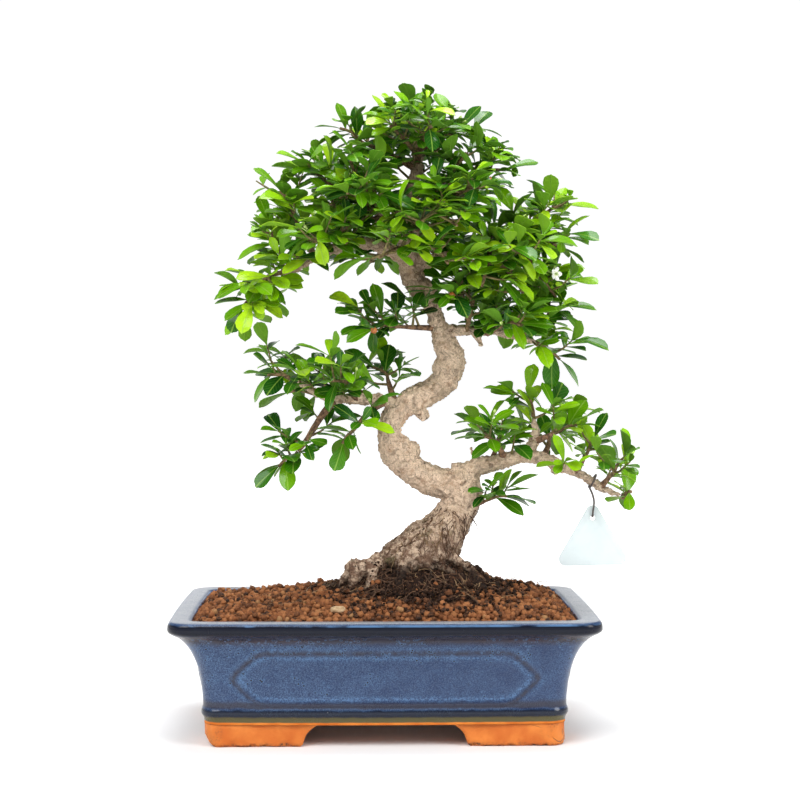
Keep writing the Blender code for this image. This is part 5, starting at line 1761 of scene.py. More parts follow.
@dataclass
class OldWood:
    """Trunk, thick limbs, stubs and surface roots, grown together, with pitted bark."""

    routes: TreeRoutes
    roots: SurfaceRoots
    voxel: float = 0.92 * MM
    thick: float = 3.1
    foot_sides: int = 28
    foot_step: float = 5 * MM
    bar_step: float = 4 * MM
    thin_step: float = 3.2 * MM
    root_step: float = 3 * MM
    root_cuts: int = 24
    stub_shape: tuple = ((0.0, 1.15), (0.35, 1.0), (0.7, 1.04), (0.92, 1.1), (1.0, 0.72))
    old_levels: tuple = (128 * MM, 178 * MM)
    bark_from: float = 99 * MM
    bare_roots: tuple = (
        ((2, -10, 113, 6.5), (-8, -14, 115, 5.6), (-17, -16, 118, 5.0), (-23, -16, 118.5, 4.2),
         (-26, -16, 116, 2.6)),
        ((-17, -17, 117, 3.4), (-22, -20, 110, 2.3), (-25, -21, 103, 1.6), (-30, -22, 99, 1.2)),
        ((-22, -14, 116, 2.8), (-28, -13, 109, 2.0), (-33, -13, 101, 1.4)),
        ((48, -14, 124, 4), (57, -20, 120, 3.4), (64, -24, 113, 2.9), (69, -28, 104, 2.2),
         (71, -30, 98, 1.5)),
        ((12, -20, 122, 2.6), (17, -25, 113, 2.2), (18, -28, 106, 1.8), (22, -36, 101, 1.3)))
    burls: tuple = ((18.5, -7, 200.5, 8.6), (12, -7, 205, 8.2), (66, -3, 171, 6.0), (44, 5, 262, 9.0),
                    (27, -1, 316, 7.2), (50, -3, 159, 9.0), (44, -8, 148, 9.0), (9, -7, 229, 7.6),
                    (31, -2, 176, 8.4), (56, -6, 178, 8.0))
    knots: tuple = ((13, -15.4, 191, 3.2), (39, -6.5, 246, 3.4), (14.5, -13, 205, 2.4),
                    (24, -7.5, 327, 2.4), (50, 14, 262, 3.0), (8, 2, 214, 2.8))

    def old_roots(self) -> list[Run]:
        """The stout old roots that stand out of the peat: a pale knob on the left, one on the right."""
        return [smooth_run(in_metres(rows), self.root_step) for rows in self.bare_roots]

    def foot(self) -> bpy.types.Object:
        """The leaning foot of the trunk, from the peat up to the fork, its rings level.

        Returns:
            The foot of the trunk.
        """
        centres, radii = self.routes.trunk_run(self.routes.lower_trunk, self.foot_step)
        bpy.ops.mesh.primitive_circle_add(vertices=self.foot_sides, radius=radii[0], fill_type="NGON",
                                          location=centres[0])
        foot = bpy.context.object
        only(foot)
        bpy.ops.object.mode_set(mode="EDIT")
        bpy.ops.mesh.select_all(action="SELECT")
        for (before, after), (old, new) in zip(zip(centres, centres[1:]), zip(radii, radii[1:])):
            bpy.ops.mesh.extrude_region_move(TRANSFORM_OT_translate={"value": tuple(after - before)})
            bpy.ops.transform.resize(value=(new / old, new / old, 1.0), center_override=tuple(after))
        bpy.ops.mesh.select_all(action="SELECT")
        bpy.ops.mesh.normals_make_consistent(inside=False)
        bpy.ops.object.mode_set(mode="OBJECT")
        settle(foot)
        return foot

    def bars(self) -> list[Run]:
        """The upper trunk, the thick limbs with swollen collars, the stubs and the roots.

        Returns:
            The centres and radii of each bar.
        """
        bars = [self.routes.trunk_run(self.routes.upper_trunk, self.bar_step)]
        for limb in self.routes.limbs().values():
            if limb.butt > self.thick:
                centres, radii = self.routes.limb_run(limb, self.bar_step)
                swollen = [r * (1.0 + 0.35 * math.exp(-i / 1.6)) for i, r in enumerate(radii)]
                bars.append((centres, swollen))
        for stub in self.routes.stubs():
            start, end = mm(stub.start), mm(stub.end)
            bars.append(([start.lerp(end, s) for s, _ in self.stub_shape],
                         [(stub.butt + (stub.tip - stub.butt) * s) * MM * w for s, w in self.stub_shape]))
        for angle, reach, thickness in self.roots.roots:
            centres, radii = self.roots.run(angle, reach, thickness, self.root_cuts)
            uneven = [r * (0.78 + 0.5 * noise.noise(c * 150.0)) for c, r in zip(centres, radii)]
            bars.append((centres, uneven))
        return bars + self.old_roots()

    def build(self, finish: bpy.types.Material) -> bpy.types.Object:
        """The whole piece of old wood, its bark raised in its surface.

        Args:
            finish: the bark.

        Returns:
            The old wood.
        """
        wood = self.foot()
        lumps = [curve_mesh("bars", self.bars(), 12)]
        for x, y, z, radius in self.burls + self.knots:
            bpy.ops.mesh.primitive_ico_sphere_add(subdivisions=2, radius=radius * MM, location=mm((x, y, z)))
            settle(bpy.context.object)
            lumps.append(bpy.context.object)
        join(wood, lumps)
        label(wood, "old_wood")
        voxels(wood, "grown together", self.voxel)
        softer = wood.modifiers.new("softer", "SMOOTH")
        softer.factor = 0.5
        softer.iterations = 2
        apply_all(wood)
        coat(wood, finish)
        self.raise_bark(wood)
        return wood

    def raise_bark(self, wood: bpy.types.Object) -> None:
        """Move each point along its normal by the bark's lumps, pits and the foot's furrows.

        Args:
            wood: the old wood, still smooth.
        """
        scars = [(mm(knot[:3]), knot[3] * MM) for knot in self.knots]
        age, scar, moved = [], [], []
        for place, normal in surface(wood):
            old = 1.0 - ease(place.z + 0.35 * (place.x - 20 * MM), *self.old_levels)
            rise = 1.3 * noise.noise(place * 62.0) + 1.0 * noise.noise(place * 150.0)
            rise += 0.9 * noise.noise(place * 330.0) + 1.1 * noise.noise(place * 660.0)
            pit = ease(noise.noise(place * 230.0 + Vector((3.0, 1.0, 7.0))), 0.30, 0.55)
            rise -= 1.0 * pit
            rise += old * (2.4 * noise.noise(place * 80.0) + 1.2 * noise.noise(place * 260.0))
            stringy = Vector((place.x * 420.0, place.y * 420.0, place.z * 90.0))
            rise += old * 1.5 * abs(noise.noise(stringy))
            worst = 0.0
            for centre, radius in scars:
                away = (place - centre).length / radius
                if away < 2.2:
                    rise += 0.9 * math.exp(-((away - 1.15) / 0.4) ** 2) - 1.4 * math.exp(-(away / 0.6) ** 2)
                    worst = max(worst, math.exp(-(away / 0.85) ** 4))
            moved.append(place + normal * (rise * MM if place.z > self.bark_from else 0.0))
            age.append(old)
            scar.append(max(worst, 0.5 * pit))
        put_points(wood, moved)
        set_mark(wood, "age", age)
        set_mark(wood, "scar", scar)

    def thin_limbs(self) -> list[Run]:
        """The limbs too thin for the old wood, each started well inside what bears it.

        Returns:
            The centres and radii of each limb.
        """
        runs = []
        for limb in self.routes.limbs().values():
            if limb.butt <= self.thick:
                centres, radii = self.routes.limb_run(limb, self.thin_step)
                uneven = [r * (1.0 + 0.30 * math.exp(-i / 1.3) + 0.16 * noise.noise(c * 260.0))
                          for i, (c, r) in enumerate(zip(centres, radii))]
                runs.append((centres, uneven))
        return runs


# Leaves

class Leaf(NamedTuple):
    """One leaf: its foot, the way it points, its upper side, its size and how young it is."""

    foot: Vector
    along: Vector
    up: Vector
    length: float
    width: float
    mirrored: bool
    tone: float = 0.4


class Spray(NamedTuple):
    """A leafy spray: its twigs, the stalks of its green shoots, its large leaves and small ones."""

    name: str
    twigs: list[Run]
    shoots: list[Run]
    leaves: list[Leaf]
    small: list[Leaf]


class Filler(NamedTuple):
    """A further twig of a spray: the spray's name, and its route off the limb in mm."""

    spray: str
    route: tuple


@dataclass(frozen=True)
class BladeGrid:
    """The grid of points that a blade is drawn with, for a wedge-shaped and an oval outline."""

    rows: tuple
    wedge: tuple
    oval: tuple
    columns: tuple

    def points(self, widths: Sequence[float]) -> tuple[np.ndarray, np.ndarray]:
        """The length share and the side share of each point of a blade of this outline.

        Args:
            widths: the half widths along the blade.

        Returns:
            Both shares, one for each point.
        """
        shares, sides = [], []
        last = len(self.rows) - 1
        for row, (share, width) in enumerate(zip(self.rows, widths)):
            for side in self.columns:
                notch = 0.02 if row == last and side == 0.0 else 0.0
                shares.append(share - notch - 0.05 * share ** 8 * side * side)
                sides.append(side * width)
        return np.array(shares), np.array(sides)

    def faces(self) -> list[tuple[int, ...]]:
        """The faces of a blade's two sides and its rim, the lower side's points last.

        Returns:
            The point numbers of each face.
        """
        across = len(self.columns)
        upper = [(r * across + c, r * across + c + 1, (r + 1) * across + c + 1, (r + 1) * across + c)
                 for r in range(len(self.rows) - 1) for c in range(across - 1)]
        count = len(self.rows) * across
        faces = [face[::-1] for face in upper]
        faces += [tuple(k + count for k in face) for face in upper]
        last = (len(self.rows) - 1) * across
        rim = list(range(across)) + [r * across + across - 1 for r in range(1, len(self.rows))]
        rim += [last + c for c in range(across - 2, -1, -1)]
        rim += [r * across for r in range(len(self.rows) - 2, 0, -1)]
        faces += [(a, b, b + count, a + count) for a, b in zip(rim, rim[1:] + rim[:1])]
        return faces


LARGE_BLADE = BladeGrid((0.0, 0.10, 0.24, 0.40, 0.56, 0.71, 0.84, 0.94, 1.0),
                        (0.06, 0.13, 0.36, 0.64, 0.87, 1.0, 0.95, 0.70, 0.30),
                        (0.06, 0.20, 0.58, 0.88, 1.0, 0.95, 0.74, 0.44, 0.14), (-1.0, -0.52, 0.0, 0.52, 1.0))
SMALL_BLADE = BladeGrid((0.0, 0.11, 0.27, 0.46, 0.66, 0.84, 0.96, 1.02),
                        (0.07, 0.12, 0.30, 0.62, 0.92, 1.0, 0.72, 0.30),
                        (0.07, 0.18, 0.54, 0.88, 1.0, 0.84, 0.46, 0.14), (-1.0, 0.0, 1.0))


class Thicket:
    """What already grows where, so that a new leaf can be kept clear of it."""

    def __init__(self, cell: float) -> None:
        """Start with nothing.

        Args:
            cell: the size of the cells that things are looked up by, in metres.
        """
        self.cell = cell
        self.held: dict[tuple[int, ...], list[BVHTree]] = {}

    def cells(self, spot: Vector, reach: float) -> list[tuple[int, ...]]:
        """The cells that a thing round a spot may touch.

        Args:
            spot: the thing's middle.
            reach: how far it reaches.

        Returns:
            The cells.
        """
        spans = [range(math.floor((v - reach) / self.cell), math.floor((v + reach) / self.cell) + 1)
                 for v in spot]
        return list(itertools.product(*spans))

    def add(self, spot: Vector, reach: float, shape: BVHTree) -> None:
        """Remember a shape that reaches this far round a spot."""
        for cell in self.cells(spot, reach):
            self.held.setdefault(cell, []).append(shape)

    def clear(self, spot: Vector, reach: float, shape: BVHTree) -> bool:
        """Whether a shape crosses nothing that is there."""
        near = {id(other): other for cell in self.cells(spot, reach) for other in self.held.get(cell, ())}
        return not any(shape.overlap(other) for other in near.values())


@dataclass
class LeafRule:
    """The rule that places the leaves of the solids, and the clearances that it keeps."""

    routes: TreeRoutes
    fold: float = 0.16
    droop: float = 0.20
    outline: tuple = ((0.0, 0.0), (0.52, 0.82), (0.82, 0.96), (1.00, 0.32), (0.96, -0.42), (0.66, -1.00))
    middle: tuple = (0.50, 0.0)
    lengths: tuple = (18.0 * MM, 27.0 * MM)
    aspects: tuple = (0.46, 0.58)
    tries: int = 16
    per_spray: int = 6
    first: float = 0.16
    tip_sink: float = 0.8 * MM
    side_spread: tuple = (0.75, 1.25)
    tip_spread: tuple = (0.15, 0.45)
    try_turn: tuple = (0.5, 1.3)
    try_shrink: float = 0.35
    sky_lean: float = 0.12
    sky_x: tuple = (-0.5, 0.5)
    sky_y: tuple = (-0.75, 0.25)
    guard_blade: float = 1.7 * MM
    guard_grow: float = 1.05
    guard_start: float = 0.22
    guard_sides: int = 6
    guard_widen: float = 1.2
    wood_margin: float = 0.9 * MM
    tie_margin: float = 2.0 * MM
    tie_place: tuple = (151.0, -13.7, 177.8)
    tie_hook: float = 153.4
    touch: float = 0.3 * MM
    leaf_reach: float = 18.0 * MM
    cell: float = 30.0 * MM
    twig_tip: float = 1.1 * MM
    twig_knee: float = 0.3
    twig_bend: float = 0.62
    twig_rise: float = 0.08
    twig_taper: tuple = (1.0, 0.9, 0.8)
    low: tuple = (-127.0, -101.5, 150.0)
    high: tuple = (182.0, 101.5, 466.0)

    def point(self, leaf: Leaf, share: float, side: float) -> Vector:
        """A point on the leaf's middle surface, from shares of its length and half width.

        Args:
            leaf: the leaf.
            share: the share of its length.
            side: the share of its half width.

        Returns:
            The point.
        """
        across = leaf.along.cross(leaf.up)
        half = leaf.width / 2
        if leaf.mirrored:
            side = -side
        rise = self.fold * abs(side) * half - self.droop * leaf.length * max(share, 0.0) ** 2
        return leaf.foot + leaf.along * (leaf.length * share) + across * (half * side) + leaf.up * rise

    def guard(self, leaf: Leaf, thickness: float | None = None) -> tuple[Vector, BVHTree]:
        """The leaf's middle and a thick copy of its blade, for finding crossings.

        Args:
            leaf: the leaf.
            thickness: how thick the copy is, in metres.

        Returns:
            The middle and the copy.
        """
        thickness = thickness or self.guard_blade
        outline = [(share * self.guard_grow, side * self.guard_grow) for share, side in self.outline]
        outline[0] = (self.guard_start, 0.0)
        tops = [self.point(leaf, share, side) for share, side in outline]
        tops.append(self.point(leaf, *self.middle))
        lift = leaf.up * (thickness / 2)
        points = [p + lift for p in tops] + [p - lift for p in tops]
        count = len(outline)
        faces = []
        for k in range(count):
            nxt = (k + 1) % count
            faces.append((k, nxt, count))
            faces.append((nxt + count + 1, k + count + 1, 2 * count + 1))
            faces.append((k, k + count + 1, nxt + count + 1))
            faces.append((k, nxt + count + 1, nxt))
        return points[count], BVHTree.FromPolygons(points, faces)

    def add_tube(self, thicket: Thicket, centres: list[Vector], radii: list[float]) -> None:
        """Remember open tubes round a run of wood, wider than it by the clearance.

        Args:
            thicket: what grows where.
            centres: the wood's centres.
            radii: its radii.
        """
        rings = []
        for i, centre in enumerate(centres):
            along = (centres[min(i + 1, len(centres) - 1)] - centres[max(i - 1, 0)]).normalized()
            across = along.orthogonal().normalized()
            aside = along.cross(across)
            reach = (radii[i] + self.wood_margin) * self.guard_widen
            turns = [math.tau * k / self.guard_sides for k in range(self.guard_sides)]
            rings.append([centre + fan(across, aside, turn) * reach for turn in turns])
        sides = self.guard_sides
        faces = [(k, (k + 1) % sides, sides + (k + 1) % sides, sides + k) for k in range(sides)]
        for (low, high), (start, end) in zip(zip(rings, rings[1:]), zip(centres, centres[1:])):
            middle = start.lerp(end, 0.5)
            reach = max((point - middle).length for point in low + high)
            thicket.add(middle, reach, BVHTree.FromPolygons(low + high, faces))

    def twig(self, name: str) -> Run:
        """A spray's main twig: from just off its limb's tip to its end, bowed upwards.

        Args:
            name: the spray's name.

        Returns:
            The twig's centres and radii.
        """
        if name == "upper_trunk":
            centres, radii = self.routes.trunk_run(self.routes.upper_trunk)
        else:
            centres, radii = self.routes.limb_run(self.routes.limbs()[name])
        tip, before = centres[-1], centres[-2]
        out = (tip - before).normalized()
        start = tip + out * self.touch
        end = mm(self.routes.sprays()[name])
        reach = (end - start).length
        knee = start + out * (reach * self.twig_knee)
        bend = start.lerp(end, self.twig_bend) + Vector((0, 0, self.twig_rise * reach))
        return [start, knee, bend, end], [radii[-1] * share for share in self.twig_taper] + [self.twig_tip]

    def try_leaf(self, rng: random.Random, foot: Vector, along: Vector, turn: float, spread: float,
                 scale: float) -> Leaf:
        """A leaf that leans off its twig by a spread, its upper side turned to the sky.

        Args:
            rng: the random draws.
            foot: where the leaf is joined.
            along: the way of the twig there.
            turn: how far round the twig it stands.
            spread: how far it leans off.
            scale: how much of its full size it has.

        Returns:
            The leaf.
        """
        aside = along.cross(Vector((0, 0, 1)))
        aside = aside.normalized() if aside.length > 0.1 else along.orthogonal().normalized()
        over = aside.cross(along)
        way = fan(along, fan(aside, over, turn), spread) + Vector((0, 0, self.sky_lean))
        way.normalize()
        sky = Vector((rng.uniform(*self.sky_x), rng.uniform(*self.sky_y), 1.0))
        length = rng.uniform(*self.lengths) * scale
        width = length * rng.uniform(*self.aspects)
        return Leaf(foot, way, upper_side(way, sky), length, width, rng.random() < 0.5)

    def fits(self, leaf: Leaf) -> bool:
        """Whether the leaf stays within the tree's outline box."""
        tip = self.point(leaf, 1.0, 0.0)
        return all(low * MM <= value <= high * MM for low, value, high in zip(self.low, tip, self.high))

    def grow(self, rng: random.Random, run: Run, thicket: Thicket) -> list[Leaf]:
        """Leaves along a twig and at its tip, each clear of the wood and of those before it.

        Args:
            rng: the random draws.
            run: the twig's centres and radii.
            thicket: what grows where.

        Returns:
            The leaves that found room.
        """
        grown = []
        turn = rng.uniform(0, math.tau)
        for i in range(self.per_spray):
            share = self.first + (1.0 - self.first) * i / (self.per_spray - 1)
            at_tip = i == self.per_spray - 1
            place, along = point_on(run[0], share)
            foot = place - along * self.tip_sink if at_tip else place
            for attempt in range(self.tries):
                scale = 1.0 - self.try_shrink * attempt / self.tries
                spread = rng.uniform(*(self.tip_spread if at_tip else self.side_spread))
                leaf = self.try_leaf(rng, foot, along, turn, spread, scale)
                middle, guard = self.guard(leaf)
                if self.fits(leaf) and thicket.clear(middle, self.leaf_reach, guard):
                    thicket.add(middle, self.leaf_reach, guard)
                    grown.append(leaf)
                    break
                turn += rng.uniform(*self.try_turn)
            turn += GOLDEN_TURN
        return grown

    def add_wood(self, thicket: Thicket, twigs: dict[str, Run]) -> None:
        """Remember the trunk, the limbs, the stubs, the tie and the twigs.

        Args:
            thicket: what grows where.
            twigs: the sprays' main twigs by name.
        """
        routes = self.routes
        runs = [routes.trunk_run(routes.lower_trunk), routes.trunk_run(routes.upper_trunk)]
        runs += [routes.limb_run(limb) for limb in routes.limbs().values()]
        runs += [([mm(stub.start), mm(stub.end)], [stub.butt * MM, stub.tip * MM])
                 for stub in routes.stubs()]
        tie = mm(self.tie_place)
        runs.append(([tie, Vector((tie.x, tie.y, self.tie_hook * MM))], [self.tie_margin] * 2))
        for run in runs + list(twigs.values()):
            self.add_tube(thicket, *run)


def upper_side(way: Vector, sky: Vector) -> Vector:
    """The direction square to a leaf's way that faces the sky most."""
    up = sky - way * sky.dot(way)
    return (up if up.length >= 0.2 else way.orthogonal()).normalized()


def point_on(centres: list[Vector], share: float) -> tuple[Vector, Vector]:
    """The place a share of the way along a twig, and its direction there.

    Args:
        centres: the twig's centres.
        share: from 0 at its foot to 1 at its tip.

    Returns:
        The place and the direction.
    """
    lengths = [(b - a).length for a, b in zip(centres, centres[1:])]
    left = share * sum(lengths)
    for (a, b), length in zip(zip(centres, centres[1:]), lengths):
        if left <= length:
            return a.lerp(b, left / length), (b - a).normalized()
        left -= length
    return centres[-1], (centres[-1] - centres[-2]).normalized()


@dataclass
class Foliage:
    """The leafy sprays: the solids' own leaves made fine, and the many smaller shoots among them."""

    rule: LeafRule
    blade: float = 0.34 * MM
    crown_gap: float = 4.3 * MM
    pad_gap: float = 7.7 * MM
    gap_spread: tuple = (0.85, 1.5)
    airy: float = 2.35
    airy_from: float = 65.0 * MM
    airy_below: float = 250.0 * MM
    crown_from: float = 285.0 * MM
    dome: tuple = ((330, -124, 147), (361, -98, 152), (390, -98, 130), (412, -86, 104), (434, -44, 72),
                   (450, -12, 50), (468, 6, 34))
    dome_depth: float = 104.0
    shoot_lengths: tuple = (7.0, 25.0)
    shoot_leaves: tuple = (4, 8)
    small_lengths: tuple = (12.0, 27.0)
    small_aspects: tuple = (0.37, 0.55)
    small_folds: tuple = (0.10, 0.46)
    small_droops: tuple = (0.04, 0.46)
    small_guard: float = 0.7 * MM
    small_tries: int = 8
    small_turn: tuple = (0.4, 1.2)
    small_shrink: float = 0.05
    small_flat: float = 0.55
    small_lean: float = 0.05
    small_sky: tuple = ((0.6, 1.1), (0.1, 0.7), (-0.45, 0.45), (-0.75, 0.25))
    ripple: float = 0.07
    ripples: tuple = (5, 9)
    shoot_from: float = 0.24
    shoot_span: float = 0.74
    shoot_share: float = 0.8
    shoot_fewest: int = 3
    shoot_room: tuple = (0.1, 0.9)
    shoot_turn: float = 0.3
    shoot_lean: tuple = ((0.1, 0.7), (-0.1, 0.35))
    shoot_lift: float = 0.08
    shoot_sag: float = 0.06
    lowest_way: float = -0.35
    turned_up: float = -0.4
    rosette_from: float = 0.45
    rosette_span: float = 0.55
    rosette_open: float = 1.15
    rosette_close: float = 0.75
    rosette_spread: tuple = (0.8, 1.15)
    tip_younger: float = 0.22
    shoot_radii: tuple = (1.05 * MM, 0.85 * MM, 0.5 * MM)
    shoot_least: int = 2
    tone_centre: float = 20 * MM
    tone_reach: float = 110 * MM
    tone_spread: float = 0.25
    path_step: float = 6 * MM
    twig_step: float = 4 * MM
    filler_step: float = 8 * MM
    filler_radii: tuple = (1.9, 1.5, 1.0)
    twig_young: float = 0.12
    shoot_young: float = 0.3
    crease: float = math.radians(55)

    def plan(self) -> list[Spray]:
        """Every spray with the solids' leaves first and the small shoots after.

        Returns:
            The sprays.
        """
        rule = self.rule
        twigs = {name: rule.twig(name) for name in rule.routes.sprays()}
        thicket = Thicket(rule.cell)
        rule.add_wood(thicket, twigs)
        rng = random.Random(SEED + 2)
        main = {name: rule.grow(rng, run, thicket) for name, run in twigs.items()}
        rng = random.Random(SEED + 20)
        sprays = []
        for name, run in twigs.items():
            tone = rng.uniform(0.28, 0.6)
            grown = [leaf._replace(tone=self.tone_of(rng, leaf, tone)) for leaf in main[name]]
            extra = [self.filler_run(filler) for filler in self.fillers() if filler.spray == name]
            for centres, radii in extra:
                rule.add_tube(thicket, centres, radii)
            paths = [self.limb_path(name, run)] + [centres for centres, _ in extra]
            shoots, small = [], []
            for path in paths:
                born, leaves = self.grow_shoots(rng, path, thicket, tone)
                shoots.extend(born)
                small.extend(leaves)
            sprays.append(Spray(name, [run] + extra, shoots, grown, small))
        return sprays

    def filler_run(self, filler: Filler) -> Run:
        """The centres and radii of a further twig."""
        return smooth_run([(*mm(point), radius * MM)
                           for point, radius in zip(filler.route, self.filler_radii)], self.filler_step)

    @staticmethod
    def fillers() -> tuple[Filler, ...]:
        """The further twigs that close the crown, front and back.

        Returns:
            The twigs, each with the spray that it belongs to.
        """
        return (
            Filler("crown_front", ((21, -24, 352), (34, -42, 347), (44, -58, 334))),
            Filler("crown_front", ((20, -14, 348), (8, -38, 345), (-4, -56, 338))),
            Filler("right_high_front", ((76, -24, 345), (72, -42, 332), (68, -52, 318))),
            Filler("right_high_front", ((70, -12, 345.5), (88, -30, 330), (98, -42, 314))),
            Filler("upper_right", ((55, -4, 343), (52, -14, 328), (57, -24, 312))),
            Filler("upper_right", ((90, -7, 351), (108, -14, 332), (124, -16, 312))),
            Filler("under_right", ((60, -4, 288), (62, -20, 300), (64, -32, 312))),
            Filler("under_right", ((98, -11, 283), (112, -4, 294), (126, 2, 298))),
            Filler("crown_left_front", ((0, -22, 370), (-22, -36, 362), (-40, -46, 352))),
            Filler("crown_right_front", ((34, -20, 376), (42, -42, 368), (50, -60, 360))),
            Filler("upper_left", ((-23, -6, 350.5), (-30, -16, 366), (-38, -24, 382))),
            Filler("crown_left", ((-10, -5, 376), (-18, -18, 392), (-24, -30, 408))),
            Filler("crown_right", ((40, -4, 392), (50, -18, 404), (58, -30, 414))),
            Filler("top_front", ((25, -9, 414), (14, -26, 424), (4, -38, 432))),
            Filler("crown_back", ((16, 12, 347.5), (30, 34, 352), (40, 54, 346))),
            Filler("crown_back", ((15, 18, 350), (0, 40, 348), (-12, 58, 340))),
            Filler("right_high_back", ((71, 16, 346), (66, 34, 334), (62, 46, 320))),
            Filler("left_high_back", ((-43, 10, 352), (-30, 26, 362), (-20, 38, 370))),
            Filler("top_back", ((23, 10, 416), (34, 26, 420), (44, 40, 424))))

    def tone_of(self, rng: random.Random, leaf: Leaf, base: float) -> float:
        """How young and bright a leaf is, by its place in the crown and by chance."""
        out = math.hypot(leaf.foot.x - self.tone_centre, leaf.foot.y) / self.tone_reach
        return min(1.0, max(0.0, base - 0.20 + 0.34 * out + rng.gauss(0.0, self.tone_spread)))

    def limb_path(self, name: str, run: Run) -> list[Vector]:
        """The centres of a spray's limb and twig in one run.

        Args:
            name: the spray's name.
            run: its main twig.

        Returns:
            The centres.
        """
        routes = self.rule.routes
        if name == "upper_trunk":
            centres, _ = routes.trunk_run(routes.upper_trunk[-4:], self.path_step)
        else:
            centres, _ = routes.limb_run(routes.limbs()[name], self.path_step)
        return centres + run[0][1:]

    def within_crown(self, leaf: Leaf) -> bool:
        """Whether a leaf's tip lies within the crown's dome, from the sides and the front.

        Args:
            leaf: the leaf.

        Returns:
            Whether it does.
        """
        tip = self.rule.point(leaf, 1.0, 0.0) / MM
        if tip.z < self.dome[0][0]:
            return True
        levels, lefts, rights = zip(*self.dome)
        level = (tip.z - levels[0]) / (levels[-1] - levels[0])
        deep = self.dome_depth * math.sqrt(max(0.0, 1.0 - level ** 2))
        left, right = np.interp(tip.z, levels, lefts), np.interp(tip.z, levels, rights)
        return left < tip.x < right and abs(tip.y) < deep

    def grow_shoots(self, rng: random.Random, path: list[Vector], thicket: Thicket,
                    base: float) -> tuple[list[Run], list[Leaf]]:
        """Short green shoots with their leaves, all along the outer part of a path of wood.

        Args:
            rng: the random draws.
            path: the centres of the wood.
            thicket: what grows where.
            base: how young the spray is.

        Returns:
            The shoots and their leaves.
        """
        total = sum((b - a).length for a, b in zip(path, path[1:]))
        gap = self.crown_gap if path[-1].z > self.crown_from else self.pad_gap
        gap *= rng.uniform(*self.gap_spread)
        if path[-1].z < self.airy_below and path[-1].x > self.airy_from:
            gap *= self.airy
        count = max(self.shoot_fewest, int(total * self.shoot_share / gap))
        shoots, grown = [], []
        turn = rng.uniform(0, math.tau)
        for i in range(count):
            share = self.shoot_from + self.shoot_span * (i + rng.uniform(*self.shoot_room)) / count
            place, along = point_on(path, share)
            turn += GOLDEN_TURN + rng.uniform(-self.shoot_turn, self.shoot_turn)
            aside = along.orthogonal().normalized()
            over = aside.cross(along)
            out = fan(aside, over, turn)
            if out.z < self.lowest_way:
                out.z *= self.turned_up
            ahead, upwards = self.shoot_lean
            way = (along * rng.uniform(*ahead) + out + UP * rng.uniform(*upwards)).normalized()
            reach = rng.uniform(*self.shoot_lengths) * MM
            end = place + way * reach + UP * (self.shoot_lift * reach)
            middle = place.lerp(end, 0.5) - UP * (self.shoot_sag * reach)
            stalk = [place, middle, end]
            born = self.dress_shoot(rng, stalk, thicket, base)
            if len(born) >= self.shoot_least:
                shoots.append((stalk, list(self.shoot_radii)))
                grown.extend(born)
        return shoots, grown

    def dress_shoot(self, rng: random.Random, stalk: list[Vector], thicket: Thicket,
                    base: float) -> list[Leaf]:
        """The leaves of one small shoot, in a loose rosette towards its tip.

        Args:
            rng: the random draws.
            stalk: the shoot's centres.
            thicket: what grows where.
            base: how young the spray is.

        Returns:
            The leaves that found room.
        """
        count = rng.randint(*self.shoot_leaves)
        turn = rng.uniform(0, math.tau)
        born = []
        heading = (stalk[-1] - stalk[0]).normalized()
        for i in range(count):
            share = self.rosette_from + self.rosette_span * (i + 1) / count
            place, along = point_on(stalk, share)
            spread = self.rosette_open - self.rosette_close * i / count
            spread *= rng.uniform(*self.rosette_spread)
            for attempt in range(self.small_tries):
                leaf = self.small_leaf(rng, place, along, heading, turn, spread, attempt)
                middle, guard = self.rule.guard(leaf, self.small_guard)
                inside = self.rule.fits(leaf) and self.within_crown(leaf)
                if inside and thicket.clear(middle, self.rule.leaf_reach, guard):
                    thicket.add(middle, self.rule.leaf_reach, guard)
                    tone = self.tone_of(rng, leaf, base + self.tip_younger * i / count)
                    born.append(leaf._replace(tone=tone))
                    break
                turn += rng.uniform(*self.small_turn)
            turn += GOLDEN_TURN
        return born

    def small_leaf(self, rng: random.Random, foot: Vector, along: Vector, heading: Vector, turn: float,
                   spread: float, attempt: int) -> Leaf:
        """A leaf of a small shoot, its upper side turned to the sky and the shoot's tip.

        Args:
            rng: the random draws.
            foot: where the leaf is joined.
            along: the way of the shoot there.
            heading: the way of the whole shoot.
            turn: how far round it the leaf stands.
            spread: how far the leaf leans off.
            attempt: how often it was tried before.

        Returns:
            The leaf.
        """
        aside = along.orthogonal().normalized()
        over = aside.cross(along)
        way = fan(along, fan(aside, over, turn), spread)
        way.z = self.small_flat * way.z + self.small_lean
        way.normalize()
        upwards, tipwards, sideways, backwards = self.small_sky
        sky = UP * rng.uniform(*upwards) + heading * rng.uniform(*tipwards)
        sky += Vector((rng.uniform(*sideways), rng.uniform(*backwards), 0.0))
        length = rng.uniform(*self.small_lengths) * MM * (1.0 - self.small_shrink * attempt)
        width = length * rng.uniform(*self.small_aspects)
        return Leaf(foot, way, upper_side(way, sky), length, width, rng.random() < 0.5)

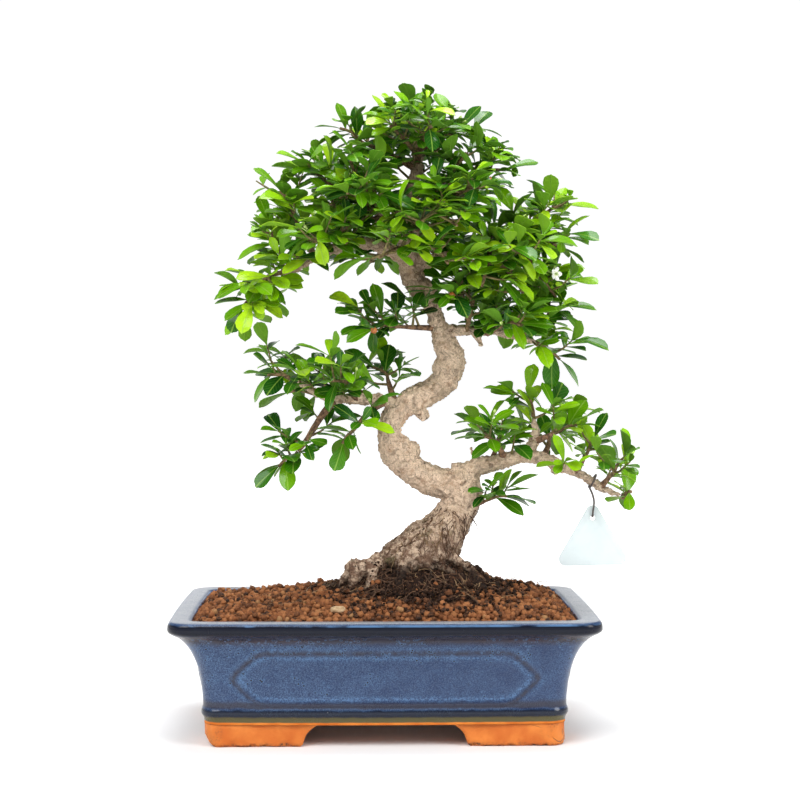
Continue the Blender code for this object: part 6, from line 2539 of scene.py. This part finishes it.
    def blades(self, name: str, leaves: list[Leaf], grid: BladeGrid,
               finish: bpy.types.Material) -> bpy.types.Object:
        """Leaves of a spray as one mesh of closed blades.

        Args:
            name: the mesh's name.
            leaves: the leaves.
            grid: the points of a blade.
            finish: the leaves' skin.

        Returns:
            The blades.
        """
        template = grid.faces()
        wedge, oval = grid.points(grid.wedge), grid.points(grid.oval)
        count = len(wedge[0])
        rng = random.Random(len(leaves) + SEED)
        points, faces, tones, unders = [], [], [], []
        for index, leaf in enumerate(leaves):
            along, up = np.array(leaf.along), np.array(leaf.up)
            across = np.cross(along, up) * (-1.0 if leaf.mirrored else 1.0)
            half = leaf.width / 2
            blunt = rng.random()
            shares, sides = (blunt * w + (1.0 - blunt) * o for w, o in zip(wedge, oval))
            wave = self.ripple * half * np.sin(shares * rng.uniform(*self.ripples)
                                               + rng.uniform(0, 6)) * sides
            fold, droop = self.rule.fold, self.rule.droop
            if grid is SMALL_BLADE:
                fold, droop = rng.uniform(*self.small_folds), rng.uniform(*self.small_droops)
            rise = fold * np.abs(sides) ** 1.2 * half - droop * leaf.length * shares ** 2
            middle = (np.array(leaf.foot) + np.outer(leaf.length * shares, along)
                      + np.outer(half * sides, across) + np.outer(rise + wave, up))
            lift = up * (self.blade / 2)
            points.append(np.concatenate((middle + lift, middle - lift)))
            start = index * 2 * count
            flip = leaf.mirrored
            faces.extend(tuple(k + start for k in (face[::-1] if flip else face)) for face in template)
            tones.extend([leaf.tone] * (2 * count))
            unders.extend([0.0] * count + [1.0] * count)
        piece = new_mesh(name, np.concatenate(points).tolist(), faces, [finish])
        set_mark(piece, "tone", tones)
        set_mark(piece, "under", unders)
        blade = piece.data.uv_layers.new(name="blade")
        order = np.empty(len(piece.data.loops), dtype=np.int32)
        piece.data.loops.foreach_get("vertex_index", order)
        order %= count
        shares, sides = oval
        flat = np.stack((0.5 + 0.5 * sides[order], shares[order]), axis=1)
        blade.data.foreach_set("uv", flat.astype(np.float32).ravel())
        piece.data.set_sharp_from_angle(angle=self.crease)
        return piece

    def build(self, spray: Spray, skin: bpy.types.Material, bark: bpy.types.Material) -> bpy.types.Object:
        """One spray as one piece: its blades, its twig and its shoots.

        Args:
            spray: the spray.
            skin: the leaves' skin.
            bark: the twigs' bark.

        Returns:
            The piece.
        """
        piece = self.blades("leafy_" + spray.name, spray.leaves, LARGE_BLADE, skin)
        parts = [self.blades("small_leaves", spray.small, SMALL_BLADE, skin)] if spray.small else []
        twigs = [smooth_run([(*centre, radius) for centre, radius in zip(*run)], self.twig_step)
                 for run in spray.twigs]
        wood = curve_mesh("twig", twigs, 6, bark)
        set_mark(wood, "young", self.twig_young)
        parts.append(wood)
        if spray.shoots:
            stalks = curve_mesh("stalks", spray.shoots, 4, bark)
            set_mark(stalks, "young", self.shoot_young)
            parts.append(stalks)
        join(piece, parts)
        return piece


# Small things

@dataclass
class FineRoots:
    """Loose fibrous roots over the peat and the soil, and the fibres that hang on the trunk's foot."""

    ground: Ground
    dark_count: int = 190
    pale_count: int = 44
    hair_count: int = 34
    fibre_count: int = 460
    fibre_heights: tuple = (106.0 * MM, 160.0 * MM)
    fibre_lengths: tuple = (9, 26)
    fibre_radii: tuple = (0.14, 0.38)
    fibre_steps: int = 8
    fibre_leap: float = 3.0 * MM
    loose_share: float = 0.20
    root_ring: tuple = (24, 50)
    root_fan: float = 1.3
    peat_lift: float = 1.6 * MM
    hair_area: tuple = ((-115, 120), (-72, 72))
    hair_lengths: tuple = (12, 30)
    hair_radii: tuple = (0.12, 0.22)
    soil_lift: float = 4.4 * MM
    wander: float = 0.55
    wander_steps: int = 10
    arch: float = 2.4 * MM
    taper: float = 0.6

    def over_ground(self, rng: random.Random, x: float, y: float, heading: float, length: float,
                    radius: float, lift: float) -> Run:
        """A thin root that wanders over the ground from a place on it.

        Args:
            rng: the random draws.
            x: where it starts.
            y: where it starts.
            heading: the way it sets out.
            length: how long it is.
            radius: how thick it is at its start.
            lift: how high over the ground.

        Returns:
            The root's centres and radii.
        """
        centres, radii = [], []
        steps = self.wander_steps
        for i in range(steps + 1):
            share = i / steps
            z = self.ground.top(x, y) + lift + self.arch * math.sin(math.pi * share) * rng.uniform(0.1, 1.0)
            centres.append(Vector((x, y, z)))
            radii.append(radius * (1.0 - self.taper * share))
            heading += rng.uniform(-self.wander, self.wander)
            x += math.cos(heading) * length / steps
            y += math.sin(heading) * length / steps
        return centres, radii

    def round_trunk(self, rng: random.Random, count: int, thickness: tuple, reach: tuple) -> list[Run]:
        """Thin roots that start in the peat round the trunk and run outwards.

        Args:
            rng: the random draws.
            count: how many.
            thickness: the least and largest radius, in mm.
            reach: the least and largest length, in mm.

        Returns:
            The roots.
        """
        runs = []
        for _ in range(count):
            turn = rng.uniform(0, math.tau)
            out = rng.uniform(*self.root_ring) * MM
            x = self.ground.ball_x - 4 * MM + out * 1.05 * math.cos(turn)
            y = self.ground.ball_y + out * 0.9 * math.sin(turn)
            heading = turn + rng.uniform(-self.root_fan, self.root_fan)
            runs.append(self.over_ground(rng, x, y, heading, rng.uniform(*reach) * MM,
                                         rng.uniform(*thickness) * MM, self.peat_lift))
        return runs

    def on_soil(self, rng: random.Random) -> list[Run]:
        """Fine stray hairs that lie over the granules.

        Args:
            rng: the random draws.

        Returns:
            The hairs.
        """
        runs = []
        for _ in range(self.hair_count):
            x, y = (rng.uniform(*span) * MM for span in self.hair_area)
            heading = rng.uniform(0, math.tau)
            runs.append(self.over_ground(rng, x, y, heading, rng.uniform(*self.hair_lengths) * MM,
                                         rng.uniform(*self.hair_radii) * MM, self.soil_lift))
        return runs

    def fibres(self, rng: random.Random, wood: BVHTree) -> list[Run]:
        """Fibres that lie on the trunk's foot and its roots and hang down off them.

        Args:
            rng: the random draws.
            wood: the old wood's surface.

        Returns:
            The fibres.
        """
        runs = []
        for _ in range(self.fibre_count):
            turn = rng.uniform(0, math.tau)
            level = rng.uniform(*self.fibre_heights)
            centre = Vector((24 * MM + 0.55 * max(0.0, level - 118 * MM), 2 * MM, level))
            away = Vector((math.cos(turn), math.sin(turn), 0.0))
            spot, normal, _, _ = wood.ray_cast(centre + away * (80 * MM), -away)
            if spot is None:
                continue
            drift = rng.uniform(-0.9, 0.9)
            loose = rng.random() < self.loose_share
            centres, radii = [], []
            radius = rng.uniform(*self.fibre_radii) * MM
            length = rng.uniform(*self.fibre_lengths) * MM
            for i in range(self.fibre_steps + 1):
                share = i / self.fibre_steps
                centres.append(spot + normal * (0.25 * MM + rng.uniform(0.0, 1.5) * share * MM))
                radii.append(radius * (1.0 - self.taper * share))
                side = normal.cross(UP)
                if loose:
                    way = normal * (0.45 - 0.5 * share) + side * (0.6 * drift) - UP * (0.7 + share)
                    spot = spot + way.normalized() * (length / 13)
                    continue
                step = (-UP + side * (drift + rng.uniform(-0.5, 0.5)) + normal * 0.25).normalized()
                near, near_normal, _, gap = wood.find_nearest(spot + step * (length / self.fibre_steps))
                if gap > self.fibre_leap:
                    break
                spot, normal = near, near_normal
            if len(centres) > 3:
                runs.append((centres, radii))
        return runs

    def build(self, wood: BVHTree, dark: bpy.types.Material,
              pale: bpy.types.Material) -> list[bpy.types.Object]:
        """Both kinds of fine roots.

        Args:
            wood: the old wood's surface, still drawn round the pot's plan centre.
            dark: the finish of the roots that are full of peat.
            pale: the finish of the clean ones.

        Returns:
            The piece of dark roots and the piece of pale ones.
        """
        rng = random.Random(SEED + 30)
        hanging = self.fibres(rng, wood)
        pale_share = len(hanging) // 4
        dark_runs = self.round_trunk(rng, self.dark_count, (0.3, 0.8), (12, 44)) + hanging[pale_share:]
        pale_runs = self.round_trunk(rng, self.pale_count, (0.15, 0.4), (12, 40)) + hanging[:pale_share]
        pale_runs += self.on_soil(rng)
        return [curve_mesh("dark_fine_roots", dark_runs, 4, dark),
                curve_mesh("pale_fine_roots", pale_runs, 4, pale)]


@dataclass
class HangTag:
    """The plain pale tag and the dark wire that holds it on the right-hand limb."""

    routes: TreeRoutes
    rule: LeafRule
    width: float = 50.0 * MM
    height: float = 43.5 * MM
    thickness: float = 0.8 * MM
    corner: float = 5.0 * MM
    turn: float = math.radians(8.0)
    hole: float = 1.9 * MM
    hole_from_tip: float = 9.0 * MM
    edge_round: float = 0.18 * MM
    wire: float = 0.7 * MM
    wire_step: float = 0.9 * MM
    ring_cuts: int = 28
    ring_gap: float = 1.0 * MM
    touch: float = 0.3 * MM

    def card(self, finish: bpy.types.Material) -> bpy.types.Object:
        """The tag: a triangle with round corners, a rounded edge and a hole at its top.

        Args:
            finish: the card.

        Returns:
            The tag.
        """
        place = mm(self.rule.tie_place)
        hole_height = self.rule.tie_hook * MM + self.wire + self.touch - self.hole
        top = hole_height + self.hole_from_tip
        apex, base = top - self.corner, top - self.height + self.corner
        half = self.width / 2 - self.corner
        outline = []
        for centre, start in ((Vector((half, base)), -90), (Vector((0.0, apex)), 30),
                              (Vector((-half, base)), 150)):
            for step in range(13):
                angle = math.radians(start + 10.0 * step)
                outline.append(centre + Vector((math.cos(angle), math.sin(angle))) * self.corner)
        card = new_mesh("plain_tag", [(p.x, 0.0, p.y) for p in outline], [tuple(range(len(outline)))],
                        [finish])
        only(card)
        bpy.ops.object.mode_set(mode="EDIT")
        bpy.ops.mesh.select_all(action="SELECT")
        bpy.ops.mesh.extrude_region_move(TRANSFORM_OT_translate={"value": (0.0, self.thickness, 0.0)})
        bpy.ops.mesh.select_all(action="SELECT")
        bpy.ops.mesh.normals_make_consistent(inside=False)
        bpy.ops.object.mode_set(mode="OBJECT")
        bpy.ops.mesh.primitive_cylinder_add(vertices=32, radius=self.hole, depth=6 * MM,
                                            location=(0.0, 0.0, hole_height),
                                            rotation=(math.pi / 2, 0.0, 0.0))
        cutter = bpy.context.object
        cut_out(card, "hole", "EXACT")
        edge = card.modifiers.new("rounded edge", "BEVEL")
        edge.width = self.edge_round
        edge.segments = 2
        edge.angle_limit = math.radians(50)
        apply_all(card)
        bpy.data.objects.remove(cutter, do_unlink=True)
        card.data.transform(Matrix.Translation((0.0, -self.thickness / 2, 0.0)))
        card.data.transform(Matrix.Translation((place.x, place.y, 0.0))
                            @ Matrix.Rotation(self.turn, 4, "Z"))
        card.data.set_sharp_from_angle(angle=math.radians(35))
        return card

    def tie(self, finish: bpy.types.Material) -> bpy.types.Object:
        """The wire: a ring round the limb, a drop and a hook through the tag's hole.

        Args:
            finish: the wire's coat.

        Returns:
            The wire.
        """
        place = mm(self.rule.tie_place)
        hook = self.rule.tie_hook * MM
        centres, radii = self.routes.limb_run(self.routes.limbs()["right_main"])
        nearest = min(range(1, len(centres) - 1), key=lambda i: abs(centres[i].x - place.x))
        before, after = centres[nearest - 1], centres[nearest + 1]
        along = (after - before).normalized()
        middle = before.lerp(after, (place.x - before.x) / (after.x - before.x))
        down = (Vector((0, 0, -1)) + along * along.z).normalized()
        aside = along.cross(down)
        reach = radii[nearest - 1] + self.ring_gap + self.wire
        ring = []
        for k in range(self.ring_cuts + 1):
            angle = math.tau * k / self.ring_cuts
            ring.append(middle + down * (reach * math.cos(angle)) + aside * (reach * math.sin(angle))
                        + along * (0.9 * MM * (k / self.ring_cuts - 0.5)))
        front = place.y - 2.2 * MM
        low = middle + down * reach
        drop = [low, Vector((place.x - 0.4 * MM, front, low.z - 5 * MM)),
                Vector((place.x + 0.7 * MM, front - 0.4 * MM, (low.z + hook) / 2)),
                Vector((place.x, front, hook + 3.5 * MM)),
                Vector((place.x, front + 0.7 * MM, hook + 0.6 * MM)),
                Vector((place.x, place.y, hook)), Vector((place.x, place.y + 2.6 * MM, hook)),
                Vector((place.x + 0.4 * MM, place.y + 3.0 * MM, hook + 2.4 * MM))]
        smooth = [Vector(p) for p in curve_through([tuple(p) for p in drop], self.wire_step)]
        runs = [(ring, [self.wire] * len(ring)), (smooth, [self.wire] * len(smooth))]
        return curve_mesh("wire_tie", runs, 8, finish)


@dataclass
class Blossom:
    """The open flower, the buds and the berries."""

    routes: TreeRoutes
    rule: LeafRule
    petals: int = 5
    petal_reach: float = 5.2 * MM
    petal_half: float = 0.16 * MM
    petal_rows: tuple = ((0.08, 0.16), (0.4, 0.30), (0.75, 0.36), (1.0, 0.20))
    petal_rim: tuple = (0, 1, 2, 5, 8, 11, 10, 9, 6, 3)
    berry_radius: float = 2.3 * MM
    bud_share: float = 0.45
    bud_counts: tuple = (1, 3)
    bud_stalks: tuple = (5, 9)
    bud_sizes: tuple = (0.8, 1.3)
    berry_places: tuple = ((45.4, -40, 299.4), (5.9, -30, 277.5), (-20, 44, 372), (78, -44, 400))

    def flower(self, petal: bpy.types.Material, stalk: bpy.types.Material) -> bpy.types.Object:
        """Five blunt petals round a small heart, on a short stalk.

        Args:
            petal: the petals' material.
            stalk: the stalk's material.

        Returns:
            The flower.
        """
        centres, _ = self.routes.limb_run(self.routes.limbs()["flower_twig"])
        out = (centres[-1] - centres[-2]).normalized()
        start = centres[-1] + out * self.rule.touch
        face = (out + Vector((0.2, -0.9, 0.5))).normalized()
        top = start + out * (5 * MM) + face * (2 * MM)
        across = face.orthogonal().normalized()
        aside = face.cross(across)
        points, faces, heart = [], [], []
        for k in range(self.petals):
            turn = math.tau * k / self.petals
            way = fan(across, aside, turn)
            side = fan(aside, -across, turn)
            first = len(points)
            for level in (self.petal_half, -self.petal_half):
                for share, width in self.petal_rows:
                    for s in (-1, 0, 1):
                        curl = 1.5 * MM * share ** 2 - 0.2 * MM * abs(s)
                        points.append(top + way * (self.petal_reach * (share - 0.04 * abs(s)))
                                      + side * (self.petal_reach * width * s) + face * (curl + level))
                        heart.append(max(0.0, 1.0 - 2.2 * share))
            for level in (0, 1):
                for r in range(3):
                    for c in range(2):
                        a = first + level * 12 + r * 3 + c
                        quad = (a, a + 1, a + 4, a + 3)
                        faces.append(quad if level else quad[::-1])
            for a, b in zip(self.petal_rim, self.petal_rim[1:] + self.petal_rim[:1]):
                faces.append((first + a, first + b, first + b + 12, first + a + 12))
        bloom = new_mesh("open_flower", points, faces, [petal])
        set_mark(bloom, "heart", heart)
        stem = [start, start + out * (3 * MM), top - face * (0.4 * MM)]
        runs = [(stem, [0.7 * MM, 0.6 * MM, 0.9 * MM])]
        for k in range(self.petals):
            way = fan(across, aside, math.tau * (k + 0.5) / self.petals)
            knee = top + face * (1.2 * MM) + way * (0.7 * MM)
            runs.append(([top, knee, top + face * (2.4 * MM) + way * MM], [0.2 * MM, 0.2 * MM, 0.34 * MM]))
        green = curve_mesh("stem", runs, 6, stalk)
        join(bloom, [green])
        return bloom

    def berries(self, sprays: list[Spray], skin: bpy.types.Material,
                calyx: bpy.types.Material) -> bpy.types.Object:
        """Small ripe berries in their calyxes, at the shoots' tips nearest to where they are seen.

        Args:
            sprays: the sprays that bear them.
            skin: the berries' skin.
            calyx: the calyxes' material.

        Returns:
            The berries.
        """
        tips = [stalk[-1] for spray in sprays for stalk, _ in spray.shoots]
        fruit = []
        cups = []
        for place in self.berry_places:
            tip = min(tips, key=lambda point: (point - mm(place)).length)
            middle = tip + (UP * -0.2 - Vector((0.0, 1.0, 0.0))) * (3.4 * MM)
            bpy.ops.mesh.primitive_uv_sphere_add(segments=20, ring_count=12, radius=self.berry_radius,
                                                 location=middle)
            fruit.append(bpy.context.object)
            fruit[-1].data.materials.append(skin)
            fruit[-1].data.shade_smooth()
            cups.append(([tip, tip.lerp(middle, 0.4)], [0.4 * MM, 0.5 * MM]))
            for k in range(5):
                turn = math.tau * k / 5
                side = Vector((math.cos(turn), 0.0, math.sin(turn)))
                cups.append(([tip.lerp(middle, 0.3), middle + Vector((0, 1.6 * MM, 0)) + side * (1.9 * MM),
                              middle + side * (3.3 * MM)], [0.5 * MM, 0.6 * MM, 0.15 * MM]))
        join(fruit[0], fruit[1:])
        settle(fruit[0])
        label(fruit[0], "berries")
        join(fruit[0], [curve_mesh("calyxes", cups, 6, calyx)])
        return fruit[0]

    def buds(self, sprays: list[Spray], finish: bpy.types.Material) -> bpy.types.Object:
        """Small buds on thin stalks at some of the shoots' tips.

        Args:
            sprays: the sprays that bear them.
            finish: the buds' skin.

        Returns:
            The buds.
        """
        rng = random.Random(SEED + 40)
        runs = []
        for spray in sprays:
            if not spray.shoots or rng.random() > self.bud_share:
                continue
            stalk, _ = spray.shoots[rng.randrange(len(spray.shoots))]
            tip = stalk[-1]
            heading = (stalk[-1] - stalk[0]).normalized()
            for _ in range(rng.randint(*self.bud_counts)):
                lean = Vector((rng.uniform(-0.5, 0.5), rng.uniform(-0.5, 0.5), rng.uniform(0.0, 0.5)))
                way = (heading + lean).normalized()
                end = tip + way * (rng.uniform(*self.bud_stalks) * MM)
                size = rng.uniform(*self.bud_sizes) * MM
                runs.append(([tip, tip.lerp(end, 0.6), end, end + way * size, end + way * (2 * size),
                              end + way * (2.8 * size)],
                             [0.3 * MM, 0.28 * MM, 0.4 * MM, size, 0.85 * size, 0.25 * size]))
        return curve_mesh("flower_buds", runs, 8, finish)


def chip_stone(finish: bpy.types.Material) -> bpy.types.Object:
    """The light stone chip, an angular lump in its solid's own box.

    Args:
        finish: the stone's material.

    Returns:
        The stone.
    """
    low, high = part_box("pale_stone")
    bpy.ops.mesh.primitive_ico_sphere_add(subdivisions=3, radius=1.0)
    stone = bpy.context.object
    half = (high - low) / 2
    middle = (high + low) / 2
    for vertex in stone.data.vertices:
        blunt = Vector(math.copysign(abs(v) ** 0.72, v) for v in vertex.co)
        rough = 1.0 + 0.16 * noise.noise(vertex.co * 1.8) + 0.05 * noise.noise(vertex.co * 6.0)
        spot = blunt * rough * 0.92
        vertex.co = middle + Vector((spot.x * half.x, spot.y * half.y, spot.z * half.z))
        vertex.co.z = max(vertex.co.z, low.z)
    label(stone, "stone_chip")
    coat(stone, finish)
    stone.data.shade_smooth()
    return stone


# Studio

@dataclass
class Studio:
    """The pale floor, the soft light and the camera of the photograph's view."""

    lens: float = 79.6
    eye: tuple = (-32.8, -1290.0, 266.5)
    pitch: float = math.radians(1.285)
    yaw: float = math.radians(1.20)
    floor_size: float = 900.0
    floor_glow: float = 0.70
    glow_from: float = 0.45
    glow_full: float = 1.7
    wall_light: float = 1.03
    ceiling_light: float = 0.26
    ceiling_from: float = 0.20
    ceiling_full: float = 0.45
    lamp_aim: tuple = (0.0, 0.0, 0.22)
    lamps: tuple = (("key", (-1.1, -1.4, 2.0), 1.7, 57.0), ("fill", (1.6, -1.2, 1.3), 1.0, 29.0),
                    ("top", (0.2, 0.3, 2.2), 1.2, 38.0))

    def camera(self) -> None:
        """The camera, looking a little down and to the right."""
        bpy.ops.object.camera_add(location=mm(self.eye), rotation=(math.pi / 2 - self.pitch, 0.0, -self.yaw))
        camera = bpy.context.object
        camera.data.lens = self.lens
        camera.data.sensor_width = 36.0
        camera.data.clip_end = 2 * self.floor_size
        bpy.context.scene.camera = camera

    def floor(self) -> None:
        """A wide white floor."""
        bpy.ops.mesh.primitive_plane_add(size=self.floor_size)
        floor = bpy.context.object
        floor.name = "floor"
        b = Bench("floor_paper")
        shade = b.cloud(0.6, 2.0)
        length = b.node("ShaderNodeVectorMath", {"operation": "LENGTH"}, {0: b.place()})
        away = Value(b, length.outputs["Value"])
        glow = b.blend(away.rise(self.glow_from, self.glow_full), (0.0, 0.0, 0.0), (self.floor_glow,) * 3)
        paper = b.blend(shade, (0.90, 0.90, 0.90), (0.92, 0.92, 0.92))
        floor.data.materials.append(b.dress(Base_Color=paper, Roughness=0.7, Specular_IOR_Level=0.2,
                                            Emission_Color=glow, Emission_Strength=1.0))

    def lights(self) -> None:
        """White walls under a dimmer ceiling, a large key from the upper left and softer fills."""
        world = bpy.data.worlds.new("surround")
        world.use_nodes = True
        nodes, links = world.node_tree.nodes, world.node_tree.links
        split = nodes.new("ShaderNodeSeparateXYZ")
        links.new(nodes.new("ShaderNodeTexCoord").outputs["Object"], split.inputs["Vector"])
        light = nodes.new("ShaderNodeMapRange")
        light.interpolation_type = "SMOOTHSTEP"
        links.new(split.outputs["Z"], light.inputs["Value"])
        for name, value in (("From Min", self.ceiling_from), ("From Max", self.ceiling_full),
                            ("To Min", self.wall_light), ("To Max", self.ceiling_light)):
            light.inputs[name].default_value = value
        nodes["Background"].inputs["Color"].default_value = (1.0, 1.0, 1.0, 1.0)
        links.new(light.outputs["Result"], nodes["Background"].inputs["Strength"])
        bpy.context.scene.world = world
        for name, place, size, power in self.lamps:
            lamp = bpy.data.lights.new(name, "AREA")
            lamp.shape = "SQUARE"
            lamp.size = size
            lamp.energy = power
            light = bpy.data.objects.new(name, lamp)
            light.location = place
            light.rotation_mode = "QUATERNION"
            light.rotation_quaternion = (Vector(self.lamp_aim) - Vector(place)).to_track_quat("-Z", "Y")
            bpy.context.scene.collection.objects.link(light)

    def build(self) -> None:
        """Set the stage."""
        self.camera()
        self.floor()
        self.lights()
        bpy.context.scene.view_settings.view_transform = "Standard"


def write_sizes() -> None:
    """Bring the view layer up to date.
    """
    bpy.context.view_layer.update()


def main() -> None:
    """Build every piece in order and put each in its place."""
    logging.basicConfig(level=logging.INFO, format="%(name)s %(message)s")
    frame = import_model()
    low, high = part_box("pot")
    shop = Workshop(Vector(((low.x + high.x) / 2, (low.y + high.y) / 2, 0.0)))
    Studio().build()

    pot = GlazedPot()
    shop.hand_over(pot.walls(PotGlaze().make()), Slot.POT, "pot")
    shop.hand_over(pot.feet(Terracotta().make()), Slot.POT, "pot")

    ground = Ground()
    bed = GranuleBed(ground, pot)
    clay = Granules().make()
    shop.hand_over(bed.bed(clay), Slot.SOIL, "soil")
    shop.hand_over(bed.granules(clay), Slot.SOIL, "soil")
    peat = Peat().make()
    shop.hand_over(PeatMound(ground).build(peat), Slot.PEAT, "root_ball")

    routes = TreeRoutes()
    bark = Bark().make()
    twig_bark = TwigBark().make()
    wood = OldWood(routes, SurfaceRoots(ground))
    trunk = wood.build(bark)
    skin_of_wood = BVHTree.FromPolygons([v.co for v in trunk.data.vertices],
                                        [tuple(p.vertices) for p in trunk.data.polygons])
    shop.hand_over(bed.crumbs(skin_of_wood, peat), Slot.PEAT)
    fine_roots = FineRoots(ground).build(skin_of_wood, DARK_ROOT.make(), PALE_ROOT.make())
    shop.hand_over(trunk, Slot.BARK, "trunk")
    thin = curve_mesh("thin_limbs", wood.thin_limbs(), 8, twig_bark)
    set_mark(thin, "young", 0.0)
    shop.hand_over(thin, Slot.BARK, "trunk")
    for roots in fine_roots:
        shop.hand_over(roots, Slot.BARK)

    rule = LeafRule(routes)
    foliage = Foliage(rule)
    sprays = foliage.plan()
    skin = LeafSkin().make()
    for spray in sprays:
        shop.hand_over(foliage.build(spray, skin, twig_bark), Slot.LEAF, "spray_" + spray.name)
    log.info("%d leaves", sum(len(spray.leaves) + len(spray.small) for spray in sprays))

    blossom = Blossom(routes, rule)
    shop.hand_over(blossom.flower(Petal().make(), BUD_SKIN.make()), Slot.PETAL, "flower")
    shop.hand_over(blossom.buds(sprays, BUD_SKIN.make()), Slot.LEAF)
    shop.hand_over(blossom.berries(sprays, BERRY_SKIN.make(), twig_bark), Slot.LEAF)
    tag = HangTag(routes, rule)
    shop.hand_over(tag.card(TAG_CARD.make()), Slot.TAG, "hang_tag")
    shop.hand_over(tag.tie(COATED_WIRE.make()), Slot.WIRE, "tag_tie")
    stone = chip_stone(STONE_CHIP.make())
    stone.data.transform(Matrix.Translation(-shop.shift))
    shop.hand_over(stone, Slot.STONE, "pale_stone")

    screen = BLACK_SCREEN.make()
    for name in ("drain_mesh_left", "drain_mesh_right"):
        node = frame["nodes"][name]
        coat(node, screen)
    write_sizes()


if __name__ == "__main__":
    main()
